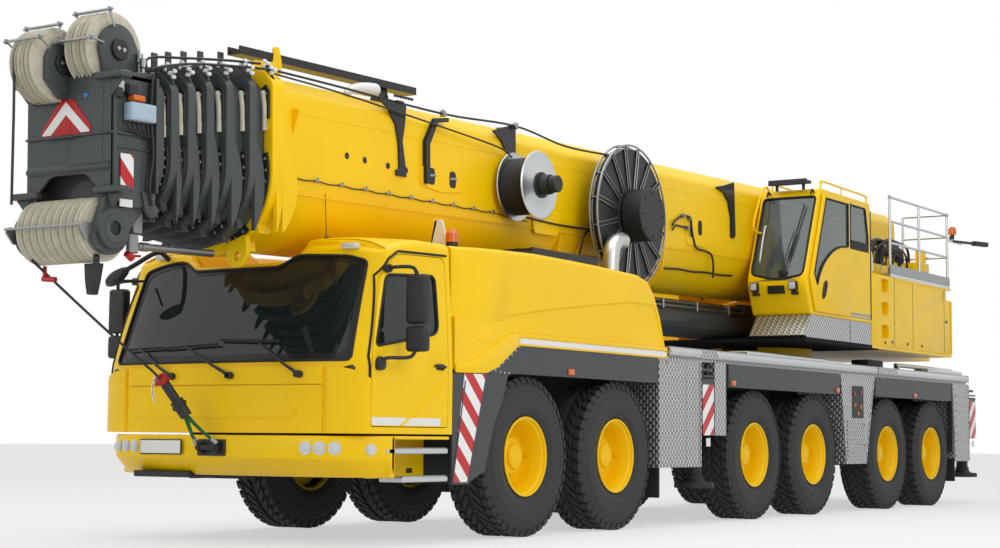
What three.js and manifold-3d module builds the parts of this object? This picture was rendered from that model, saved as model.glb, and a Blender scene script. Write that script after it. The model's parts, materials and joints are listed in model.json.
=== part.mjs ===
// A six-axle all-terrain mobile crane with a seven-section telescopic boom, parked on its wheels.
// Millimetres. x points to the vehicle's left, z up from the road.
// Inside this file y runs rearwards from the first axle; the last lines move the model to its own origin.
import * as THREE from "three";
import { mergeVertices } from "three/addons/utils/BufferGeometryUtils.js";
import Module from "manifold-3d";

const wasm = await Module();
wasm.setup();

// ---------- Driving dimensions ----------

const WIDTH = 3000; // over the cab, the fenders and the side boxes
const HALF = WIDTH / 2;
const SEAT_GAP = 0.3; // between pieces that are bolted face to face
const PIN_GAP = 0.6; // around pins, rods, spindles and slide pads
const CLEARANCE = 8; // around what moves past something else

const TYRE_RADIUS = 735;
const TYRE_WIDTH = 440;
const TYRE_INSET = 30; // tyre's outer face inside the vehicle's side
const RIM_RADIUS = 368;
const WHEEL_SIDES = 18;
const WHEEL_X = HALF - TYRE_INSET - TYRE_WIDTH / 2;
const AXLES_Y = [0, 1700, 4970, 6670, 9170, 10870];
const UNSTEERED_AXLE = 4; // counted from the front
const KINGPIN_INSET = 150; // kingpin inboard of the wheel's centre
const KINGPIN_RADIUS = 80;
const KINGPIN_HEIGHT = 360;
const FORK_THICKNESS = 45;
const AXLE_HALF_HEIGHT = 115;
const SPINDLE_RADIUS = 90;
const WHEEL_CAVITY_RADIUS = 335;
const WHEEL_CAVITY_DEPTH = 300; // from the inner face of the tyre
const SHAFT_RADIUS = 55; // propeller shafts

const FRAME_HALF = 440;
const FRAME_BOTTOM = 980;
const FRAME_FRONT = -2250;
const FRAME_REAR = 12890;
const SIDE_LEVEL = 1745; // top of the fenders, where the deck and the engine cover start
const DECK_TOP = 1880;
const DECK_FRONT = 2760;
const DECK_REAR = 12410;
const DECK_EDGE = 40; // how far the edge rail stands out past the slab
const RAIL_HEIGHT = 100;

const CAB_FRONT = -2590;
const CAB_REAR = -1280;
const CAB_FLOOR = 950;
const CAB_WALL = 45;
const SCREEN_BASE = 1500;
const SCREEN_TOP = [-2190, 2420]; // where the screen meets the roof
const CAB_ROOF = 2610;
const RECESS_FLOOR = 2390; // cab roof and engine cover under the stowed boom
const RECESS_HALF = 620;
const RECESS_TOP_HALF = 780;
const DOOR_FRONT = -2380;
const DOOR_REAR = -1345;
const SCREEN_HALF = 1300;
const DOOR_BOTTOM = 990;
const DOOR_TOP = 2460;
const DOOR_THICKNESS = 45;
const HINGE_RADIUS = 14;

const BUMPER_FRONT = -2650;
const BUMPER_BOTTOM = 570;
const BUMPER_TOP = 915;

const COVER_FRONT = -1255;
const COVER_REAR = 2720;
const COVER_TOP = 2620;
const COVER_WALL = 25;
const ARCH_EDGE = [
  [-860, 1495],
  [-395, 1685],
  [-250, SIDE_LEVEL],
]; // lower front edge of the cover, above the first wheel

const TURN_Y = 8300; // slewing axis
const TURN_RADIUS = 700;
const RING_BASE_TOP = 1930;
const UPPER_FLOOR = 2130;
const UPPER_FLOOR_THICKNESS = 35;
const CHEEK_X = 660; // inner face of the plates that hold the boom's foot
const CHEEK_THICKNESS = 45;
const UPPER_HALF = 1450;
const UPPER_REAR = 11800;

const PIVOT_Y = 11200;
const PIVOT_Z = 3350;
const PIVOT_RADIUS = 110;
const BOOM_TILT = THREE.MathUtils.degToRad(1.4); // the stowed boom's front end lies lower
const BOOM_HALF = 620;
const BOOM_HEIGHT = 1460;
const BOOM_RAISE = 195; // middle of the section above the foot pin
const BOOM_WALL = 10;
const BOOM_TAIL = 550;
const BOOM_REACH = 13960; // foot pin to the front of the base section
const NEST_STEP = 33; // each section is smaller all round by this
const COLLAR_REACHES = [14200, 14450, 14650, 14830, 14990, 15120];
const COLLAR_DEPTH = 90;
const COLLAR_HEIGHT = 45;
const BASE_COLLAR_DEPTH = 170;
const SECTION_TAIL = 1200; // rear end of the first inner section in front of the foot pin
const SECTION_TAIL_STEP = 60;
const PAD_LENGTH = 140; // tight bearing length at each section's mouth

const CYLINDER_PIN = [8000, 2420]; // lower pin of the luffing cylinder, y and z
const CYLINDER_EYE = [3000, 2360]; // rod's pin under the boom
const BARREL_RADIUS = 235;
const ROD_RADIUS = 140;
const BARREL_LENGTH = 4560;
const ROD_LENGTH = 4700;
const CYLINDER_PIN_RADIUS = 75;

const SHEAVE_RADIUS = 250;
const SHEAVE_HALF = 350;
const SHEAVE_REACH = 15560;
const SHEAVE_DROP = -504;

const CRANE_CAB_INNER = CHEEK_X + CHEEK_THICKNESS + 15;
const CRANE_CAB_OUTER = 1449;
const CRANE_CAB_FLOOR = 2450;
const CRANE_CAB_REAR = 8630;
const CRANE_CAB_WALL = 35;
const CRANE_DOOR_THICKNESS = 25;
const CRANE_DOOR_REAR = 7840;

const BOX_FRONT = 8660;
const BOX_TOP = 3130;
const BOX_INNER = CHEEK_X + CHEEK_THICKNESS + 15;

const REEL_Y = 2970;
const REEL_Z = 3310;
const REEL_RADIUS = 780;
const REEL_SHAFT = 60;
const SMALL_REEL_Y = 990;
const SMALL_REEL_Z = 3405;
const SMALL_REEL_RADIUS = 345;
const SMALL_REEL_SHAFT = 50;

const JACK_RADIUS = 85;
const PAD_RADIUS = 235;
const PAD_BOTTOM = 380;
const BEAM_WIDTH = 200;
const BEAM_BOTTOM = 1100;
const BEAM_TOP = 1400;
const OUTRIGGER_BOX_HALF = 1150;
const FRONT_BEAMS_Y = { left: 3670, right: 3970 };
const REAR_BEAMS_Y = { left: 12550, right: 12770 };

const ORIGIN_Y = 4116; // the model's origin behind the first axle, below its middle

// ---------- Materials ----------

const paint = (color, roughness = 0.45, metalness = 0) =>
  new THREE.MeshStandardMaterial({ color, roughness, metalness });
const yellow = paint(0xf7b500, 0.35);
const darkGrey = paint(0x454a4a, 0.5);
const frameGrey = paint(0x4a5052, 0.55);
const rubber = paint(0x232424, 0.85);
const aluminium = paint(0xb4b7b8, 0.4, 0.9);
const castIron = paint(0x2e3030, 0.6, 0.4);
const chrome = paint(0xc9ccce, 0.2, 1);
const nylon = paint(0xd9d2bd, 0.6);

// ---------- Shapes ----------

const box = ([x0, x1], [y0, y1], [z0, z1]) =>
  new THREE.BoxGeometry(x1 - x0, y1 - y0, z1 - z0).translate(
    (x0 + x1) / 2,
    (y0 + y1) / 2,
    (z0 + z1) / 2,
  );

const outline = (points) =>
  new THREE.Shape(points.map(([a, b]) => new THREE.Vector2(a, b)));

function extrude(points, from, to) {
  return new THREE.ExtrudeGeometry(outline(points), {
    depth: to - from,
    bevelEnabled: false,
  }).translate(0, 0, from);
}

// Side view (y, z) drawn out along x, plan view (x, y) along z, front view (x, z) along y.
const alongX = (points, [from, to]) =>
  extrude(points, from, to)
    .rotateX(Math.PI / 2)
    .rotateZ(Math.PI / 2);
const alongZ = (points, [from, to]) => extrude(points, from, to);
const alongY = (points, [from, to]) =>
  extrude(points, -to, -from).rotateX(Math.PI / 2);

// A cylinder between two points.
function rod(from, to, radius, sides = 8, start = 0) {
  const a = new THREE.Vector3(...from);
  const b = new THREE.Vector3(...to);
  const axis = b.clone().sub(a);
  const turn = new THREE.Quaternion().setFromUnitVectors(
    new THREE.Vector3(0, 1, 0),
    axis.clone().normalize(),
  );
  return new THREE.CylinderGeometry(radius, radius, axis.length(), sides, 1, false, start)
    .applyQuaternion(turn)
    .translate(...a.add(b).multiplyScalar(0.5).toArray());
}

// A hole that a rod of this radius turns in: its flats face the rod's corners.
const bore = (from, to, radius, sides) =>
  rod(from, to, (radius + PIN_GAP) / Math.cos(Math.PI / sides), sides, Math.PI / sides);

// ---------- Joining and cutting ----------

function solid(geometry) {
  const bare = geometry.clone();
  bare.deleteAttribute("normal");
  bare.deleteAttribute("uv");
  const merged = mergeVertices(bare, 1e-3);
  return new wasm.Manifold(
    new wasm.Mesh({
      numProp: 3,
      vertProperties: merged.attributes.position.array,
      triVerts: new Uint32Array(merged.index.array),
    }),
  );
}

const join = (...geometries) =>
  geometries.map(solid).reduce((sum, next) => sum.add(next));
const cut = (body, ...tools) =>
  tools.reduce((left, tool) => left.subtract(solid(tool)), body);

function geometryOf(manifold) {
  const mesh = manifold.getMesh();
  const geometry = new THREE.BufferGeometry();
  geometry.setAttribute(
    "position",
    new THREE.BufferAttribute(mesh.vertProperties, 3),
  );
  geometry.setIndex(new THREE.BufferAttribute(mesh.triVerts, 1));
  return geometry;
}

// ---------- Scene graph ----------

const crane = new THREE.Group();
const chassis = new THREE.Group();
crane.add(chassis);

function piece(name, shape, material, parent = chassis) {
  const geometry = shape.isBufferGeometry ? shape : geometryOf(shape);
  const mesh = new THREE.Mesh(geometry, material);
  mesh.name = name;
  parent.add(mesh);
  return mesh;
}

const SIDES = { left: 1, right: -1 };
const span = (a, b) => (a < b ? [a, b] : [b, a]);

// ---------- Wheels and axles ----------

// Around the wheel's own axis: radius and distance outwards from the tyre's middle.
function wheelShape() {
  const half = TYRE_WIDTH / 2;
  const flat = 1 / Math.cos(Math.PI / WHEEL_SIDES); // the flats, not the corners, are at the named radius
  const discInner = WHEEL_CAVITY_DEPTH - half;
  const profile = [
    [0, half - 45],
    [130, half - 45],
    [145, discInner + 30],
    [RIM_RADIUS - 45, discInner + 25],
    [RIM_RADIUS - 20, half - 20],
    [TYRE_RADIUS - 130, half],
    [TYRE_RADIUS - 30, half - 25],
    [TYRE_RADIUS, half - 60],
    [TYRE_RADIUS, 60 - half],
    [TYRE_RADIUS - 30, 25 - half],
    [TYRE_RADIUS - 130, -half],
    [WHEEL_CAVITY_RADIUS, 20 - half],
    [WHEEL_CAVITY_RADIUS - 20, discInner],
    [SPINDLE_RADIUS + PIN_GAP, discInner],
    [SPINDLE_RADIUS + PIN_GAP, discInner + 20],
    [0, discInner + 20],
  ];
  const points = profile
    .map(([r, a]) => new THREE.Vector2(r * flat, a))
    .reverse();
  return new THREE.LatheGeometry(points, WHEEL_SIDES)
    .rotateY(Math.PI / WHEEL_SIDES)
    .rotateZ(-Math.PI / 2);
}

const KINGPIN_X = WHEEL_X - KINGPIN_INSET;
const SPINDLE_END = WHEEL_X - TYRE_WIDTH / 2 + WHEEL_CAVITY_DEPTH + 20 - PIN_GAP;
const FORK_HALF = KINGPIN_HEIGHT / 2 + PIN_GAP + FORK_THICKNESS;

function knuckleShape(side, y) {
  const hub = [side * KINGPIN_X, y, TYRE_RADIUS];
  const spindle = rod(hub, [side * SPINDLE_END, y, TYRE_RADIUS], SPINDLE_RADIUS, 12);
  const kingpin = rod(
    [side * KINGPIN_X, y, TYRE_RADIUS - KINGPIN_HEIGHT / 2],
    [side * KINGPIN_X, y, TYRE_RADIUS + KINGPIN_HEIGHT / 2],
    KINGPIN_RADIUS,
    10,
  );
  return join(spindle, kingpin);
}

// One axle: beam, differential, two suspension struts up to the frame, and forks or fixed spindles.
function axlePieces(y, steered) {
  const z = TYRE_RADIUS;
  const forkX = KINGPIN_X - KINGPIN_RADIUS - CLEARANCE;
  const pieces = [
    box([-forkX, forkX], [y - 80, y + 80], [z - AXLE_HALF_HEIGHT, z + AXLE_HALF_HEIGHT]),
    rod([0, y - 190, z], [0, y + 190, z], 190, 10),
  ];
  for (const side of Object.values(SIDES)) {
    const strutX = side * (FRAME_HALF - 90);
    pieces.push(rod([strutX, y, z], [strutX, y, FRAME_BOTTOM - SEAT_GAP], 60, 8));
    if (!steered) {
      pieces.push(rod([side * forkX, y, z], [side * SPINDLE_END, y, z], SPINDLE_RADIUS, 12));
      continue;
    }
    pieces.push(
      box(span(side * (forkX - 60), side * forkX), [y - 80, y + 80], [z - FORK_HALF, z + FORK_HALF]),
    );
    for (const up of [-1, 1]) {
      const arm = span(z + up * FORK_HALF, z + up * (FORK_HALF - FORK_THICKNESS));
      pieces.push(box(span(side * (forkX - 60), side * (KINGPIN_X + 70)), [y - 70, y + 70], arm));
    }
  }
  return pieces;
}

function buildRunningGear() {
  const pieces = AXLES_Y.flatMap((y, i) => axlePieces(y, i + 1 !== UNSTEERED_AXLE));
  pieces.push(rod([0, AXLES_Y[0], TYRE_RADIUS], [0, AXLES_Y.at(-1), TYRE_RADIUS], SHAFT_RADIUS, 8));
  piece("axles", join(...pieces), castIron);

  AXLES_Y.forEach((y, i) => {
    for (const [name, side] of Object.entries(SIDES)) {
      const wheel = piece(`wheel_${name}_${i + 1}`, wheelShape(), rubber);
      wheel.position.set(side * WHEEL_X, y, TYRE_RADIUS);
      if (side < 0) wheel.rotation.z = Math.PI;
      if (i + 1 !== UNSTEERED_AXLE)
        piece(`knuckle_${name}_${i + 1}`, knuckleShape(side, y), castIron);
    }
  });
}

// ---------- Carrier frame and outriggers ----------

function beamSlot(y, side, margin) {
  return box(
    span(-side * (OUTRIGGER_BOX_HALF - 40 - CLEARANCE + margin), side * (HALF + 100)),
    [y - BEAM_WIDTH / 2 - margin, y + BEAM_WIDTH / 2 + margin],
    [BEAM_BOTTOM - margin, BEAM_TOP + margin],
  );
}

function buildFrame() {
  const wall = 50;
  const boxes = [FRONT_BEAMS_Y, REAR_BEAMS_Y].map((pair) =>
    box(
      [-OUTRIGGER_BOX_HALF, OUTRIGGER_BOX_HALF],
      [pair.left - BEAM_WIDTH / 2 - wall, pair.right + BEAM_WIDTH / 2 + wall],
      [BEAM_BOTTOM - 150, BEAM_TOP + 150],
    ),
  );
  const body = join(
    box([-FRAME_HALF, FRAME_HALF], [FRAME_FRONT, FRAME_REAR], [FRAME_BOTTOM, SIDE_LEVEL - SEAT_GAP]),
    rod([0, TURN_Y, FRAME_BOTTOM + 100], [0, TURN_Y, RING_BASE_TOP], TURN_RADIUS, 24),
    ...boxes,
  );
  const margin = CLEARANCE;
  const slots = [FRONT_BEAMS_Y, REAR_BEAMS_Y].flatMap((pair) => [
    beamSlot(pair.left, 1, margin),
    beamSlot(pair.right, -1, margin),
  ]);
  const cabSpace = box(
    [-HALF, HALF],
    [FRAME_FRONT - 10, CAB_REAR + 10],
    [CAB_FLOOR - SEAT_GAP, CAB_ROOF],
  );
  const cabFoot = box(
    [-FRAME_HALF, FRAME_HALF],
    [FRAME_FRONT, CAB_REAR + 20],
    [BUMPER_BOTTOM + 130, CAB_FLOOR - SEAT_GAP],
  );
  const link = box(
    [-FRAME_HALF, FRAME_HALF],
    [CAB_REAR + 10 - 1, -900],
    [BUMPER_BOTTOM + 130, FRAME_BOTTOM + 200],
  );
  const frame = cut(body, cabSpace, ...slots).add(solid(cabFoot)).add(solid(link));
  piece("carrier_frame", frame, frameGrey);
}

function buildOutrigger(name, y, side) {
  const blockInner = OUTRIGGER_BOX_HALF + CLEARANCE;
  const jackX = side * ((blockInner + HALF) / 2);
  const jackTop = SIDE_LEVEL - 15;
  const beam = join(
    box(
      span(-side * (OUTRIGGER_BOX_HALF - 60), side * blockInner),
      [y - BEAM_WIDTH / 2, y + BEAM_WIDTH / 2],
      [BEAM_BOTTOM, BEAM_TOP],
    ),
    box(span(side * blockInner, side * HALF), [y - 140, y + 140], [BEAM_BOTTOM - 150, BEAM_TOP + 160]),
    rod([jackX, y, BEAM_TOP], [jackX, y, jackTop], JACK_RADIUS + 25, 12),
  );
  const bore = rod([jackX, y, 0], [jackX, y, jackTop + 10], JACK_RADIUS + PIN_GAP, 12);
  // Slide pads bear on the slot's walls.
  const pads = [BEAM_BOTTOM - CLEARANCE + PIN_GAP, BEAM_TOP].map((z) =>
    solid(box(span(side * (OUTRIGGER_BOX_HALF - 130), side * (OUTRIGGER_BOX_HALF - 10)),
      [y - BEAM_WIDTH / 2 + 20, y + BEAM_WIDTH / 2 - 20], [z, z + CLEARANCE - PIN_GAP])),
  );
  piece(`outrigger_beam_${name}`, pads.reduce((a, b) => a.add(b), cut(beam, bore)), frameGrey);
  piece(
    `outrigger_jack_${name}`,
    join(
      rod([jackX, y, PAD_BOTTOM + 40], [jackX, y, jackTop - 20], JACK_RADIUS, 12),
      rod(
        [jackX, y, PAD_BOTTOM],
        [jackX, y, PAD_BOTTOM + 60],
        Math.min(PAD_RADIUS, 0.46 * (HALF - blockInner) + 60),
        16,
      ),
    ),
    castIron,
  );
}

// ---------- Deck, side boxes and fenders ----------

const SIDE_BOX_INNER = HALF - 600;
const SIDE_BOXES = [
  [
    [2520, SIDE_LEVEL - SEAT_GAP],
    [2520, 610],
    [3500, 610],
    [3500, SIDE_LEVEL + 5],
    [DECK_FRONT + 20, SIDE_LEVEL + 5],
    [DECK_FRONT + 20, SIDE_LEVEL - SEAT_GAP],
  ],
  [[7425, SIDE_LEVEL + 5], [7590, 610], [8290, 610], [8605, SIDE_LEVEL + 5]],
  [[11660, SIDE_LEVEL + 5], [11740, 620], [12400, 620], [12400, SIDE_LEVEL + 5]],
];

function buildDeck() {
  const slab = box([DECK_EDGE - HALF, HALF - DECK_EDGE], [DECK_FRONT, DECK_REAR], [SIDE_LEVEL, DECK_TOP]);
  const rails = box([-HALF, HALF], [DECK_FRONT, DECK_REAR], [DECK_TOP - RAIL_HEIGHT, DECK_TOP]);
  const parts = [slab, rails];
  for (const side of Object.values(SIDES)) {
    for (const profile of SIDE_BOXES)
      parts.push(alongX(profile, span(side * SIDE_BOX_INNER, side * HALF)));
    // Cover over the end of the other side's outrigger beam.
    const y = side > 0 ? FRONT_BEAMS_Y.right : FRONT_BEAMS_Y.left;
    parts.push(
      box(
        span(side * (OUTRIGGER_BOX_HALF + CLEARANCE), side * HALF),
        [y - 130, y + 150],
        [BEAM_BOTTOM - 150, SIDE_LEVEL + 5],
      ),
    );
  }
  const hole = rod([0, TURN_Y, SIDE_LEVEL - 10], [0, TURN_Y, DECK_TOP + 10], TURN_RADIUS + 12, 24);
  piece("deck", cut(join(...parts), hole), aluminium);
}

function buildFenders(name, side) {
  const skirt = 20;
  const bottom = 1487;
  const top = SIDE_LEVEL - SEAT_GAP;
  const inner = SIDE_BOX_INNER - 15;
  const across = span(side * inner, side * HALF);
  const plate = span(side * (HALF - skirt), side * HALF);
  const underCover = ARCH_EDGE.map(([y, z]) => [y, z - SEAT_GAP]).reverse();
  const runs = [
    [-249, 2505],
    [4190, 7400],
    [8630, 11640],
  ];
  const parts = [
    box(span(side * (inner - 25), side * inner), [-249, 11640], [top - 60, top]),
    // Stone guard in front of the first wheel: side plate and liner, joined to the first fender.
    alongX([[-1275, 500], [-1275, 1462], [-795, 1462], [-1020, 500]], plate),
    alongX(
      [[-1075, 500], [-1045, 500], [-830, 1455], [-395, 1650], [-248, 1710], [-248, top], ...underCover],
      across,
    ),
    alongX([[-830, 1455], [-420, bottom], [-248, bottom], [-248, top], ...underCover], plate),
  ];
  for (const [front, rear] of runs) {
    parts.push(box(across, [front, rear], [top - 30, top]));
    parts.push(box(plate, [front, rear], [bottom, top]));
  }
  piece(`fenders_${name}`, join(...parts), frameGrey);
}

// ---------- Driver's cab, bumper and engine cover ----------

function recess(margin, front, rear) {
  return alongY(
    [
      [-RECESS_HALF - margin, RECESS_FLOOR - margin],
      [RECESS_HALF + margin, RECESS_FLOOR - margin],
      [RECESS_TOP_HALF + margin, CAB_ROOF + 60],
      [-RECESS_TOP_HALF - margin, CAB_ROOF + 60],
    ],
    [front, rear],
  );
}

// The cab's block, shrunk all round by a wall thickness.
function cabBlock(wall) {
  const side = [
    [CAB_FRONT + wall, CAB_FLOOR + wall],
    [CAB_REAR - wall, CAB_FLOOR + wall],
    [CAB_REAR - wall, CAB_ROOF - wall - 20],
    [-1420, CAB_ROOF - wall],
    [-1850, CAB_ROOF - 15 - wall],
    [-2060 + wall / 2, SCREEN_TOP[1] + 115 - wall],
    [SCREEN_TOP[0] + wall, SCREEN_TOP[1] - wall],
    [CAB_FRONT + 25 + wall, SCREEN_BASE],
  ];
  const half = [
    [600, CAB_FRONT + wall],
    [1080, CAB_FRONT + 55 + wall],
    [1300 - wall / 2, CAB_FRONT + 115 + wall],
    [1425 - wall, CAB_FRONT + 160 + wall],
    [1448 - wall, DOOR_FRONT - 12 + wall / 2],
    [HALF - wall, DOOR_REAR],
    [HALF - wall, CAB_REAR + 1],
  ];
  const plan = [...half.map(([x, y]) => [-x, y]).reverse(), ...half];
  const block = solid(alongX(side, [-HALF - 1, HALF + 1])).intersect(
    solid(alongZ(plan, [CAB_FLOOR - 1, CAB_ROOF + 1])),
  );
  return cut(block, recess(wall, CAB_FRONT - 100, CAB_REAR + 100));
}

const HINGE_X = 1448 + HINGE_RADIUS + 2;
const HINGE_LEVELS = [1150, 1440];

function seat(x, y, z, width) {
  return [
    box([x - width / 2, x + width / 2], [y - 240, y + 240], [z, z + 450]),
    box([x - width / 2, x + width / 2], [y + 130, y + 240], [z + 440, z + 1050]),
  ];
}

// Side view of the driver's door, grown all round by a margin.
const doorOutline = (margin) => [
  [DOOR_FRONT - margin, DOOR_BOTTOM - margin],
  [DOOR_REAR + margin, DOOR_BOTTOM - margin],
  [DOOR_REAR + margin, DOOR_TOP + margin],
  [-1990 - margin / 2, DOOR_TOP - 40 + margin],
  [-2170 - margin, 2280 + margin / 2],
  [DOOR_FRONT - margin, 1560],
];

function buildDriverCab() {
  const screen = alongY(
    [
      [-SCREEN_HALF, SCREEN_BASE + 30],
      [SCREEN_HALF, SCREEN_BASE + 30],
      [SCREEN_HALF - 60, SCREEN_TOP[1] - 40],
      [RECESS_TOP_HALF - 40, SCREEN_TOP[1] - 20],
      [RECESS_HALF - 60, RECESS_FLOOR - CAB_WALL - 70],
      [60 - RECESS_HALF, RECESS_FLOOR - CAB_WALL - 70],
      [40 - RECESS_TOP_HALF, SCREEN_TOP[1] - 20],
      [60 - SCREEN_HALF, SCREEN_TOP[1] - 40],
    ],
    [CAB_FRONT - 100, SCREEN_TOP[0] + 20],
  );
  let cab = cut(cabBlock(0).subtract(cabBlock(CAB_WALL)), screen);
  for (const side of Object.values(SIDES)) {
    cab = cut(
      cab,
      alongX(doorOutline(CLEARANCE), span(side * 1350, side * (HALF + 20))),
    );
    for (const level of HINGE_LEVELS) {
      const y = DOOR_FRONT - CLEARANCE / 2;
      cab = cab
        .add(solid(rod([side * HINGE_X, y, level - 100], [side * HINGE_X, y, level], HINGE_RADIUS)))
        .add(
          solid(box(span(side * (HINGE_X - 55), side * HINGE_X), [y - 40, y - 6], [level - 100, level])),
        );
    }
  }
  const inside = [
    ...seat(-720, -1560, CAB_FLOOR + 20, 520),
    ...seat(720, -1560, CAB_FLOOR + 20, 520),
    box([-HALF + 150, HALF - 150], [CAB_FRONT + 140, -2240], [CAB_FLOOR + 20, 1440]),
  ];
  piece("driver_cab", cab.add(join(...inside)), yellow);
}

function buildDriverDoor(name, side) {
  const across = span(side * 1360, side * (HALF + 10));
  const leaf = solid(alongX(doorOutline(0), across)).intersect(
    cabBlock(0).subtract(cabBlock(DOOR_THICKNESS)),
  );
  const pane = alongX(
    [[-2330, 1640], [-1480, 1790], [-1500, 2290], [-2165, 2250]],
    across,
  );
  let door = cut(leaf, pane);
  for (const level of HINGE_LEVELS) {
    const y = DOOR_FRONT - CLEARANCE / 2;
    door = door
      .add(solid(rod([side * HINGE_X, y, level + PIN_GAP], [side * HINGE_X, y, level + 100], HINGE_RADIUS)))
      .add(
        solid(
          box(span(side * (HINGE_X - 20), side * HINGE_X), [y + 2, y + 70], [level + PIN_GAP, level + 100]),
        ),
      );
  }
  // Mirror arms and twin mirror housings.
  const mirrorX = side * (HALF + 200);
  const mirror = join(
    rod([side * (HALF - 50), -2300, 1500], [mirrorX, -2060, 1560], 18, 8),
    rod([side * (HALF - 50), -2115, 2283], [mirrorX, -2060, 2255], 18, 8),
    rod([mirrorX, -2060, 1540], [mirrorX, -2060, 2275], 18, 8),
    box(span(side * (HALF + 90), side * (HALF + 290)), [-2055, -1965], [1840, 2240]),
    box(span(side * (HALF + 90), side * (HALF + 290)), [-2055, -1965], [1610, 1815]),
  );
  piece(`driver_door_${name}`, door.add(mirror), yellow);
}

function buildBumper() {
  const half = [
    [600, BUMPER_FRONT],
    [950, BUMPER_FRONT + 50],
    [1200, BUMPER_FRONT + 120],
    [1350, BUMPER_FRONT + 230],
    [HALF, -2190],
    [HALF, -2110],
  ];
  const plan = [...half.map(([x, y]) => [-x, y]).reverse(), ...half];
  const side = [
    [BUMPER_FRONT, 720],
    [-2480, BUMPER_BOTTOM],
    [-2110, BUMPER_BOTTOM],
    [-2110, BUMPER_TOP],
    [BUMPER_FRONT, BUMPER_TOP],
  ];
  let bumper = solid(alongX(side, [-HALF, HALF])).intersect(
    solid(alongZ(plan, [BUMPER_BOTTOM, BUMPER_TOP])),
  );
  bumper = cut(
    bumper,
    box(
      [-FRAME_HALF - 5, FRAME_HALF + 5],
      [FRAME_FRONT - SEAT_GAP, -2000],
      [BUMPER_BOTTOM - 10, BUMPER_TOP + 10],
    ),
  );
  for (const sign of Object.values(SIDES)) {
    // Side skirt below the door with two steps and a back plate.
    bumper = bumper.add(
      join(
        box(span(sign * (HALF - 330), sign * HALF), [-2130, -1300], [870, BUMPER_TOP]),
        box(
          span(sign * (HALF - 330), sign * (HALF - 300)),
          [-2130, -1300],
          [BUMPER_BOTTOM - 20, BUMPER_TOP],
        ),
        box(
          span(sign * (HALF - 310), sign * HALF),
          [-2130, -1340],
          [BUMPER_BOTTOM - 20, BUMPER_BOTTOM + 20],
        ),
      ),
    );
  }
  const plate = box([-840, -340], [BUMPER_FRONT - 20, BUMPER_FRONT + 60], [745, 870]);
  const hitch = box([-180, 150], [BUMPER_FRONT - 100, BUMPER_FRONT + 20], [740, 870]);
  piece("front_bumper", bumper.add(join(plate, hitch)), yellow);
}

function coverBlock(wall) {
  const side = [
    [COVER_FRONT + wall, 1495],
    ...ARCH_EDGE,
    [COVER_REAR - wall, SIDE_LEVEL],
    [COVER_REAR - 320 - wall, 2450],
    [2090, COVER_TOP - 40 - wall],
    [70, COVER_TOP - wall],
    [COVER_FRONT + wall, COVER_TOP - 50 - wall],
  ];
  const block = solid(alongX(side, [wall - HALF, HALF - wall]));
  return cut(block, recess(wall, COVER_FRONT - 100, COVER_REAR + 100));
}

function buildEngineCover() {
  const below = box(
    [COVER_WALL - HALF, HALF - COVER_WALL],
    [COVER_FRONT + COVER_WALL, COVER_REAR - 60],
    [1400, SIDE_LEVEL + 40],
  );
  const bodyOnly = coverBlock(0).subtract(coverBlock(COVER_WALL));
  const frameNotch = box(
    [-FRAME_HALF - 5, FRAME_HALF + 5],
    [COVER_FRONT - 5, COVER_FRONT + 60],
    [1400, SIDE_LEVEL],
  );
  const open = cut(bodyOnly, below, frameNotch);
  // Cross walls stand on the frame and carry the cover.
  const feet = [COVER_FRONT + 40, COVER_REAR - 140].map((y) =>
    solid(box([-FRAME_HALF, FRAME_HALF], [y, y + 30], [SIDE_LEVEL, RECESS_FLOOR - 5])),
  );
  piece("engine_cover", feet.reduce((a, b) => a.add(b), open), yellow);
}

// ---------- Superstructure ----------

function buildUpperFrame() {
  const floor = [UPPER_FLOOR, UPPER_FLOOR + UPPER_FLOOR_THICKNESS];
  const cheek = [
    [7700, floor[0]],
    [12950, floor[0]],
    [12950, 2950],
    [11850, 3350],
    [11500, 3560],
    [10900, 3560],
    [9900, 3000],
    [7700, 2560],
  ];
  const parts = [
    rod([0, TURN_Y, RING_BASE_TOP + PIN_GAP], [0, TURN_Y, UPPER_FLOOR + 10], TURN_RADIUS, 24),
    box([-UPPER_HALF, UPPER_HALF], [6500, UPPER_REAR], floor),
    box([-CHEEK_X - 10, CHEEK_X + 10], [UPPER_REAR - 10, 12950], floor),
    // Oil tank and valve housing on the right-hand side.
    box([-UPPER_HALF, -BOX_INNER], [7300, UPPER_REAR - 60], [UPPER_FLOOR + 10, 2880]),
    // Hoist drum behind the boom's foot.
    rod([-CHEEK_X - 5, 12540, 2640], [CHEEK_X + 5, 12540, 2640], 330, 20),
    ...Object.values(SIDES).map((side) =>
      alongX(cheek, span(side * CHEEK_X, side * (CHEEK_X + CHEEK_THICKNESS))),
    ),
  ];
  const [pinY, pinZ] = CYLINDER_PIN;
  const trough = box(
    [-BARREL_RADIUS - 25, BARREL_RADIUS + 25],
    [6400, pinY + BARREL_RADIUS + 25],
    [UPPER_FLOOR - 60, UPPER_FLOOR + 60],
  );
  const lugs = [-1, 1].map((side) =>
    box(
      span(side * (BARREL_RADIUS + 25), side * (BARREL_RADIUS + 75)),
      [pinY - 180, pinY + 180],
      [UPPER_FLOOR + 5, pinZ + 130],
    ),
  );
  const pin = rod(
    [-BARREL_RADIUS - 75, pinY, pinZ],
    [BARREL_RADIUS + 75, pinY, pinZ],
    CYLINDER_PIN_RADIUS,
    16,
  );
  const foot = bore([-UPPER_HALF, PIVOT_Y, PIVOT_Z], [UPPER_HALF, PIVOT_Y, PIVOT_Z], PIVOT_RADIUS, 20);
  const body = cut(join(...parts), trough, foot);
  piece("upper_frame", body.add(join(...lugs)).add(solid(pin)), yellow);
}

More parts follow.
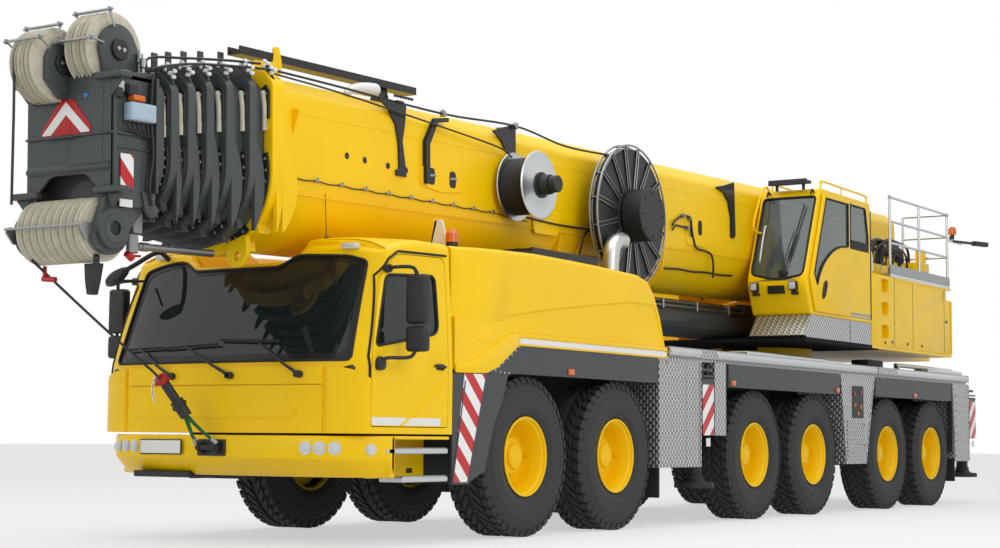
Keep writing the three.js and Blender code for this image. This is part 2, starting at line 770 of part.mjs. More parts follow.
// Side outline of the crane operator's cab, shrunk by a wall.
function craneCabOutline(wall) {
  return [
    [6630 + wall, CRANE_CAB_FLOOR + wall],
    [CRANE_CAB_REAR - wall, CRANE_CAB_FLOOR + wall],
    [CRANE_CAB_REAR - wall, 4050 - wall],
    [6960 + wall, 4060 - wall],
    [6905 + wall, 4000 - wall],
    [6450 + wall, 2860],
  ];
}

function buildCraneCab() {
  const shell = solid(alongX(craneCabOutline(0), [CRANE_CAB_INNER, CRANE_CAB_OUTER])).subtract(
    solid(
      alongX(
        craneCabOutline(CRANE_CAB_WALL),
        [CRANE_CAB_INNER + CRANE_CAB_WALL, CRANE_CAB_OUTER - CRANE_CAB_WALL],
      ),
    ),
  );
  const middle = (CRANE_CAB_INNER + CRANE_CAB_OUTER) / 2;
  const frontWindow = box([CRANE_CAB_INNER + 60, CRANE_CAB_OUTER - 60], [6300, 6895], [2910, 3960]);
  const doorway = box([CRANE_CAB_OUTER - 60, CRANE_CAB_OUTER + 10], [7000, 7760], [2560, 3960]);
  const rearSide = box([CRANE_CAB_OUTER - 60, CRANE_CAB_OUTER + 10], [7900, 8560], [3400, 3960]);
  const innerSide = box([CRANE_CAB_INNER - 10, CRANE_CAB_INNER + 60], [7050, 8400], [3100, 3950]);
  const roof = box([CRANE_CAB_INNER + 120, CRANE_CAB_OUTER - 120], [7150, 8200], [4000, 4100]);
  const cab = cut(shell, frontWindow, doorway, rearSide, innerSide, roof);
  const inside = join(
    ...seat(middle, 7800, CRANE_CAB_FLOOR + 20, 480),
    box([middle - 200, middle + 200], [6750, 6850], [CRANE_CAB_FLOOR + 20, 2800]),
  );
  // Runner for the sliding door, along the rear panel's foot.
  const runner = box([CRANE_CAB_OUTER - 5, CRANE_CAB_OUTER + 8], [7000, 8600], [2480, 2495]);
  piece("crane_cab", cab.add(inside).add(solid(runner)), yellow);
}

function buildCraneDoor() {
  const inner = CRANE_CAB_OUTER + CLEARANCE;
  const across = [inner, inner + CRANE_DOOR_THICKNESS];
  const leaf = alongX(
    [[6720, 2500 - 5], [CRANE_DOOR_REAR, 2500 - 5], [CRANE_DOOR_REAR, 4000], [7000, 4000], [6560, 2890]],
    across,
  );
  const pane = alongX(
    [[6740, 2830], [6960, 3080], [7300, 3290], [7770, 3390], [7770, 3940], [7060, 3940], [6660, 2950]],
    [across[0] - 10, across[1] + 10],
  );
  const shoe = box([CRANE_CAB_OUTER + PIN_GAP, inner + 5], [7600, 7700], [2495 + PIN_GAP, 2520]);
  piece("crane_cab_door", cut(solid(leaf), pane).add(solid(shoe)), yellow);
}

function buildCabPlatform() {
  const shape = join(
    alongX(
      [
        [6400, UPPER_FLOOR + 60],
        [6500, UPPER_FLOOR + UPPER_FLOOR_THICKNESS + SEAT_GAP],
        [8610, UPPER_FLOOR + UPPER_FLOOR_THICKNESS + SEAT_GAP],
        [8610, CRANE_CAB_FLOOR - SEAT_GAP],
        [6630, CRANE_CAB_FLOOR - SEAT_GAP],
      ],
      [BOX_INNER, UPPER_HALF],
    ),
  );
  piece(
    "cab_platform",
    cut(
      shape,
      box([BOX_INNER - 10, UPPER_HALF + 10], [6300, 6499.7], [UPPER_FLOOR - 50, UPPER_FLOOR + 20]),
    ),
    aluminium,
  );
}

function buildMachineryBox() {
  const body = solid(
    alongX(
      [
        [BOX_FRONT, UPPER_FLOOR + UPPER_FLOOR_THICKNESS + SEAT_GAP],
        [UPPER_REAR, UPPER_FLOOR + UPPER_FLOOR_THICKNESS + SEAT_GAP],
        [UPPER_REAR, 2960],
        [11600, 2960],
        [11600, BOX_TOP],
        [BOX_FRONT, BOX_TOP],
      ],
      [BOX_INNER, UPPER_HALF],
    ),
  );
  const steps = [2370, 2680, 2990].map(
    (z) => box([UPPER_HALF - 90, UPPER_HALF + 5], [9040, 9220], [z - 80, z + 80]),
  );
  piece("machinery_box", cut(body, ...steps), yellow);
}

function buildServicePlatform() {
  const floor = [BOX_TOP + SEAT_GAP, BOX_TOP + 45];
  const top = 4230;
  const outer = UPPER_HALF - 25;
  const inner = BOX_INNER + 30;
  const posts = [9410, 10550, 11740];
  const parts = [box([BOX_INNER, UPPER_HALF], [9350, 11780], floor)];
  for (const y of posts) parts.push(rod([outer, y, floor[1] - 10], [outer, y, top], 20, 8));
  for (const y of [posts[0], posts[2]]) parts.push(rod([inner, y, floor[1] - 10], [inner, y, top], 20, 8));
  for (const z of [3600, 3900, top]) {
    parts.push(rod([outer, posts[0], z], [outer, posts[2], z], 18, 8));
    parts.push(rod([outer, posts[2], z], [inner, posts[2], z], 18, 8));
  }
  // Arm for the rear marker lamp.
  parts.push(rod([outer, posts[2], 3860], [outer, posts[2] + 620, 3860], 22, 8));
  piece("service_platform", join(...parts), aluminium);
}

// ---------- Boom ----------

// Cross-section (x, z) of a boom section: flat top with bevelled corners and a round belly.
function sectionOutline(halfWidth, height) {
  const bevel = 150;
  const belly = 10;
  const points = [
    [halfWidth, height / 2 - bevel],
    [halfWidth - bevel, height / 2],
    [bevel - halfWidth, height / 2],
    [-halfWidth, height / 2 - bevel],
  ];
  const depth = halfWidth;
  for (let i = 0; i <= belly; i += 1) {
    const angle = Math.PI + (Math.PI * i) / belly;
    points.push([halfWidth * Math.cos(angle), depth - height / 2 + depth * Math.sin(angle)]);
  }
  return points;
}

const sectionPrism = (inset, from, to) =>
  alongY(
    sectionOutline(BOOM_HALF - inset, BOOM_HEIGHT - 2 * inset),
    [from, to],
  ).translate(0, 0, BOOM_RAISE);

// A hollow section: wide mouth collar in front, tight pads behind it, loose the rest of the way.
function boomTube(inset, reach, tail, collarDepth, collarHeight, nextInset) {
  const tube = join(
    sectionPrism(inset, -reach, -tail),
    sectionPrism(inset - collarHeight, -reach, -reach + collarDepth),
  );
  if (nextInset === undefined) return cut(tube, sectionPrism(inset + BOOM_WALL, -reach + 400, -tail + 10));
  return cut(
    tube,
    sectionPrism(nextInset - PIN_GAP, -reach - 10, -tail + 10),
    sectionPrism(inset + BOOM_WALL, -reach + PAD_LENGTH, -tail + 10),
  );
}

const boom = new THREE.Group();
boom.position.set(0, PIVOT_Y, PIVOT_Z);
boom.rotation.x = BOOM_TILT;
chassis.add(boom);

// A point (y, z) of the stowed machine, seen from the boom's tilted frame.
function toBoom([y, z]) {
  const p = new THREE.Vector3(0, y - PIVOT_Y, z - PIVOT_Z).applyAxisAngle(
    new THREE.Vector3(1, 0, 0),
    -BOOM_TILT,
  );
  return [p.y, p.z];
}

function buildBoomBase() {
  const bottom = BOOM_RAISE - BOOM_HEIGHT / 2;
  const tube = boomTube(0, BOOM_REACH, -BOOM_TAIL, BASE_COLLAR_DEPTH, COLLAR_HEIGHT + 10, NEST_STEP);
  // Lugs for the luffing cylinder's rod, with their pin.
  const [eyeY, eyeZ] = toBoom(CYLINDER_EYE);
  const lugs = [-1, 1].map((side) =>
    alongX(
      [
        [eyeY - 110, eyeZ - 110],
        [eyeY + 110, eyeZ - 110],
        [eyeY + 420, bottom + 60],
        [eyeY - 420, bottom + 60],
      ],
      span(side * (ROD_RADIUS + 15), side * (ROD_RADIUS + 60)),
    ),
  );
  const inside = sectionPrism(BOOM_WALL, -BOOM_REACH + PAD_LENGTH, BOOM_TAIL + 10);
  const pivotEnd = CHEEK_X + CHEEK_THICKNESS;
  const pins = [
    rod([-pivotEnd, 0, 0], [pivotEnd, 0, 0], PIVOT_RADIUS, 20),
    rod([-ROD_RADIUS - 60, eyeY, eyeZ], [ROD_RADIUS + 60, eyeY, eyeZ], CYLINDER_PIN_RADIUS, 16),
  ];
  // Shafts for the two cable reels.
  for (const [place, radius, reach] of [
    [[REEL_Y, REEL_Z], REEL_SHAFT, 560],
    [[SMALL_REEL_Y, SMALL_REEL_Z], SMALL_REEL_SHAFT, 500],
  ]) {
    const [y, z] = toBoom(place);
    pins.push(rod([BOOM_HALF - 5, y, z], [BOOM_HALF + reach, y, z], radius, 12));
  }
  piece("boom_base", cut(tube.add(join(...lugs)), inside).add(join(...pins)), yellow, boom);
}

function buildBoomSections() {
  for (let i = 1; i <= 5; i += 1) {
    const tail = SECTION_TAIL + SECTION_TAIL_STEP * i;
    const tube = boomTube(
      NEST_STEP * i,
      COLLAR_REACHES[i - 1],
      tail,
      COLLAR_DEPTH,
      COLLAR_HEIGHT,
      NEST_STEP * (i + 1),
    );
    piece(`boom_section_${i}`, tube, darkGrey, boom);
  }
}

function buildBoomHead() {
  const inset = NEST_STEP * 6;
  const reach = COLLAR_REACHES[5];
  const tail = SECTION_TAIL + SECTION_TAIL_STEP * 6;
  const front = -15600;
  let head = boomTube(inset, reach, tail, COLLAR_DEPTH, COLLAR_HEIGHT);
  const cheeks = [-1, 1].map((side) =>
    alongX(
      [[front, -170], [front, 680], [-reach + 20, 760], [-reach + 20, -260], [front + 250, -300]],
      span(side * 400, side * 450),
    ),
  );
  const hangers = [-1, 1].map((side) =>
    alongX([
      [front + 30, -160],
      [front + 30, -330],
      [-SHEAVE_REACH - 90, SHEAVE_DROP - 110],
      [-SHEAVE_REACH + 200, SHEAVE_DROP - 110],
      [-reach - 60, -250],
      [-reach - 60, -160],
    ],
      span(side * 372, side * 425)),
  );
  const nose = box([-450, 450], [front, front + 30], [-170, 680]);
  const jibPlate = box([-370, 370], [front - 4, front + 10], [-140, 590]);
  const crown = box([-450, 450], [front, -reach + 10], [640, 700]);
  const horns = [-1, 1].flatMap((side) =>
    [[620, 720], [-300, -190]].map(
      (levels) => box(span(side * 400, side * 590), [front - 60, front + 60], levels),
    ),
  );
  // Upper sheaves between their plates.
  const upper = [
    rod([40, -15410, 905], [310, -15410, 905], 300, 20),
    rod([-310, -15650, 790], [-50, -15650, 790], 290, 20),
    box([310, 345], [-15560, -15250], [660, 960]),
    box([5, 40], [-15560, -15250], [660, 960]),
    box([-345, -310], [-15720, -15450], [660, 860]),
    box([-50, 6], [-15720, -15450], [660, 860]),
  ];
  head = head.add(join(...cheeks, ...hangers, nose, jibPlate, crown, ...horns, ...upper));
  const axle = bore([-500, -SHEAVE_REACH, SHEAVE_DROP], [500, -SHEAVE_REACH, SHEAVE_DROP], 60, 16);
  const room = rod(
    [-SHEAVE_HALF - 15, -SHEAVE_REACH, SHEAVE_DROP],
    [SHEAVE_HALF + 15, -SHEAVE_REACH, SHEAVE_DROP],
    SHEAVE_RADIUS + 20,
    24,
  );
  piece("boom_head", cut(head, axle, room), darkGrey, boom);

  const sheaves = join(
    rod(
      [-SHEAVE_HALF, -SHEAVE_REACH, SHEAVE_DROP],
      [SHEAVE_HALF, -SHEAVE_REACH, SHEAVE_DROP],
      SHEAVE_RADIUS,
      24,
    ),
    rod([-470, -SHEAVE_REACH, SHEAVE_DROP], [470, -SHEAVE_REACH, SHEAVE_DROP], 60, 16),
    rod([426 + PIN_GAP, -SHEAVE_REACH, SHEAVE_DROP], [480, -SHEAVE_REACH, SHEAVE_DROP], 160, 16),
    rod([-480, -SHEAVE_REACH, SHEAVE_DROP], [-426 - PIN_GAP, -SHEAVE_REACH, SHEAVE_DROP], 160, 16),
  );
  piece("lower_sheaves", sheaves, nylon, boom);
}

function buildCylinder() {
  const [pinY, pinZ] = CYLINDER_PIN;
  const [eyeY, eyeZ] = CYLINDER_EYE;
  const length = Math.hypot(eyeY - pinY, eyeZ - pinZ);
  const group = new THREE.Group();
  group.position.set(0, pinY, pinZ);
  group.rotation.x = Math.atan2(pinZ - eyeZ, pinY - eyeY);
  chassis.add(group);
  const pinHole = bore([-400, 0, 0], [400, 0, 0], CYLINDER_PIN_RADIUS, 16);
  const eyeHole = pinHole.clone().translate(0, -length, 0);
  const barrel = cut(
    join(
      rod([0, -BARREL_LENGTH, 0], [0, 0, 0], BARREL_RADIUS, 24),
      rod([-BARREL_RADIUS, 0, 0], [BARREL_RADIUS, 0, 0], 170, 20),
    ),
    rod([0, -BARREL_LENGTH - 10, 0], [0, -200, 0], ROD_RADIUS + PIN_GAP, 20),
    pinHole,
  );
  piece("luffing_barrel", barrel, darkGrey, group);
  const rodBody = cut(
    join(
      rod([0, -length + 60, 0], [0, -length + ROD_LENGTH, 0], ROD_RADIUS, 20),
      rod([-ROD_RADIUS, -length, 0], [ROD_RADIUS, -length, 0], 130, 20),
    ),
    eyeHole,
  );
  piece("luffing_rod", rodBody, chrome, group);
}

// A reel of cable that turns on a shaft beside the boom.
function reelShape(radius, drumRadius, shaft, from, to, flange) {
  return cut(
    join(
      rod([from, 0, 0], [from + flange, 0, 0], radius, 24),
      rod([from, 0, 0], [to, 0, 0], drumRadius, 20),
      rod([to - flange, 0, 0], [to, 0, 0], radius, 24),
    ),
    bore([from - 10, 0, 0], [to + 10, 0, 0], shaft, 12),
  );
}

function buildReels() {
  const big = piece(
    "cable_reel",
    reelShape(REEL_RADIUS, 300, REEL_SHAFT, BOOM_HALF + 60, BOOM_HALF + 330, 25),
    castIron,
    boom,
  );
  big.position.set(0, ...toBoom([REEL_Y, REEL_Z]));
  const small = piece(
    "hose_reel",
    reelShape(SMALL_REEL_RADIUS, 200, SMALL_REEL_SHAFT, BOOM_HALF + 60, BOOM_HALF + 360, 15),
    aluminium,
    boom,
  );
  small.position.set(0, ...toBoom([SMALL_REEL_Y, SMALL_REEL_Z]));
}

// ---------- Assembly ----------

buildRunningGear();
buildFrame();
buildOutrigger("front_left", FRONT_BEAMS_Y.left, 1);
buildOutrigger("front_right", FRONT_BEAMS_Y.right, -1);
buildOutrigger("rear_left", REAR_BEAMS_Y.left, 1);
buildOutrigger("rear_right", REAR_BEAMS_Y.right, -1);
buildDeck();
for (const [name, side] of Object.entries(SIDES)) {
  buildFenders(name, side);
  buildDriverDoor(name, side);
}
buildDriverCab();
buildBumper();
buildEngineCover();
piece("engine_block", box([-420, 420], [100, 1900], [SIDE_LEVEL, 2250]), castIron);
buildUpperFrame();
buildCabPlatform();
buildCraneCab();
buildCraneDoor();
buildMachineryBox();
buildServicePlatform();
buildBoomBase();
buildBoomSections();
buildBoomHead();
buildCylinder();
buildReels();

chassis.position.y = -ORIGIN_Y;

export default crane;
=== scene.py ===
import json
import math
import random

import bmesh
import bpy
from mathutils import Matrix, Vector


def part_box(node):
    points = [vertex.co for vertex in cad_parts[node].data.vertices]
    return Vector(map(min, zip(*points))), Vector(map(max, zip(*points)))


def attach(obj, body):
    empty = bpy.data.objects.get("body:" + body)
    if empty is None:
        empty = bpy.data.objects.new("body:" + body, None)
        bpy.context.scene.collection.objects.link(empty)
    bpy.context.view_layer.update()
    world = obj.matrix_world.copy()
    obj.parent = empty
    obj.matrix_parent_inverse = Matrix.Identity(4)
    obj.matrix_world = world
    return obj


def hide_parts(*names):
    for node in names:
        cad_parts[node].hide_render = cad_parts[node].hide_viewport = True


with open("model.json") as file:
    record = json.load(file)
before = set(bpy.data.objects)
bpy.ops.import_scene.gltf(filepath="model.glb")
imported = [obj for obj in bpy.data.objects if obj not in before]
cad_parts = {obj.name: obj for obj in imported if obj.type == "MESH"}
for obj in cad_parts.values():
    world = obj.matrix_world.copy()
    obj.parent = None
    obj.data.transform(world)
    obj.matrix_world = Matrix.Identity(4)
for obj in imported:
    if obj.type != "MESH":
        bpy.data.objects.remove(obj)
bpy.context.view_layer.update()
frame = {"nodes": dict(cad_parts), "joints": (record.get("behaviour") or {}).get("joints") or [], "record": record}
cadNodes = frame["nodes"]
joints = {joint["name"]: joint for joint in frame["joints"]}
print("frame loaded")

# Two spaces to draw in: the road, with y counted rearwards from the first axle,
# and the boom, with y and z counted along its own tilted axes from the foot pin.
axleOneY = joints["spin_left_1"]["pos_m"][1]
footPin = Vector(joints["luff"]["pos_m"])
boomAxis = Vector(joints["telescope_1"]["axis"])
boomTilt = math.atan2(-boomAxis.z, -boomAxis.y)
road = Matrix.Translation((0, axleOneY, 0))
boomSpace = Matrix.Translation(footPin) @ Matrix.Rotation(boomTilt, 4, "X")
sides = {"left": 1, "right": -1}


# camera and light

camera = {
    "place": (10.4055, -14.3915, 0.9043),
    "yaw": 0.5714,
    "pitch": 0.0892,
    "roll": 0.0080,
    "lens": 65.98,
}


def buildCamera():
    data = bpy.data.cameras.new("camera")
    data.lens = camera["lens"]
    data.sensor_width = 36
    data.clip_end = 400
    yaw, pitch, roll = camera["yaw"], camera["pitch"], camera["roll"]
    look = Vector((-math.sin(yaw) * math.cos(pitch), math.cos(yaw) * math.cos(pitch), math.sin(pitch)))
    level = look.cross(Vector((0, 0, 1))).normalized()
    over = level.cross(look)
    right = level * math.cos(roll) + over * math.sin(roll)
    up = over * math.cos(roll) - level * math.sin(roll)
    turn = Matrix((right, up, -look)).transposed().to_4x4()
    item = bpy.data.objects.new("camera", data)
    item.matrix_world = Matrix.Translation(road @ Vector(camera["place"])) @ turn
    bpy.context.scene.collection.objects.link(item)
    bpy.context.scene.camera = item


# adding nodes: settings by name, inputs by name, and a socket as a value makes a link

def add(tree, kind, inputs=None, **settings):
    made = tree.nodes.new(kind)
    for name, value in settings.items():
        setattr(made, name, value)
    for name, value in (inputs or {}).items():
        socket = made.inputs[name]
        if isinstance(value, bpy.types.NodeSocket):
            tree.links.new(value, socket)
        else:
            socket.default_value = value
    return made.outputs[0] if made.outputs else None


def srgb(hexValue):
    channels = [int(hexValue[i : i + 2], 16) / 255 for i in (1, 3, 5)]
    linear = [c / 12.92 if c <= 0.04045 else ((c + 0.055) / 1.055) ** 2.4 for c in channels]
    return (*linear, 1)


def newMaterial(name, **sockets):
    made = bpy.data.materials.new(name)
    made.use_nodes = True
    shader = made.node_tree.nodes["Principled BSDF"]
    for key, value in sockets.items():
        socket = shader.inputs[key.replace("_", " ")]
        if isinstance(value, bpy.types.NodeSocket):
            made.node_tree.links.new(value, socket)
        else:
            socket.default_value = value
    return made, made.node_tree, shader


def perMetre(millimetres):
    return 1000 / millimetres


def backdropRays(tree):
    # 1 for the rays that should meet the white backdrop: seen, mirrored or through glass
    path = tree.nodes.new("ShaderNodeLightPath")
    seen = add(tree, "ShaderNodeMath", {0: path.outputs["Is Camera Ray"],
        1: path.outputs["Is Glossy Ray"]}, operation="MAXIMUM")
    return add(tree, "ShaderNodeMath", {0: seen, 1: path.outputs["Is Transmission Ray"]}, operation="MAXIMUM")


def buildLight():
    world = bpy.data.worlds.new("studio")
    bpy.context.scene.world = world
    world.use_nodes = True
    tree = world.node_tree
    tree.nodes.clear()
    seen = backdropRays(tree)
    soft = add(tree, "ShaderNodeBackground", {"Color": srgb("#F1F3F5"), "Strength": 0.68})
    white = add(tree, "ShaderNodeBackground", {"Color": (1, 1, 1, 1), "Strength": 1})
    both = add(tree, "ShaderNodeMixShader", {0: seen, 1: soft, 2: white})
    add(tree, "ShaderNodeOutputWorld", {"Surface": both})
    lamps = [
        # name, place, aim, size, watts
        ("overhead", (1, 2, 13), (0, 5, 1), 12, 800),
        ("side", (15, -6, 9), (0, 3, 2), 7, 620),
        ("front", (-5, -18, 9), (0, -2, 2), 6, 330),
    ]
    for name, place, aim, size, watts in lamps:
        data = bpy.data.lights.new(name, "AREA")
        data.size = size
        data.energy = watts
        item = bpy.data.objects.new(name, data)
        start, end = road @ Vector(place), road @ Vector(aim)
        item.matrix_world = Matrix.Translation(start) @ (end - start).to_track_quat("-Z",
            "Y").to_matrix().to_4x4()
        bpy.context.scene.collection.objects.link(item)


def buildFloor():
    data = bpy.data.meshes.new("floor")
    reach = 120
    data.from_pydata([(-reach, -reach, 0), (reach, -reach, 0), (reach, reach, 0), (-reach, reach, 0)], [],
        [(0, 1, 2, 3)])
    item = bpy.data.objects.new("floor", data)
    bpy.context.scene.collection.objects.link(item)
    item.location.z = -0.002
    made, tree, shader = newMaterial("pale studio floor", Roughness=0.9)
    shader.inputs["Base Color"].default_value = srgb("#E4E4E4")
    # half of what is seen is plain white, so the floor meets the backdrop and keeps its shadow
    share = add(tree, "ShaderNodeMath", {0: backdropRays(tree), 1: 0.55}, operation="MULTIPLY")
    white = add(tree, "ShaderNodeEmission", {"Color": (1, 1, 1, 1), "Strength": 1})
    both = add(tree, "ShaderNodeMixShader", {0: share, 1: shader.outputs[0], 2: white})
    tree.links.new(both, tree.nodes["Material Output"].inputs["Surface"])
    data.materials.append(made)


buildCamera()
buildLight()
buildFloor()
print("camera, light and floor set")


# materials

def objectCoords(tree):
    return tree.nodes.new("ShaderNodeTexCoord").outputs["Object"]


def bumpFrom(tree, shader, height, strength, distance):
    bump = add(tree, "ShaderNodeBump", {"Height": height, "Strength": strength, "Distance": distance})
    tree.links.new(bump, shader.inputs["Normal"])


def enamel(name, hexValue, roughness, coat, dirt=0.06):
    # two-pack enamel sprayed on steel: clear gloss, faint orange peel, road dust in random clouds
    made, tree, shader = newMaterial(name, Roughness=roughness)
    coords = objectCoords(tree)
    peel = add(tree, "ShaderNodeTexNoise", {"Vector": coords, "Scale": perMetre(6), "Detail": 1.0})
    cloud = add(tree, "ShaderNodeTexNoise", {"Vector": coords, "Scale": perMetre(900), "Detail": 4.0})
    base = Vector(srgb(hexValue)[:3])
    shade = add(tree, "ShaderNodeValToRGB", {"Fac": cloud})
    ramp = shade.node.color_ramp.elements
    ramp[0].position, ramp[1].position = 0.35, 0.7
    ramp[0].color = (*(base * (1 - dirt)), 1)
    ramp[1].color = (*base, 1)
    tree.links.new(shade, shader.inputs["Base Color"])
    shader.inputs["Coat Weight"].default_value = coat
    shader.inputs["Coat Roughness"].default_value = 0.06
    shader.inputs["Specular IOR Level"].default_value = 0.22
    bumpFrom(tree, shader, peel, 0.05, 0.0004)
    return made


def buildRubber():
    # moulded tyre rubber: soft black, matt, dusted grey in random patches
    made, tree, shader = newMaterial("tyre rubber", Roughness=0.78)
    coords = objectCoords(tree)
    grit = add(tree, "ShaderNodeTexNoise", {"Vector": coords, "Scale": perMetre(14), "Detail": 6.0})
    shade = add(tree, "ShaderNodeValToRGB", {"Fac": grit})
    ramp = shade.node.color_ramp.elements
    ramp[0].position, ramp[1].position = 0.3, 0.75
    ramp[0].color, ramp[1].color = srgb("#222324"), srgb("#3B3C3D")
    tree.links.new(shade, shader.inputs["Base Color"])
    bumpFrom(tree, shader, grit, 0.35, 0.0015)
    return made


def buildMoulded(name, hexValue, roughness):
    # moulded polypropylene: even colour with a fine leather-like grain
    made, tree, shader = newMaterial(name, Roughness=roughness)
    shader.inputs["Base Color"].default_value = srgb(hexValue)
    grain = add(tree, "ShaderNodeTexVoronoi", {"Vector": objectCoords(tree), "Scale": perMetre(4)})
    bumpFrom(tree, shader, grain, 0.15, 0.0004)
    return made


def buildMetal(name, hexValue, roughness, streak, metallic=1.0):
    # drawn or rolled metal: fine streaks along its length
    made, tree, shader = newMaterial(name, Metallic=metallic)
    coords = add(tree, "ShaderNodeMapping", {"Vector": objectCoords(tree), "Scale": (1, 0.05, 1)})
    lines = add(tree, "ShaderNodeTexNoise", {"Vector": coords, "Scale": perMetre(streak), "Detail": 3.0})
    spread = add(tree, "ShaderNodeMapRange", {"Value": lines, "To Min": roughness - 0.07,
        "To Max": roughness + 0.1})
    tree.links.new(spread, shader.inputs["Roughness"])
    shader.inputs["Base Color"].default_value = srgb(hexValue)
    bumpFrom(tree, shader, lines, 0.08, 0.0005)
    return made


def buildChequer():
    # rolled aluminium tread plate: bright lozenges in two crossing directions,
    # 30 mm apart on the real plate, drawn at 74 mm so that they show
    made, tree, shader = newMaterial("aluminium chequer plate", Metallic=0.85, Roughness=0.38)
    coords = add(tree, "ShaderNodeSeparateXYZ", {"Vector": objectCoords(tree)})
    x, y, z = coords.node.outputs
    pitch = perMetre(74)
    flat = add(tree, "ShaderNodeMath", {0: x, 1: y}, operation="ADD")

    def bars(sign):
        along = add(tree, "ShaderNodeMath", {0: z, 1: sign, 2: flat}, operation="MULTIPLY_ADD")
        across = add(tree, "ShaderNodeMath", {0: z, 1: -sign, 2: flat}, operation="MULTIPLY_ADD")
        narrow = add(tree, "ShaderNodeMath", {0: along, 1: 2 * math.pi * pitch}, operation="MULTIPLY")
        long = add(tree, "ShaderNodeMath", {0: across, 1: math.pi * pitch}, operation="MULTIPLY")
        a = add(tree, "ShaderNodeMath", {0: narrow}, operation="SINE")
        b = add(tree, "ShaderNodeMath", {0: long}, operation="SINE")
        both = add(tree, "ShaderNodeMath", {0: a,
            1: add(tree, "ShaderNodeMath", {0: b}, operation="ABSOLUTE")}, operation="MULTIPLY")
        return add(tree, "ShaderNodeMapRange", {"Value": both, "From Min": 0.45, "From Max": 0.75})

    lozenges = add(tree, "ShaderNodeMath", {0: bars(1), 1: bars(-1)}, operation="MAXIMUM")
    shade = add(tree, "ShaderNodeMix", {0: lozenges, 6: srgb("#8A8C8C"), 7: srgb("#E2E4E3")},
        data_type="RGBA")
    tree.links.new(shade.node.outputs[2], shader.inputs["Base Color"])
    bumpFrom(tree, shader, lozenges, 0.9, 0.003)
    return made


def buildStripes(name, slope):
    # reflective warning film: red and white bars 100 mm wide at 45 degrees
    made, tree, shader = newMaterial(name, Roughness=0.35)
    coords = add(tree, "ShaderNodeSeparateXYZ", {"Vector": objectCoords(tree)})
    x, y, z = coords.node.outputs
    flat = add(tree, "ShaderNodeMath", {0: x, 1: y}, operation="ADD")
    lean = add(tree, "ShaderNodeMath", {0: flat, 1: slope, 2: z}, operation="MULTIPLY_ADD")
    turns = add(tree, "ShaderNodeMath", {0: lean, 1: perMetre(282)}, operation="MULTIPLY")
    part = add(tree, "ShaderNodeMath", {0: turns}, operation="FRACT")
    red = add(tree, "ShaderNodeMath", {0: part, 1: 0.5}, operation="LESS_THAN")
    shade = add(tree, "ShaderNodeMix", {0: red, 6: srgb("#F1F1EF"), 7: srgb("#C4161C")}, data_type="RGBA")
    tree.links.new(shade.node.outputs[2], shader.inputs["Base Color"])
    cells = add(tree, "ShaderNodeTexVoronoi", {"Vector": coords.node.inputs[0].links[0].from_socket,
        "Scale": perMetre(8)})
    bumpFrom(tree, shader, cells, 0.1, 0.0003)
    return made


def buildGlass(name, hexValue, through):
    # laminated safety glass: green-grey tint, mirror-smooth
    made, tree, shader = newMaterial(name, Roughness=0.02, IOR=1.5)
    shader.inputs["Base Color"].default_value = srgb(hexValue)
    shader.inputs["Transmission Weight"].default_value = through
    ripple = add(tree, "ShaderNodeTexNoise", {"Vector": objectCoords(tree), "Scale": perMetre(700)})
    bumpFrom(tree, shader, ripple, 0.02, 0.001)
    return made


def buildLens(name, hexValue, through=0.35):
    # moulded acrylic lens with fine optic ribs
    made, tree, shader = newMaterial(name, Roughness=0.12, IOR=1.49)
    shader.inputs["Base Color"].default_value = srgb(hexValue)
    shader.inputs["Transmission Weight"].default_value = through
    ribs = add(tree, "ShaderNodeTexWave", {"Vector": objectCoords(tree), "Scale": perMetre(40)})
    bumpFrom(tree, shader, ribs, 0.25, 0.0008)
    return made


def buildRope():
    # galvanised wire rope: strands laid round, 9 mm apart
    made, tree, shader = newMaterial("wire rope", Metallic=0.6, Roughness=0.5)
    shader.inputs["Base Color"].default_value = srgb("#3A3B3C")
    lay = add(tree, "ShaderNodeTexWave", {"Vector": objectCoords(tree), "Scale": perMetre(60),
        "Distortion": 1.0}, bands_direction="DIAGONAL")
    bumpFrom(tree, shader, lay, 0.6, 0.002)
    return made


def buildNylon():
    # cast nylon, turned: ivory with faint turning marks and rope stains
    made, tree, shader = newMaterial("cast nylon", Roughness=0.55)
    coords = objectCoords(tree)
    stain = add(tree, "ShaderNodeTexNoise", {"Vector": coords, "Scale": perMetre(60), "Detail": 4.0})
    shade = add(tree, "ShaderNodeValToRGB", {"Fac": stain})
    ramp = shade.node.color_ramp.elements
    ramp[0].position, ramp[1].position = 0.3, 0.7
    ramp[0].color, ramp[1].color = srgb("#BDB7A2"), srgb("#CFC9B4")
    tree.links.new(shade, shader.inputs["Base Color"])
    bumpFrom(tree, shader, stain, 0.1, 0.001)
    return made


def buildCloth():
    # woven polyester seat cover, 2 mm yarn drawn at 6 mm so that it shows
    made, tree, shader = newMaterial("woven seat cover", Roughness=0.95)
    shader.inputs["Base Color"].default_value = srgb("#3A3C40")
    weave = add(tree, "ShaderNodeTexBrick", {"Vector": objectCoords(tree), "Scale": perMetre(12)})
    bumpFrom(tree, shader, weave.node.outputs["Fac"], 0.4, 0.001)
    return made


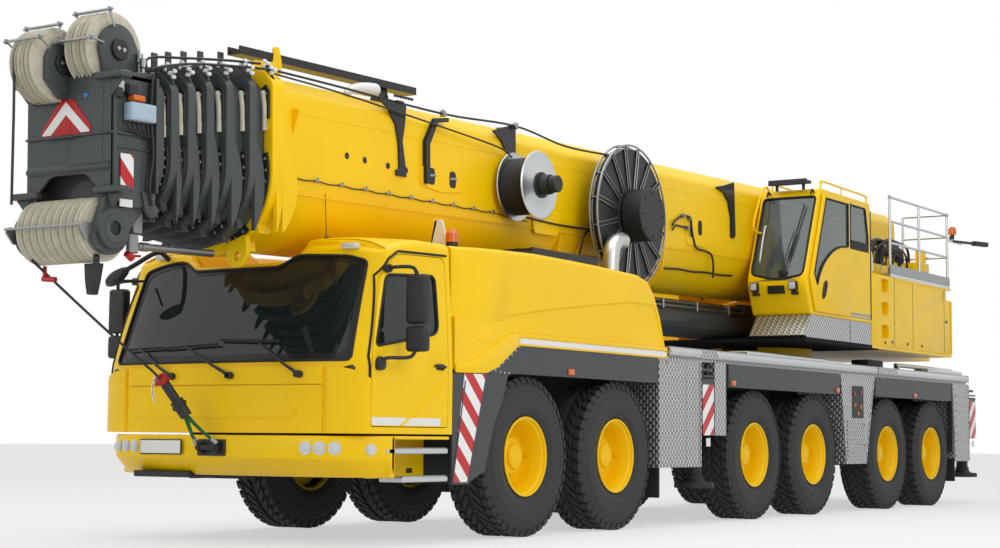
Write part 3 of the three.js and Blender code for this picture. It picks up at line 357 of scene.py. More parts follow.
yellow = enamel("yellow enamel", "#FFD000", 0.4, 0.08)
grey = enamel("dark grey enamel", "#474C4C", 0.42, 0.25)
frameGrey = enamel("chassis grey enamel", "#474A4C", 0.5, 0.1, 0.12)
white = enamel("white enamel", "#ECECE8", 0.4, 0.3)
black = enamel("black enamel", "#17181A", 0.4, 0.3)
orange = enamel("orange enamel", "#E2701A", 0.4, 0.3)
red = enamel("red enamel", "#B71C1C", 0.4, 0.3)
paleBlue = enamel("pale blue polyester", "#AFC3D2", 0.5, 0.1)
green = enamel("green webbing", "#2E6B3C", 0.9, 0.0)
rubber = buildRubber()
plastic = buildMoulded("black polypropylene", "#1B1C1D", 0.55)
gasket = buildMoulded("rubber gasket", "#101112", 0.7)
# near-black finish for the sheet under the operator's cab: painted shade, standing in for the shadow there
shadeBlack = enamel("black painted shade", "#1A1B1C", 0.95, 0.0)
jacket = buildMoulded("cable jacket", "#161718", 0.5)
alloy = buildMetal("extruded aluminium", "#C6C9CA", 0.35, 8)
steel = buildMetal("zinc plated steel", "#9B9E9F", 0.42, 12)
chrome = buildMetal("hard chrome", "#D6D9DB", 0.14, 30)
stainless = buildMetal("brushed stainless steel", "#C4C4C0", 0.36, 30)
iron = buildMetal("oiled cast iron", "#2C2E2F", 0.6, 20, 0.35)
chequer = buildChequer()
stripes = {"left": buildStripes("warning stripes left", 1),
    "right": buildStripes("warning stripes right", -1)}
screenGlass = buildGlass("tinted windscreen glass", "#2B3436", 0.55)
cabGlass = buildGlass("clear cab glass", "#93A3A3", 0.85)
clearLens = buildLens("clear acrylic lens", "#E8ECEC")
orangeLens = buildLens("orange acrylic lens", "#E8701A", 0.15)
redLens = buildLens("red acrylic lens", "#B01818", 0.15)
mirrorGlass = buildMetal("silvered mirror glass", "#DDE2E4", 0.08, 60)
rope = buildRope()
nylon = buildNylon()
cloth = buildCloth()
print("materials made")


# drawing in mesh code

def rounded(points, radius, steps=4):
    # the outline with each corner turned into an arc
    result = []
    count = len(points)
    for i, corner in enumerate(points):
        here = Vector(corner)
        before = Vector(points[i - 1]) - here
        after = Vector(points[(i + 1) % count]) - here
        size = radius[i] if isinstance(radius, (list, tuple)) else radius
        reach = min(size, before.length * 0.45, after.length * 0.45)
        a, b = here + before.normalized() * reach, here + after.normalized() * reach
        for k in range(steps + 1):
            t = k / steps
            result.append(tuple(a * (1 - t) ** 2 + here * 2 * t * (1 - t) + b * t**2))
    return result


def smoothPath(points, steps=6):
    # Catmull-Rom through the points
    p = [Vector(q) for q in points]
    p = [p[0] * 2 - p[1], *p, p[-1] * 2 - p[-2]]
    result = []
    for i in range(1, len(p) - 2):
        for k in range(steps):
            t = k / steps
            result.append(
                0.5
                * (
                    2 * p[i]
                    + (p[i + 1] - p[i - 1]) * t
                    + (2 * p[i - 1] - 5 * p[i] + 4 * p[i + 1] - p[i + 2]) * t**2
                    + (3 * p[i] - p[i - 1] - 3 * p[i + 1] + p[i + 2]) * t**3
                )
            )
    result.append(p[-2])
    return result


def place(axis, a, b, c):
    # (a, b) in the outline's plane and c along the axis
    return {"x": (c, a, b), "y": (a, c, b), "z": (a, b, c)}[axis]


class Shape:
    def __init__(self, space=road):
        self.space = space
        self.verts = []
        self.faces = []

    def put(self, verts, faces):
        start = len(self.verts)
        self.verts += [tuple(v) for v in verts]
        self.faces += [tuple(i + start for i in f) for f in faces]
        return self

    def putMesh(self, bm):
        bm.verts.ensure_lookup_table()
        self.put([v.co for v in bm.verts], [[v.index for v in f.verts] for f in bm.faces])
        bm.free()
        return self

    def bevelled(self, bm, bevel, segments):
        bm.verts.index_update()
        if bevel:
            bmesh.ops.bevel(bm, geom=list(bm.edges), offset=bevel, segments=segments, affect="EDGES",
                profile=0.5, clamp_overlap=True)
            bm.verts.index_update()
        return self.putMesh(bm)

    def block(self, xs, ys, zs, bevel=0.004, segments=1, turn=None):
        bm = bmesh.new()
        middle = Vector(((xs[0] + xs[1]) / 2, (ys[0] + ys[1]) / 2, (zs[0] + zs[1]) / 2))
        scale = Matrix.Diagonal((abs(xs[1] - xs[0]), abs(ys[1] - ys[0]), abs(zs[1] - zs[0]), 1))
        bmesh.ops.create_cube(bm, size=1, matrix=Matrix.Translation(middle) @ (turn
            or Matrix.Identity(4)) @ scale)
        return self.bevelled(bm, bevel, segments)

    def prism(self, outline, axis, low, high, bevel=0.0, segments=1):
        low, high = min(low, high), max(low, high)
        bm = bmesh.new()
        count = len(outline)
        first = [bm.verts.new(place(axis, a, b, low)) for a, b in outline]
        last = [bm.verts.new(place(axis, a, b, high)) for a, b in outline]
        bm.faces.new(first)
        bm.faces.new(last[::-1])
        for i in range(count):
            k = (i + 1) % count
            bm.faces.new((first[i], last[i], last[k], first[k]))
        bmesh.ops.recalc_face_normals(bm, faces=list(bm.faces))
        if bevel:
            rims = [e for e in bm.edges if len({v in first for v in e.verts}) == 1]
            bmesh.ops.bevel(bm, geom=rims, offset=bevel, segments=segments, affect="EDGES", profile=0.5,
                clamp_overlap=True)
        bm.verts.index_update()
        return self.putMesh(bm)

    def ring(self, outer, inner, axis, low, high):
        # a flat frame: two outlines with as many points as each other
        count = len(outer)
        verts = [place(axis, a, b, c) for c in (low, high) for line in (outer, inner) for a, b in line]
        faces = []
        for i in range(count):
            k = (i + 1) % count
            o0, i0, o1, i1 = 0, count, 2 * count, 3 * count
            faces += [
                (o0 + i, o0 + k, i0 + k, i0 + i),
                (o1 + k, o1 + i, i1 + i, i1 + k),
                (o0 + k, o0 + i, o1 + i, o1 + k),
                (i0 + i, i0 + k, i1 + k, i1 + i),
            ]
        return self.put(verts, faces)

    def tube(self, path, radius, sides=10, closed=False):
        points = [Vector(p) for p in path]
        count = len(points)
        verts, faces = [], []
        side = None
        for i, p in enumerate(points):
            nxt = points[(i + 1) % count] if closed or i + 1 < count else p
            last = points[i - 1] if closed or i else p
            ahead = (nxt - last).normalized()
            if side is None:
                side = ahead.orthogonal().normalized()
            side = (side - ahead * side.dot(ahead)).normalized()
            other = ahead.cross(side)
            r = radius[i] if isinstance(radius, (list, tuple)) else radius
            for k in range(sides):
                angle = 2 * math.pi * k / sides
                verts.append(p + (side * math.cos(angle) + other * math.sin(angle)) * r)
        rings = count if closed else count - 1
        for i in range(rings):
            for k in range(sides):
                a, b = i * sides, ((i + 1) % count) * sides
                n = (k + 1) % sides
                faces.append((a + k, a + n, b + n, b + k))
        if not closed:
            faces.append(tuple(range(sides))[::-1])
            faces.append(tuple(range((count - 1) * sides, count * sides)))
        return self.put(verts, faces)

    def bar(self, a, b, radius, sides=16):
        return self.tube([a, b], radius, sides)

    def spin(self, profile, centre, axis="x", steps=48, sense=1):
        # profile: radius and distance along the axis; ends on the axis close the shape
        verts, faces = [], []
        n = len(profile)
        for s in range(steps):
            angle = 2 * math.pi * s / steps
            for r, d in profile:
                a, b = r * math.cos(angle), r * math.sin(angle)
                p = place(axis, a, b, d * sense)
                verts.append(Vector(centre) + Vector(p))
        for s in range(steps):
            t = (s + 1) % steps
            for i in range(n - 1):
                faces.append((s * n + i, s * n + i + 1, t * n + i + 1, t * n + i))
        return self.put(verts, faces)

    def bolt(self, centre, normal, radius=0.014, height=0.012):
        c, d = Vector(centre), Vector(normal).normalized()
        self.tube([c - d * 0.002, c + d * height * 0.25], radius * 1.5, 12)
        return self.tube([c, c + d * height], radius, 6)

    def grid(self, rows):
        # a surface from rows of points
        width = len(rows[0])
        verts = [p for row in rows for p in row]
        faces = [
            (r * width + c, r * width + c + 1, (r + 1) * width + c + 1, (r + 1) * width + c)
            for r in range(len(rows) - 1)
            for c in range(width - 1)
        ]
        return self.put(verts, faces)

    def mesh(self, name):
        data = bpy.data.meshes.new(name)
        data.from_pydata([tuple(self.space @ Vector(v)) for v in self.verts], [], self.faces)
        bm = bmesh.new()
        bm.from_mesh(data)
        bmesh.ops.remove_doubles(bm, verts=list(bm.verts), dist=1e-5)
        bmesh.ops.dissolve_degenerate(bm, edges=list(bm.edges), dist=1e-6)
        bmesh.ops.recalc_face_normals(bm, faces=list(bm.faces))
        bm.to_mesh(data)
        bm.free()
        data.validate()
        return data

    def make(self, name, material, body, slot=None, replaces=(), angle=35):
        item = bpy.data.objects.new(name, self.mesh(name))
        bpy.context.scene.collection.objects.link(item)
        return settle(item, material, body, replaces, angle)


def settle(item, material, body, replaces=(), angle=35):
    item.data.materials.clear()
    item.data.materials.append(material)
    item.data.polygons.foreach_set("use_smooth", [True] * len(item.data.polygons))
    item.data.set_sharp_from_angle(angle=math.radians(angle))
    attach(item, body)
    if replaces:
        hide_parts(*replaces)
    return item


def carve(item, cutters, operation="DIFFERENCE"):
    # boolean cuts, applied, with the cutters thrown away
    for cutter in cutters:
        tool = bpy.data.objects.new("tool", cutter.mesh("tool"))
        bpy.context.scene.collection.objects.link(tool)
        change = item.modifiers.new("cut", "BOOLEAN")
        change.operation, change.object, change.solver = operation, tool, "MANIFOLD"
        bpy.context.view_layer.update()
        old = item.data
        item.data = bpy.data.meshes.new_from_object(item.evaluated_get(bpy.context.evaluated_depsgraph_get()))
        item.modifiers.clear()
        bpy.data.meshes.remove(old)
        bpy.data.objects.remove(tool)
    return item


def slab(shape, outer, inner):
    # two matching grids joined round their rims
    rows, width = len(outer), len(outer[0])
    size = rows * width
    verts = [p for grid in (outer, inner) for row in grid for p in row]
    faces = []
    for r in range(rows - 1):
        for c in range(width - 1):
            a = r * width + c
            faces.append((a, a + 1, a + width + 1, a + width))
            faces.append((size + a, size + a + width, size + a + width + 1, size + a + 1))
    rim = [c for c in range(width)] + [r * width + width - 1 for r in range(1, rows)]
    rim += [(rows - 1) * width + c for c in range(width - 2, -1, -1)] + [r * width
        for r in range(rows - 2, 0, -1)]
    for i, a in enumerate(rim):
        b = rim[(i + 1) % len(rim)]
        faces.append((a, b, size + b, size + a))
    return shape.put(verts, faces)


# wheels

wheel = {
    "radius": 0.735,
    "half": 0.22,
    "lugs": 42,  # tread blocks round each row
    "bolts": 10,
    "treadDepth": 0.024,
}


def treadBlock(shape, turn, width, row, base, top, slant):
    # one block of rubber: a low wedge with its upper edges drawn in
    low, high = row
    inset = 0.006
    bottom, upper = [], []
    for a, b in ((low, -1), (low, 1), (high, 1), (high, -1)):
        angle = turn + b * width / 2 + slant * (a - (low + high) / 2)
        bottom.append((a, angle, base))
        upper.append((a + (inset if a == low else -inset), angle - b * inset / top, top))
    verts = [(a, r * math.cos(t), r * math.sin(t)) for a, t, r in bottom + upper]
    shape.put(verts, [(4, 5, 6, 7)] + [(i, (i + 1) % 4, (i + 1) % 4 + 4, i + 4) for i in range(4)])


def tyreShape():
    r, half, depth = wheel["radius"], wheel["half"], wheel["treadDepth"]
    floor = r - depth
    shape = Shape(Matrix.Identity(4))
    outer = [
        (0.352, 0.168), (0.372, 0.186), (0.395, 0.196), (0.43, 0.209), (0.437, 0.214), (0.47, 0.2185),
        (0.52, half), (0.56, 0.2185), (0.565, 0.22), (0.572, 0.22), (0.577, 0.217), (0.6, 0.215),
            (0.604, 0.218),
        (0.611, 0.218), (0.615, 0.214), (0.64, 0.21), (0.67, 0.203), (0.695, 0.193), (floor, 0.18),
            (floor, 0.12), (floor, 0),
    ]
    profile = outer + [(a, -b) for a, b in reversed(outer[:-1])] + [(0.33, -0.15), (0.33, 0.15), outer[0]]
    shape.spin(profile, (0, 0, 0), "x", 72)
    pitch = 2 * math.pi / wheel["lugs"]
    rows = [((0.122, 0.198), 0.0, 0.6), ((0.018, 0.11), 0.45, 1.6), ((-0.11, -0.018), 0.05, -1.6),
        ((-0.198, -0.122), 0.5, -0.6)]
    for k in range(wheel["lugs"]):
        for row, shift, slant in rows:
            treadBlock(shape, (k + shift) * pitch, pitch * 0.7, row, floor - 0.002, r, slant)
        for edge in (1, -1):  # shoulder lug carried down onto the sidewall
            angle = (k + (0 if edge > 0 else 0.5)) * pitch
            verts = []
            for t in (angle - pitch * 0.33, angle + pitch * 0.33):
                for a, q in ((0.19, r - 0.004), (0.203, r - 0.03), (0.213, 0.672), (0.2, 0.672),
                        (0.18, r - 0.03)):
                    verts.append((edge * a, q * math.cos(t), q * math.sin(t)))
            shape.put(verts, [(0, 1, 2, 3, 4),
                (9, 8, 7, 6, 5)] + [(i, i + 5, (i + 1) % 5 + 5, (i + 1) % 5) for i in range(5)])
    return shape


def rimShape():
    shape = Shape(Matrix.Identity(4))
    face = [
        (0, 0.108), (0.05, 0.108), (0.056, 0.102), (0.1, 0.099), (0.112, 0.092), (0.122, 0.062),
            (0.165, 0.05), (0.178, 0.034), (0.182, -0.034),
        (0.196, -0.046), (0.262, -0.049), (0.285, -0.042), (0.3, -0.02), (0.306, 0.05), (0.312, 0.1),
            (0.326, 0.128),
        (0.329, 0.165), (0.338, 0.176), (0.352, 0.18), (0.364, 0.188), (0.368, 0.2), (0.362, 0.207),
            (0.35, 0.204), (0.345, 0.19),
    ]
    inner = [
        (0.345, 0.16), (0.34, -0.16), (0.352, -0.18), (0.366, -0.19), (0.364, -0.2), (0.345, -0.196),
        (0.337, -0.18), (0.336, -0.04), (0.3, -0.058), (0.2, -0.06), (0.12, -0.06), (0, -0.06),
    ]
    shape.spin(face + inner, (0, 0, 0), "x", 56)
    for k in range(wheel["bolts"]):
        angle = 2 * math.pi * k / wheel["bolts"]
        c, s = math.cos(angle), math.sin(angle)
        shape.bolt((-0.048, 0.232 * c, 0.232 * s), (1, 0, 0), 0.017, 0.03)
        shape.bolt((0.054, 0.144 * c, 0.144 * s), (1, 0, 0), 0.008, 0.012)
        shape.bolt((0.1, 0.08 * c, 0.08 * s), (1, 0, 0), 0.005, 0.006)
    shape.bar((-0.04, 0.28, 0), (0.05, 0.29, 0), 0.006, 8)  # valve
    return shape


def buildWheels():
    meshes = [("tyre", tyreShape().mesh("tyre"), rubber), ("rim", rimShape().mesh("rim"), yellow)]
    for side, sign in sides.items():
        for axle in range(1, 7):
            node = f"wheel_{side}_{axle}"
            low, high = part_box(node)
            spot = Matrix.Translation((low + high) / 2) @ Matrix.Rotation(0 if sign > 0 else math.pi, 4, "Z")
            for label, mesh, finish in meshes:
                copy = mesh.copy()
                copy.transform(spot)
                item = bpy.data.objects.new(f"{label}_{side}_{axle}", copy)
                bpy.context.scene.collection.objects.link(item)
                settle(item, finish, f"w_{side}_{axle}", replaces=(node,))


buildWheels()
print("wheels built")


# driver's cab: plan curves stacked from sill to roof

cab = {
    "plan": [
        (0, -2.598), (0.35, -2.596), (0.7, -2.58), (1.0, -2.553), (1.2, -2.515), (1.33, -2.472),
            (1.405, -2.43),
        (1.447, -2.37), (1.462, -2.2), (1.478, -1.9), (1.492, -1.55), (1.5, -1.285),
    ],
    "floor": 0.93,
    "waist": 1.47,
    "screenTop": 2.42,
    "lean": 0.39,  # how far the screen's top lies behind its foot
    "tumble": 0.055,  # how far the sides lean in
    "wall": 0.035,
    "rear": -1.285,
    "roof": 2.605,
    "channelFloor": 2.392,  # under the stowed boom
    "edge": 0.08,
}
screen = [
    (-1.3, 1.53), (1.3, 1.53), (1.245, 2.37), (1.05, 2.42), (0.62, 2.445), (0.5, 2.44), (0.34, 2.352),
    (-0.62, 2.352), (-0.76, 2.44), (-0.85, 2.445), (-1.05, 2.42), (-1.245, 2.37),
]
doorLine = [(-2.385, 0.985), (-1.345, 0.985), (-1.345, 2.455), (-1.99, 2.44), (-2.1, 2.37), (-2.2, 2.24),
    (-2.385, 1.56)]
doorPane = [(-2.32, 1.645), (-1.48, 1.79), (-1.5, 2.285), (-2.15, 2.25)]
planLine = [Vector((p.x, p.y)) for p in smoothPath([(x, y, 0) for x, y in cab["plan"]], 6)]


def cabTop(p):
    back = min(1, max(0, (p.y + 2.45) / 0.75))
    corner = min(1, max(0, (abs(p.x) - 1.0) / 0.35)) * (1 - back)
    return 2.525 + 0.06 * math.sin(back * math.pi / 2) - 0.05 * corner


def cabPoint(p, z, inset=0.0):
    rise = min(1, max(0, (z - cab["waist"]) / (cab["screenTop"] - cab["waist"])))
    weight = min(1, max(0, (-1.6 - p.y) / 1.0)) ** 1.5
    x = p.x * (1 - inset / 1.5) - cab["tumble"] * rise**1.4 * p.x / 1.5
    y = p.y + cab["lean"] * rise**1.08 * weight + inset * min(1, max(0, (-2.2 - p.y) / 0.15))
    return Vector((x, y, z))


def channel(x):
    # 0 over the boom's channel, 1 over the roof's raised sides
    t = min(1, max(0, (x - 0.42) / 0.17, (-x - 0.64) / 0.16))
    return t * t * (3 - 2 * t)


def cabSolid(inset=0.0):
    floor, r = cab["floor"] + inset, cab["edge"]
    levels = [0, 0.16, 0.3, 0.4, 0.5, 0.6, 0.7, 0.8, 0.9, 1]
    rows = [[cabPoint(p, floor + (cabTop(p) - r - inset - floor) * v, inset) for p in planLine]
        for v in levels]
    brim = rows[-1]
    last = len(brim) - 1
    for k in range(1, 5):
        angle = math.pi / 2 * k / 4
        row = []
        for i, edge in enumerate(brim):
            ahead = brim[min(i + 1, last)] - brim[max(i - 1, 0)]
            inward = Vector((-ahead.y, ahead.x)).normalized()
            if i == last:
                inward = Vector((-1, 0))
            if i == 0:
                inward = Vector((0, 1))
            shift = r * (1 - math.cos(angle))
            row.append(Vector((max(0, edge.x + inward.x * shift), edge.y + inward.y * shift,
                edge.z + r * math.sin(angle))))
        rows.append(row)
    for row in rows:
        for q in row:
            q.y = min(q.y, cab["rear"] - inset)
    top = rows[-1]
    across = 44
    roof = []
    for q in top[1:]:
        row = []
        for k in range(across + 1):
            u = 1 - 2 * k / across
            swell = (1 - u**8) * (cab["roof"] - inset - q.z) * min(1, max(0, (q.y + 2.3) / 0.3)) ** 0.7
            row.append(Vector((q.x * u, q.y, q.z + swell)))
        roof.append(row)
    loops = [[*row, *[Vector((-q.x, q.y, q.z)) for q in reversed(row[1:])]] for row in rows]
    for line in loops + roof:
        for q in line:
            lowered = cab["channelFloor"] - inset
            if q.z > lowered:
                q.z = lowered + (q.z - lowered) * channel(q.x)
    shape = Shape()
    count = len(loops[0])
    faces = [
        (j * count + i, j * count + (i + 1) % count, (j + 1) * count + (i + 1) % count, (j + 1) * count + i)
        for j in range(len(loops) - 1)
        for i in range(count)
        if i != last
    ]
    shape.put([q for loop in loops for q in loop], faces)
    shape.put(loops[0], [tuple(range(count))[::-1]])
    shape.grid(roof)
    shape.put([loops[-1][0], *roof[0]], [(0, k + 1, k + 2) for k in range(across)])
    rear = [loop[last] for loop in loops] + roof[-1][1:-1] + [loop[last + 1] for loop in reversed(loops)]
    shape.put(rear, [tuple(range(len(rear)))])
    return shape


def frontPoint(x, z, inset=0.0):
    # the screen side of the cab, found by its distance from the middle
    line = [cabPoint(p, z, inset) for p in planLine]
    for a, b in zip(line, line[1:]):
        if a.x <= abs(x) <= b.x:
            t = (abs(x) - a.x) / max(1e-6, b.x - a.x)
            return Vector((x, a.y + (b.y - a.y) * t, z))
    return Vector((x, line[-1].y, z))


def sidePoint(sign, y, z, inset=0.0):
    line = [cabPoint(p, z, inset) for p in planLine]
    for a, b in zip(line[20:], line[21:]):
        if a.y <= y <= b.y:
            t = (y - a.y) / max(1e-6, b.y - a.y)
            return Vector((sign * (a.x + (b.x - a.x) * t), y, z))
    return Vector((sign * line[-1].x, y, z))


def edgeAt(line, x, upper):
    # level of an outline over x, on its upper or lower edge
    found = []
    for i, a in enumerate(line):
        b = line[(i + 1) % len(line)]
        if min(a[0], b[0]) <= x <= max(a[0], b[0]) and a[0] != b[0]:
            found.append(a[1] + (b[1] - a[1]) * (x - a[0]) / (b[0] - a[0]))
    return max(found) if upper else min(found)


def patch(point, line, margin, insets, steps=(60, 14)):
    # a sheet laid on the cab's surface inside an outline
    low = min(a for a, b in line) + margin
    high = max(a for a, b in line) - margin
    grids = []
    for inset in insets:
        grid = []
        for k in range(steps[0] + 1):
            a = low + (high - low) * k / steps[0]
            bottom, top = edgeAt(line, a, False) + margin, edgeAt(line, a, True) - margin
            grid.append([point(a, bottom + (top - bottom) * j / steps[1], inset)
                for j in range(steps[1] + 1)])
        grids.append(grid)
    return grids


def lineOn(point, line, inset, closed=True, gap=0.03):
    # an outline laid on the cab's surface
    result = []
    ends = zip(line, line[1:] + line[:1]) if closed else zip(line, line[1:])
    for a, b in ends:
        steps = max(1, int(math.dist(a, b) / gap))
        result += [point(a[0] + (b[0] - a[0]) * k / steps, a[1] + (b[1] - a[1]) * k / steps, inset)
            for k in range(steps)]
    if not closed:
        result.append(point(*line[-1], inset))
    return result


def buildCabBody():
    wall = cab["wall"]
    shell = carve(cabSolid().make("cab_body", yellow, "carrier", replaces=("driver_cab",)), [cabSolid(wall)])
    leaf = shell.data.copy()
    outline = rounded(screen, 0.05, 5)
    tools = [Shape().prism(outline, "y", -2.8, -1.9)]
    doorway = rounded(doorLine, [0.03, 0.03, 0.09, 0.1, 0.1, 0.2, 0.3], 6)
    tools += [Shape().prism(doorway, "x", sign * 1.2, sign * 1.6) for sign in sides.values()]
    tools.append(Shape().prism(rounded([(-0.95, 1.5), (0.95, 1.5), (0.95, 2.2), (-0.95, 2.2)], 0.1), "y",
        -1.4, -1.2))
    carve(shell, tools)
    settle(shell, yellow, "carrier")

    glass = Shape()
    slab(glass, *patch(frontPoint, screen, 0.004, (0.01, 0.016), (90, 16)))
    glass.make("windscreen", screenGlass, "carrier")
    frit = Shape()
    slab(frit, *patch(frontPoint, screen, 0.004, (0.006, 0.0095), (90, 16)))
    border = frit.make("windscreen_border", black, "carrier")
    clear = [(x * 0.955, z + (0.06 if z < 1.8 else -0.045)) for x, z in screen]
    carve(border, [Shape().prism(rounded(clear, 0.07, 5), "y", -2.8, -1.9)])
    settle(border, black, "carrier")
    seal = Shape().tube(lineOn(frontPoint, outline, -0.002), 0.011, 8, closed=True)
    seal.make("windscreen_seal", gasket, "carrier")

    for side, sign in sides.items():
        gap = 0.007
        inner = [(y + (gap if y < -2 else -gap), z + (gap if z < 1.2 else -gap)) for y, z in doorLine]
        door = bpy.data.objects.new(f"door_leaf_{side}", leaf.copy())
        bpy.context.scene.collection.objects.link(door)
        carve(door, [Shape().prism(rounded(inner, [0.03, 0.03, 0.09, 0.1, 0.1, 0.2, 0.3], 6), "x",
            sign * 1.2, sign * 1.6)], "INTERSECT")
        carve(door, [Shape().prism(rounded(doorPane, [0.05, 0.09, 0.07, 0.07], 5), "x", sign * 1.2,
            sign * 1.6)])
        settle(door, yellow, f"door_{side}", replaces=(f"driver_door_{side}",))

        def flank(y, z, inset=0.0):
            return sidePoint(sign, y, z, inset)

        pane = Shape()
        slab(pane, *patch(flank, doorPane, 0.004, (0.012, 0.018), (24, 8)))
        pane.make(f"door_glass_{side}", screenGlass, f"door_{side}")
        rubberLine = Shape().tube(lineOn(flank, rounded(doorPane, [0.05, 0.09, 0.07, 0.07], 5), 0.004),
            0.013, 8, closed=True)
        rubberLine.make(f"door_glass_seal_{side}", gasket, f"door_{side}")
        upper = [(-2.395, 1.2), (-2.395, 1.56), (-2.212, 2.24), (-2.11, 2.385), (-1.99, 2.458),
            (-1.33, 2.472)]
        Shape().tube(lineOn(flank, upper, -0.002, closed=False), 0.011, 8).make(f"doorway_seal_{side}",
            gasket, "carrier")


def buildCabPanels():
    # pressed panels hung on the cab's front, with the shut lines between them
    def hung(x0, x1, z0, z1, out, steps=(40, 6)):
        box = [(x0, z0), (x1, z0), (x1, z1), (x0, z1)]
        return patch(frontPoint, box, 0, (-out, 0.006), steps)

    body = Shape()
    slab(body, *hung(-1.075, 1.075, 0.932, 1.325, 0.014))
    slab(body, *hung(-1.075, 1.075, 1.335, 1.482, 0.02))
    body.tube(lineOn(frontPoint, [(-0.95, 1.06), (0.78, 1.06), (0.86, 1.1), (0.7, 1.325)], -0.014,
        closed=False), 0.009, 6)
    body.make("grille_panel", yellow, "carrier")
    for side, sign in sides.items():
        corner = Shape()
        start = next(i for i, p in enumerate(planLine) if p.x > 1.085)
        end = next(i for i, p in enumerate(planLine) if p.y > -2.39)
        grids = []
        for out in (0.024, -0.01):
            grid = []
            for i in range(start, end + 1):
                top = 1.478 - 0.1 * ((i - start) / (end - start)) ** 1.5
                row = []
                for j in range(9):
                    q = cabPoint(planLine[i], 0.932 + (top - 0.932) * j / 8, -out)
                    row.append(Vector((sign * q.x, q.y, q.z)))
                grid.append(row)
            grids.append(grid)
        slab(corner, *grids)
        corner.make(f"corner_panel_{side}", yellow, "carrier")


def lamp(shape, glassShape, centre, normal, radius):
    c, n = Vector(centre), Vector(normal).normalized()
    shape.tube([c - n * 0.03, c + n * 0.004, c + n * 0.004],
        [radius * 1.12, radius * 1.12, radius * 1.05], 24)
    glassShape.tube([c, c + n * 0.008, c + n * 0.016, c + n * 0.02],
        [radius, radius * 0.97, radius * 0.75, radius * 0.3], 24)


bumper = {
    "plan": [(0, -2.65), (0.35, -2.65), (0.6, -2.645), (0.95, -2.6), (1.2, -2.53), (1.35, -2.42),
        (1.44, -2.3), (1.5, -2.19)],
    "top": 0.912,
    "break": 0.72,
    "bottom": 0.57,
    "rear": -2.12,
    "lamps": [0.95, 1.075, 1.2],
    "lampLevel": 0.81,
}


def bumperFront(x):
    line = smoothPath([(a, b, 0) for a, b in bumper["plan"]], 6)
    for a, b in zip(line, line[1:]):
        if a.x <= abs(x) <= b.x:
            return a.y + (b.y - a.y) * (abs(x) - a.x) / max(1e-6, b.x - a.x)
    return line[-1].y


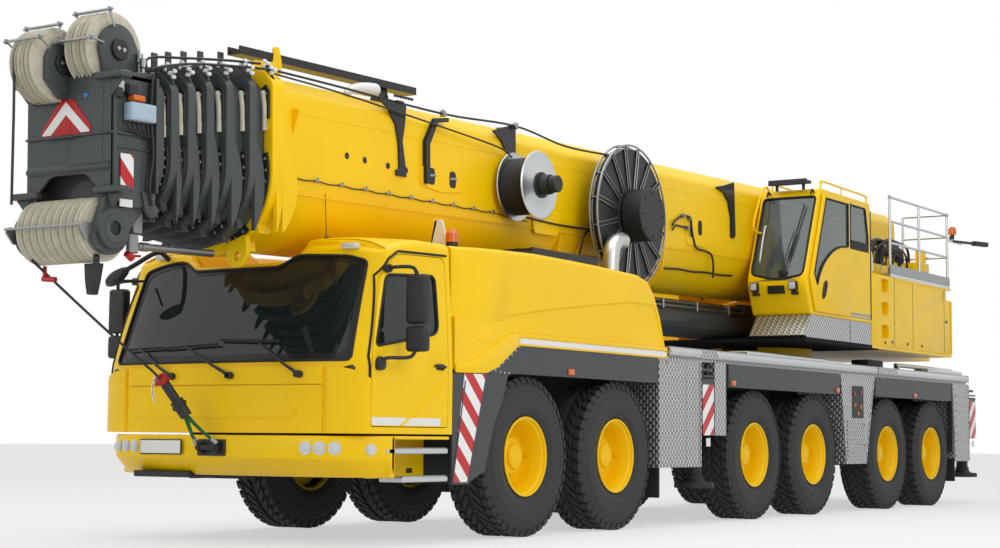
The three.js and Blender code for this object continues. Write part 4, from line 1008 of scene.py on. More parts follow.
def buildBumper():
    top, fold, bottom, rear = bumper["top"], bumper["break"], bumper["bottom"], bumper["rear"]
    shape = Shape()
    line = smoothPath([(a, b, 0) for a, b in bumper["plan"]], 6)
    line = [Vector((-p.x, p.y, 0)) for p in reversed(line[1:])] + line
    rows = []
    for p in line:
        f = p.y

        def back(depth, front=f):
            return min(front + depth, rear - 0.002)

        rows.append([
            (p.x, rear, top), (p.x, back(0.03), top), (p.x, back(0.008), top - 0.006),
                (p.x, f, top - 0.022), (p.x, f, fold + 0.012),
            (p.x, back(0.004), fold), (p.x, back(0.014), fold - 0.01), (p.x, back(0.16), bottom + 0.008),
                (p.x, back(0.18), bottom), (p.x, rear, bottom),
        ])
    n = len(rows[0])
    verts = [q for row in rows for q in row]
    faces = [(r * n + c, r * n + (c + 1) % n, (r + 1) * n + (c + 1) % n, (r + 1) * n + c)
        for r in range(len(rows) - 1) for c in range(n)]
    faces += [tuple(range(n))[::-1], tuple(range((len(rows) - 1) * n, len(rows) * n))]
    shape.put(verts, faces)
    for sign in sides.values():
        shape.block((sign * 1.2, sign * 1.23), (-2.14, -1.32), (0.56, 0.912), 0.006)
        shape.block((sign * 1.2, sign * 1.5), (-2.15, -1.32), (0.885, 0.912), 0.008)
        shape.block((sign * 1.2, sign * 1.5), (-2.16, -2.12), (0.57, 0.9), 0.008)
    for y in (-0.62, 0.03):  # swage lines across the middle
        shape.bar((y, bumperFront(y) - 0.001, 0.9), (y, bumperFront(y) - 0.001, fold), 0.006, 6)
    shape.make("bumper", yellow, "carrier", replaces=("front_bumper",))

    bezels, lenses, dark, steps = Shape(), Shape(), Shape(), Shape()
    stepRear, stepRibs = -1.34, 26
    for sign in sides.values():
        for x in bumper["lamps"]:
            slope = (bumperFront(x + 0.02) - bumperFront(x - 0.02)) / 0.04
            lamp(bezels, lenses, (sign * x, bumperFront(x) - 0.004, bumper["lampLevel"]),
                (sign * slope, -1, 0), 0.05)
        # front indicator on the corner
        slope = (bumperFront(1.44) - bumperFront(1.4)) / 0.04
        lamp(bezels, lenses, (sign * 1.42, bumperFront(1.42) - 0.006, 0.8), (sign * slope, -1, 0), 0.042)
        for z, front, inner in ((0.81, -2.22, 1.23), (0.575, -2.0, 1.25)):
            steps.block((sign * inner, sign * 1.5), (front, stepRear), (z - 0.045, z), 0.008)
            for k in range(stepRibs):
                y = front + 0.03 + k * (stepRear - front - 0.06) / (stepRibs - 1)
                steps.block((sign * 1.455, sign * 1.49), (y - 0.006, y + 0.006), (z - 0.002, z + 0.008), 0)
        # black patches on the step walls: painted shade
        for along, level in (((-2.0, -1.93), (0.68, 0.73)), ((-1.86, -1.78), (0.6, 0.64)),
                ((-1.58, -1.5), (0.6, 0.64))):
            dark.block((sign * 1.228, sign * 1.24), along, level, 0.004)
        # black block filling the cavity behind the bumper: painted shade
        dark.block((sign * 0.42, sign * 1.19), (-2.1, -1.4), (0.62, 0.9), 0.02)
    bezels.make("lamp_bezels", chrome, "carrier")
    lenses.make("lamp_lenses", clearLens, "carrier")
    steps.make("cab_steps", alloy, "carrier")
    # black strip under the bumper's lower face: painted shade of the recess there
    dark.block((-1.0, -0.35), (-2.56, -2.2), (0.545, 0.6), 0.01)
    dark.block((-0.17, 0.14), (-2.67, -2.6), (0.735, 0.875), 0.01)  # hitch pocket: a black block, painted shade inside the pocket
    dark.make("bumper_painted_shade", plastic, "carrier")
    plate = Shape()
    y = bumperFront(0.59) - 0.012
    turn = Matrix.Rotation(math.atan2(bumperFront(0.84) - bumperFront(0.34), 0.5) * -1, 4, "Z")
    plate.block((-0.845, -0.335), (y - 0.006, y + 0.006), (0.742, 0.872), 0.004, 1, turn)
    plate.make("plate_holder", black, "carrier")
    face = Shape().block((-0.835, -0.345), (y - 0.009, y - 0.005), (0.752, 0.862), 0.003, 1, turn)
    face.make("plate_blank", white, "carrier")
    hitch = Shape()
    for x in (-0.1, 0.07):
        hitch.prism(rounded([(-2.63, 0.75), (-2.72, 0.76), (-2.75, 0.805), (-2.72, 0.85), (-2.63, 0.86)],
            0.02), "x", x - 0.014, x + 0.014, 0.003)
    hitch.bar((-0.13, -2.715, 0.805), (0.1, -2.715, 0.805), 0.02, 16)
    hitch.make("hitch", iron, "carrier")


def buildWipers():
    shape = Shape()
    for pivot, tip, blade in (
        ((-0.51, 1.41), (-0.98, 1.66), ((-1.19, 1.66), (-0.7, 1.672))),
        ((0.152, 1.41), (-0.427, 1.675), ((-0.69, 1.665), (-0.07, 1.69))),
        ((0.87, 1.415), (0.377, 1.7), ((-0.05, 1.725), (0.6, 1.7))),
    ):
        foot = frontPoint(*pivot, -0.03)
        shape.bar(foot + Vector((0, 0.03, 0)), foot - Vector((0, 0.035, 0)), 0.03, 16)
        shape.block((foot.x - 0.045, foot.x + 0.02), (foot.y - 0.035, foot.y),
            (foot.z - 0.025, foot.z + 0.03), 0.012, 2)
        end = frontPoint(*tip, -0.045)
        mid = frontPoint((pivot[0] * 2 + tip[0]) / 3, (pivot[1] * 2 + tip[1]) / 3, -0.055)
        shape.tube([foot - Vector((0, 0.02, 0)), mid, end], [0.016, 0.013, 0.008], 8)
        shape.tube([frontPoint(blade[0][0] + (blade[1][0] - blade[0][0]) * k / 8,
            blade[0][1] + (blade[1][1] - blade[0][1]) * k / 8, -0.03) for k in range(9)], 0.009, 6)
        shape.tube([frontPoint(blade[0][0] + (blade[1][0] - blade[0][0]) * k / 8,
            blade[0][1] - 0.012 + (blade[1][1] - blade[0][1]) * k / 8, -0.014) for k in range(9)], 0.006, 6)
    shape.make("wipers", plastic, "carrier")


def buildMirrors():
    for side, sign in sides.items():
        body = f"door_{side}"
        shape = Shape()
        top = Vector((sign * 1.4, -2.14, 2.3))
        shape.tube(smoothPath([top, (sign * 1.5, -2.13, 2.31), (sign * 1.66, -2.12, 2.3),
            (sign * 1.69, -2.1, 2.24)], 6), 0.016, 10)
        shape.tube([top, top + Vector((sign * 0.05, -0.01, 0.0))], 0.035, 12)
        shape.tube(smoothPath([(sign * 1.45, -2.28, 1.52), (sign * 1.52, -2.26, 1.55),
            (sign * 1.66, -2.14, 1.56), (sign * 1.69, -2.1, 1.64)], 6), 0.016, 10)
        shape.prism(rounded([(-2.34, 1.45), (-2.24, 1.45), (-2.22, 1.53), (-2.3, 1.57), (-2.34, 1.53)],
            0.03), "x", sign * 1.44, sign * 1.49, 0.012, 2)
        shape.bar((sign * 1.69, -2.1, 1.6), (sign * 1.69, -2.1, 2.27), 0.015)
        for low, high in ((1.835, 2.245), (1.605, 1.815)):
            shape.block((sign * 1.59, sign * 1.788), (-2.13, -2.025), (low, high), 0.032, 4)
        shape.make(f"mirrors_{side}", plastic, body)
        silver = Shape()
        for low, high in ((1.86, 2.22), (1.625, 1.795)):
            silver.block((sign * 1.608, sign * 1.77), (-2.027, -2.021), (low, high), 0.01)
        silver.make(f"mirror_glass_{side}", mirrorGlass, body)
        handle = Shape()
        handle.prism(rounded([(-1.52, 1.475), (-1.4, 1.475), (-1.4, 1.53), (-1.52, 1.53)], 0.025), "x",
            sign * 1.49, sign * 1.5, 0.004)
        handle.tube([(sign * 1.5, -1.55, 1.51), (sign * 1.517, -1.54, 1.51), (sign * 1.519, -1.42, 1.505),
            (sign * 1.5, -1.4, 1.505)], 0.013, 8)
        handle.make(f"door_handle_{side}", plastic, body)
    # oval kerb mirror on an arm from the far corner of the roof
    shape = Shape()
    shape.tube(smoothPath([(-0.95, -2.22, 2.47), (-0.98, -2.34, 2.53), (-1.06, -2.55, 2.4),
        (-1.1, -2.6, 2.36)], 6), 0.022, 10)
    shape.bar((-1.25, -2.5, 2.277), (-1.18, -2.3, 2.282), 0.012)
    rim = []
    for d, size in ((0.0, 0.8), (0.012, 1.0), (-0.01, 1.0), (-0.05, 0.75), (-0.06, 0.4)):
        ring = []
        for k in range(28):
            a = 2 * math.pi * k / 28
            across, up = 0.15 * size * math.cos(a), 0.062 * size * math.sin(a)
            ring.append(Vector((-1.21 + 0.88 * across - 0.25 * up, -2.6 + d, 2.3 + 0.42 * across + 0.9 * up)))
        rim.append(ring + ring[:1])
    shape.grid(rim)
    for ring in (rim[0], rim[-1]):
        shape.put(ring[:-1], [tuple(range(28))])
    shape.make("kerb_mirror", plastic, "carrier")


def buildCabInside():
    dark = Shape()
    dark.prism(rounded([(-2.5, 0.98), (-2.12, 0.98), (-2.1, 1.42), (-2.3, 1.5), (-2.5, 1.49)], 0.05), "x",
        -1.34, 1.34, 0.02)
    dark.block((-1.38, 1.38), (-2.45, -1.32), (0.965, 0.99), 0)
    dark.block((0.42, 1.0), (-2.28, -2.1), (1.4, 1.56), 0.05, 3)  # instrument binnacle
    for a in (-0.2, 0.2):
        dark.block((a - 0.14, a + 0.14), (-2.2, -1.45), (0.98, 1.2), 0.05, 2)
    wheelSpot = Vector((0.72, -2.02, 1.5))
    tilt = Matrix.Rotation(math.radians(-28), 3, "X")
    ring = [wheelSpot + tilt @ Vector((0.23 * math.cos(2 * math.pi * k / 32),
        0.23 * math.sin(2 * math.pi * k / 32), 0)) for k in range(32)]
    dark.tube(ring, 0.016, 8, closed=True)
    for k in (0, 11, 21):
        dark.tube([wheelSpot, ring[k]], 0.014, 6)
    dark.bar(wheelSpot, wheelSpot + Vector((0, -0.2, -0.3)), 0.035)
    dark.make("dashboard", plastic, "carrier")
    for side, sign in sides.items():
        x = sign * 0.72
        seat = Shape()
        for low, high, ys, zs in (
            (x - 0.25, x + 0.25, (-1.85, -1.4), (1.24, 1.37)),
            (x - 0.24, x + 0.24, (-1.46, -1.34), (1.36, 1.93)),
            (x - 0.13, x + 0.13, (-1.44, -1.36), (1.98, 2.16)),
        ):
            seat.block((low, high), ys, zs, 0.04, 3)
        item = seat.make(f"cab_seat_{side}", cloth, "carrier")
        base = Shape().block((x - 0.18, x + 0.18), (-1.8, -1.42), (0.985, 1.24), 0.02)
        base.block((x - 0.02, x + 0.02), (-1.41, -1.37), (1.9, 2.0), 0.005)
        base.make(f"seat_base_{side}", plastic, "carrier")


def buildCabTrim():
    for side, sign in sides.items():
        rows, back = ([[sidePoint(sign, -2.37 + 0.91 * i / 20, z, inset) for z in (1.0, 1.065)]
            for i in range(21)] for inset in (-0.002, 0.004))
        slab(Shape(), rows, back).make(f"reflector_strip_{side}", white, f"door_{side}")
        # pressed crease across the lower corner of the door
        line = [sidePoint(sign, -2.0 + 0.63 * k / 12, 1.0 + 0.39 * k / 12, 0.0) for k in range(13)]
        Shape().tube(line, 0.013, 6).make(f"door_crease_{side}", yellow, f"door_{side}")
    roofLamp = Shape().block((0.98, 1.13), (-2.22, -2.13), (2.475, 2.53), 0.018, 2)
    roofLamp.block((-1.13, -0.98), (-2.22, -2.13), (2.475, 2.53), 0.018, 2)
    roofLamp.make("roof_markers", clearLens, "carrier")
    whip = Shape().bar((0.62, -1.95, 2.57), (0.62, -1.95, 2.62), 0.022)
    whip.tube([(0.62, -1.95, 2.6), (0.6, -1.97, 3.25)], [0.004, 0.0025], 6)
    whip.make("antenna", plastic, "carrier")
    base = Shape().bar((1.3, -1.02, 2.55), (1.3, -1.02, 2.63), 0.055, 20)
    base.make("beacon_base", plastic, "carrier")
    amber = Shape().tube([(1.3, -1.02, 2.63), (1.3, -1.02, 2.71), (1.3, -1.02, 2.745)],
        [0.062, 0.058, 0.03], 24)
    amber.make("beacon", orangeLens, "carrier")
    bracket = Shape().prism(rounded([(1.0, 2.58), (1.22, 2.58), (1.14, 2.85), (1.06, 2.85)], 0.02), "y",
        -0.95, -0.93, 0.004)
    bracket.prism(rounded([(1.0, 2.58), (1.02, 2.58), (1.09, 2.85), (1.06, 2.85)], 0.005), "y", -0.95,
        -0.85, 0.002)
    bracket.make("boom_guide", white, "carrier")


buildCabBody()
buildCabPanels()
buildBumper()
buildWipers()
buildMirrors()
buildCabInside()
buildCabTrim()
print("driver's cab built")


# telescopic boom, drawn in its own frame: y is negative towards the head

boom = {
    "half": 0.62,
    "height": 1.46,
    "raise": 0.195,
    "bevel": 0.15,
    "nest": 0.033,  # each section lies this much inside the one before
    "reach": 13.96,
    "tail": 0.55,
    "wall": 0.018,
    "collars": [14.2, 14.45, 14.65, 14.83, 14.99, 15.12],
    "collarDepth": 0.09,
    "lip": 0.045,
    "padLength": 0.22,
}


def boomOutline(inset):
    half, top = boom["half"] - inset, boom["raise"] + boom["height"] / 2 - inset
    bevel, centre = boom["bevel"], bellyCentre(inset)
    corners = [(-half, centre), (half, centre), (half, top - bevel), (half - bevel, top),
        (bevel - half, top), (-half, top - bevel)]
    line = rounded(corners, 0.05, 4)[10:]
    return line + [(half * math.cos(a), centre + half * math.sin(a))
        for a in (math.pi * (1 + k / 36) for k in range(37))]


def bellyCentre(inset):
    return boom["raise"] - (boom["height"] / 2 - inset) + boom["half"] - inset


def bellyPoint(inset, degrees, out=0.0):
    r, a = boom["half"] - inset + out, math.radians(degrees)
    return (r * math.cos(a), bellyCentre(inset) + r * math.sin(a))


def sectionTube(inset, reach, tail, depth, lip):
    shape = Shape(boomSpace)
    outer = boomOutline(inset)
    shape.ring(outer, boomOutline(inset + boom["wall"]), "y", -reach + depth * 0.5, -tail)
    rim = boomOutline(inset + boom["nest"] - 0.002)
    chamfered = boomOutline(inset - lip + 0.006)
    shape.ring(boomOutline(inset - lip), rim, "y", -reach + 0.006, -reach + depth)
    shape.ring(chamfered, rim, "y", -reach, -reach + 0.007)
    return shape


def crescentArc(front, bulge, count):
    top, drop = 0.36, 0.78
    return [(front + bulge * math.sin(math.pi * k / count) ** 0.8, top - drop * k / count)
        for k in range(count + 1)]


def collarPads(index, inset, front, body, metal, gap):
    # slide pads, gussets and ribs that sit round one mouth
    half = boom["half"] - inset
    pads, bolts, ribs, wear = Shape(boomSpace), Shape(boomSpace), Shape(boomSpace), Shape(boomSpace)
    top = boom["raise"] + boom["height"] / 2 - inset
    for side in (1, -1):
        upper = [(half + 0.03, top - 0.4), (half + 0.03, top - 0.17), (half - 0.005, top - 0.115),
            (half - 0.045, top - 0.14), (half - 0.042, top - 0.4)]
        pads.prism([(side * a, b) for a, b in upper], "y", front - 0.022, front + 0.002, 0.003)
        for z in (top - 0.365, top - 0.28, top - 0.19):
            bolts.bolt((side * (half - 0.006), front - 0.021, z), (0, -1, 0), 0.011, 0.01)
        for start, end, count in ((14, -30, 5), (-48, -66, 2)):
            angles = [start + (end - start) * k / 10 for k in range(11)]
            line = [bellyPoint(inset, a, 0.03) for a in angles] + [bellyPoint(inset, a, -0.036)
                for a in reversed(angles)]
            line = [(side * a, b) for a, b in line]
            pads.prism(line, "y", front - 0.022, front + 0.002, 0.003)
            for k in range(count):
                a, b = bellyPoint(inset, start + (end - start) * (k + 0.5) / count, -0.003)
                bolts.bolt((side * a, front - 0.021, b), (0, -1, 0), 0.011, 0.01)
        # nylon bar against the next section's shoulder
        nextHalf = half - boom["nest"]
        path = [(side * (nextHalf + 0.018), front - 0.02, top - 0.5),
            (side * (nextHalf + 0.022), front - 0.028, top - 0.3),
            (side * (nextHalf + 0.004), front - 0.03, top - 0.17)]
        wear.tube(smoothPath(path, 5), 0.022, 10)
        # crescent rib behind the mouth, on the collar's flank
        bulge = min(0.15, gap * 0.8)
        arc = crescentArc(front + 0.085, bulge, 16)
        ribs.prism([(front + 0.08, 0.36), *arc, (front + 0.08, -0.42)], "x", side * (half - 0.004),
            side * (half + boom["lip"] - 0.006), 0.004)
        # stiffening plate and stepped gussets under the flank
        for angle, size in ((-40, 0.075), (-58, 0.06)):
            a, b = bellyPoint(inset, angle, boom["lip"])
            e, f = bellyPoint(inset, angle - 9, boom["lip"] + 0.004)
            wedge = [(side * a, b), (side * e, f), (side * (a + 0.012), b - size)]
            ribs.prism(wedge, "y", front + 0.012, front + boom["collarDepth"] - 0.01, 0.003)
    pads.make(f"slide_pads_{index}", plastic, body)
    bolts.make(f"pad_bolts_{index}", stainless, body)
    wear.make(f"wear_bars_{index}", nylon, body)
    ribs.make(f"collar_ribs_{index}", metal, body)
    # cable support on the collar's shoulder
    post, clips = Shape(boomSpace), Shape(boomSpace)
    y = front + 0.05
    if index:
        post.block((0.26, 0.285), (y - 0.035, y + 0.03), (top + 0.02, top + 0.2), 0.006)
        post.block((0.2, 0.3), (y - 0.035, y + 0.03), (top + 0.02, top + 0.05), 0.005)
        post.block((0.26, half - 0.02), (y - 0.012, y + 0.012), (top + 0.035, top + 0.065), 0.004)
        post.block((-0.3, 0.28), (y - 0.01, y + 0.01), (top + 0.03, top + 0.09), 0.004)
    post.prism([(half - 0.1, top - 0.02), (half - 0.02, top - 0.1), (half + 0.03, top - 0.06),
        (half - 0.03, top + 0.06), (half - 0.1, top + 0.06)], "y", y - 0.01, y + 0.01, 0.003)
    for a, b in ((half - 0.06, top + 0.075), (half + 0.015, top + 0.012)):
        for turn in (0, 1, 2):
            angle = turn * 2.1 + index
            spot = Vector((a + 0.027 * math.cos(angle), y, b + 0.027 * math.sin(angle)))
            clips.tube([spot - Vector((0, 0.02, 0)), spot - Vector((0, 0.012, 0)),
                spot + Vector((0, 0.012, 0)), spot + Vector((0, 0.02, 0))], [0.012, 0.017, 0.017, 0.012], 12)
    post.make(f"cable_post_{index}", metal if index else black, body)
    clips.make(f"cable_rollers_{index}", white, body)


def buildSections():
    for index, front in enumerate(boom["collars"], 1):
        inset = boom["nest"] * index
        body = "head" if index == 6 else f"section_{index}"
        node = "boom_head" if index == 6 else f"boom_section_{index}"
        low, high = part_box(node)
        tail = -((boomSpace.inverted() @ Vector((0, high.y, (low.z + high.z) / 2))).y) + 0.02
        shape = sectionTube(inset, front, tail, boom["collarDepth"], boom["lip"])
        shape.make(f"section_{index}_tube", grey, body, replaces=(node,))
        before = boom["reach"] if index == 1 else boom["collars"][index - 2]
        if index < 6:
            collarPads(index, inset, -front, body, grey, front - before - boom["collarDepth"])


def buildBase():
    shape = sectionTube(0, boom["reach"], -boom["tail"], 0.17, boom["lip"] + 0.01)
    rear = Shape(boomSpace).prism(boomOutline(0.004), "y", boom["tail"] - 0.012, boom["tail"] - 0.002)
    shape.put(rear.verts, rear.faces)
    half = boom["half"]
    for side in (1, -1):
        # crescent ribs, gussets, lifting fin
        arc = crescentArc(-13.8, 0.19, 18)
        shape.prism([(-13.81, 0.36), *arc, (-13.81, -0.42)], "x", side * (half - 0.004),
            side * (half + 0.045), 0.004)
        gusset = [(side * half, 0.66), (side * (half + 0.075), 0.64), (side * half, 0.43)]
        shape.prism(gusset, "y", -13.63, -13.615, 0.003)
        for angle in (-40, -58):
            a, b = bellyPoint(0, angle, 0.05)
            e, f = bellyPoint(0, angle - 9, 0.056)
            shape.prism([(side * a, b), (side * e, f), (side * (a + 0.012), b - 0.08)], "y", -13.94,
                -13.8, 0.004)
        # doubler plates round the locking slots
        plate = [(-11.76, 0.36), (-11.42, 0.4), (-11.13, 0.38), (-11.02, 0.29), (-11.1, 0.17),
            (-11.42, 0.14), (-11.76, 0.18)]
        shape.prism(rounded(plate, 0.04), "x", side * half, side * (half + 0.012), 0.003)
        shape.prism(rounded([(-9.75, -0.12), (-9.3, -0.12), (-9.2, 0.12), (-9.8, 0.12)], 0.04), "x",
            side * half, side * (half + 0.012), 0.003)
        # long weld seam above the belly
        shape.bar((side * (half + 0.001), -13.7, -0.07), (side * (half + 0.001), 0.3, -0.07), 0.006, 6)
        shape.bar((side * (half - 0.001), -13.7, 0.62), (side * (half - 0.001), 0.3, 0.62), 0.005, 6)
        shape.bar((side * 0.4, -13.7, 0.925), (side * 0.4, 0.3, 0.925), 0.005, 6)
        # gussets over the cylinder bracket
        for y in (-9.2, -8.75, -7.3, -6.85):
            shape.prism([(side * 0.3, -0.62), (side * 0.62, -0.1), (side * 0.58, -0.34)], "y", y - 0.012,
                y + 0.012, 0.002)
    shape.prism(rounded([(-13.94, 0.96), (-13.58, 0.96), (-13.56, 1.06), (-13.6, 1.2), (-13.66, 1.2),
        (-13.68, 1.06), (-13.94, 1.04)], 0.02), "x", 0.42, 0.45, 0.004)
    # eye lug under the mouth
    lug = [(0.2, -0.5), (0.42, -0.42), (0.43, -0.6), (0.36, -0.7), (0.27, -0.71), (0.2, -0.64)]
    lug = Shape(boomSpace).prism(rounded(lug, 0.05), "y", -13.99, -13.94, 0.006)
    eye = lug.make("boom_eye", yellow, "base")
    carve(eye, [Shape(boomSpace).bar((0.32, -14.1, -0.61), (0.32, -13.8, -0.61), 0.04, 24)])
    settle(eye, yellow, "base")
    holes = Shape(boomSpace)
    for side in (1, -1):
        for y, z in ((-12.877, 0.333), (-12.616, 0.322), (-12.266, 0.308), (-11.984, 0.296)):
            holes.bar((side * (half + 0.0005), y, z), (side * (half + 0.003), y, z), 0.03, 20)
        for y in (-11.588, -11.237):
            slot = rounded([(y - 0.055, 0.2), (y + 0.055, 0.2), (y + 0.055, 0.36), (y - 0.055, 0.36)],
                0.055, 6)
            holes.prism(slot, "x", side * (half + 0.0115), side * (half + 0.014))
        oval = rounded([(-6.02, 0.13), (-5.92, 0.13), (-5.92, 0.31), (-6.02, 0.31)], 0.05, 6)
        holes.prism(oval, "x", side * (half + 0.011), side * (half + 0.0135))
        shape.prism(rounded([(-6.32, 0.0), (-5.86, 0.0), (-5.82, 0.1), (-5.86, 0.42), (-6.3, 0.42),
            (-6.36, 0.3)], 0.06, 4), "x", side * (half - 0.002), side * (half + 0.011), 0.003)
    shape.make("boom_base_tube", yellow, "base", replaces=("boom_base",))
    holes.make("boom_openings", black, "base")
    pin = Shape(boomSpace)
    for side in (1, -1):
        for y in (-11.588, -11.237):
            pin.bar((side * (half + 0.012), y - 0.05, 0.28), (side * (half + 0.02), y + 0.05, 0.29),
                0.014, 10)
    pin.make("boom_lock_pins", steel, "base")

    # pivot, cylinder lugs and pins
    pinIron = Shape(boomSpace)
    lugs = Shape(boomSpace)
    ey, ez = cylinderEye
    for side in (1, -1):
        line = rounded([(ey - 0.13, ez - 0.13), (ey + 0.13, ez - 0.13), (ey + 0.45, -0.45),
            (ey - 0.45, -0.45)], [0.12, 0.12, 0.02, 0.02], 6)
        lugs.prism(line, "x", side * 0.158, side * 0.202, 0.005)
        lugs.tube([(side * 0.2, ey, ez), (side * 0.212, ey, ez)], 0.11, 24)
        pinIron.bar((side * 0.212, ey, ez), (side * 0.235, ey, ez), 0.07, 24)
        for inner, outer, radius in ((0.62, 0.715, 0.1), (0.715, 0.73, 0.13)):
            pinIron.bar((side * inner, 0, 0), (side * outer, 0, 0), radius, 28)
        for offset in (0.05, -0.05):
            pinIron.bolt((side * 0.73, offset, offset), (side, 0, 0), 0.014, 0.014)
    pinIron.bar((-0.2, ey, ez), (0.2, ey, ez), 0.068, 24)
    lugs.make("cylinder_lugs", yellow, "base")
    pinIron.make("boom_pins", iron, "base")

    # black cable brackets and the trough on top
    dark = Shape(boomSpace)
    out = half + 0.012
    for line, low, high in (
        ([(-12.43, 0.9), (-12.0, 0.9), (-12.02, 0.72), (-12.06, 0.55), (-12.0, 0.27), (-12.0, 0.23),
            (-12.16, 0.23), (-12.16, 0.28), (-12.11, 0.3), (-12.12, 0.52), (-12.17, 0.7), (-12.3, 0.84)],
            half + 0.002, half + 0.02),
        ([(-11.72, 0.2), (-11.66, 0.2), (-11.66, 0.57), (-11.53, 0.79), (-11.35, 0.82), (-11.35, 0.86),
            (-11.57, 0.83), (-11.72, 0.6)], half + 0.002, half + 0.05),
        ([(-5.52, 0.76), (-5.3, 0.8), (-5.04, 0.86), (-5.02, 0.2), (-5.06, 0.16), (-5.13, 0.17),
            (-5.13, 0.42), (-5.2, 0.6), (-5.32, 0.7), (-5.5, 0.74)], half + 0.002, half + 0.03),
        ([(-10.54, 0.84), (-10.11, 0.96), (-10.11, 0.62), (-10.16, 0.6), (-10.31, 0.68), (-10.38, 0.76)],
            half + 0.002, half + 0.02),
    ):
        dark.prism(line, "x", low, high, 0.002)
    for y in (-12.1, -10.15):
        dark.block((0.44, half + 0.03), (y - 0.05, y + 0.05), (0.9, 0.925), 0.003)
    # trough: a shallow channel open upwards
    section = [(0.3, 1.07), (0.44, 1.07), (0.44, 1.14), (0.425, 1.14), (0.425, 1.085), (0.315, 1.085),
        (0.315, 1.14), (0.3, 1.14)]
    dark.prism(section, "y", -14.1, -11.56, 0.002)
    dark.prism([(-12.2, 0.92), (-11.9, 0.92), (-11.95, 1.07), (-12.15, 1.07)], "x", 0.36, 0.38, 0.002)
    dark.prism([(-13.7, 0.96), (-13.6, 0.96), (-13.6, 1.07), (-13.7, 1.07)], "x", 0.36, 0.38, 0.002)
    for k in range(7):
        spot = -11.9 + k * 0.045
        dark.bar((0.43, spot, 1.02), (0.445, spot, 1.02), 0.014, 10)
    dark.make("boom_brackets", black, "base")
    horn = Shape(boomSpace).tube(smoothPath([(0.5, -12.75, 0.92), (0.47, -12.55, 0.99),
        (0.42, -12.2, 1.03)], 5), [0.02, 0.03, 0.035, 0.04, 0.045, 0.05, 0.055, 0.06, 0.065, 0.065,
        0.065], 14)
    horn.make("boom_horn", white, "base")
    collarPads(0, 0, -boom["reach"], "base", yellow, 0.1)

    # thin pressure line clipped along the flank
    line, clips = Shape(boomSpace), Shape(boomSpace)
    spots = [(half + 0.016, -13.66 + k * 0.347, 0.068 - 0.0045 * k) for k in range(10)]
    path = []
    for a, b in zip(spots, spots[1:]):
        path += [a, ((a[0] + b[0]) / 2, (a[1] + b[1]) / 2, (a[2] + b[2]) / 2 - 0.012)]
    path += [spots[-1], (half + 0.03, -10.3, 0.0), (half + 0.045, -9.95, -0.02)]
    line.tube(smoothPath(path, 4), 0.006, 8)
    for a, b, c in spots:
        clips.block((half + 0.002, half + 0.026), (b - 0.03, b + 0.03), (c - 0.012, c + 0.014), 0.006)
        clips.bolt((half + 0.024, b, c + 0.02), (1, 0, 0), 0.007, 0.006)
    # hoses round the locking valve and along the lower edge
    out = half + 0.02
    for path, radius in (
        ([(out + 0.02, -6.74, 0.2), (out, -6.6, 0.27), (out, -6.42, 0.33), (out + 0.02, -6.28, 0.31),
            (out, -6.2, 0.17), (out, -6.1, -0.02), (out + 0.01, -5.9, -0.05), (out, -5.7, -0.08),
            (out, -5.64, -0.2), (out - 0.02, -5.62, -0.36)], 0.013),
        ([(out + 0.02, -6.74, 0.14), (out, -6.62, 0.2), (out, -6.45, 0.2), (out + 0.02, -6.3, 0.19),
            (out, -6.21, 0.1)], 0.011),
        ([(out, -9.95, 0.03), (out, -9.3, 0.0), (out, -8.6, 0.0), (out, -8.2, -0.02)], 0.011),
        ([(out, -8.62, 0.0), (out, -8.74, -0.06), (out, -8.82, -0.19), (out - 0.02, -8.86, -0.36)], 0.011),
    ):
        line.tube(smoothPath(path, 5), radius, 8)
    low = [bellyPoint(0, -36, 0.014) + (-9.9 + 0.36 * k,) for k in range(15)]
    line.tube(smoothPath([(a, y, b - 0.012 * (k % 2)) for k, (a, b, y) in enumerate(low)], 3), 0.012, 8)
    for y, z in ((-6.44, 0.33), (-6.28, 0.31), (-6.34, 0.19)):
        clips.bolt((out + 0.012, y, z), (1, 0, 0), 0.022, 0.02)
        clips.bar((out, y - 0.04, z), (out, y + 0.04, z), 0.017, 8)
    line.make("flank_line", jacket, "base")
    clips.make("flank_clips", steel, "base")


def toBoom(y, z):
    p = boomSpace.inverted() @ (road @ Vector((0, y, z)))
    return (p.y, p.z)


cylinderEye = toBoom(3.0, 2.36)


def sheave(shape, x0, x1, y, z, outer, inner, bore=0.0, steps=64):
    w = x1 - x0
    profile = [
        (bore, 0), (inner * 0.9, 0), (inner * 0.93, w * 0.1), (outer * 0.97, w * 0.1), (outer, w * 0.16),
            (outer * 0.985, w * 0.24), (inner + 0.008, w * 0.36),
        (inner, w * 0.5), (inner + 0.008, w * 0.64), (outer * 0.985, w * 0.76), (outer, w * 0.84),
            (outer * 0.97, w * 0.9), (inner * 0.93, w * 0.9), (inner * 0.9, w), (bore, w),
    ]
    shape.spin(profile, (x0, y, z), "x", steps)


head = {
    "front": -15.6,
    "rear": -15.12,
    "half": 0.45,
    "lower": (-15.56, -0.504),
    "upperRight": (-15.41, 0.905),
    "upperLeft": (-15.65, 0.79),
}


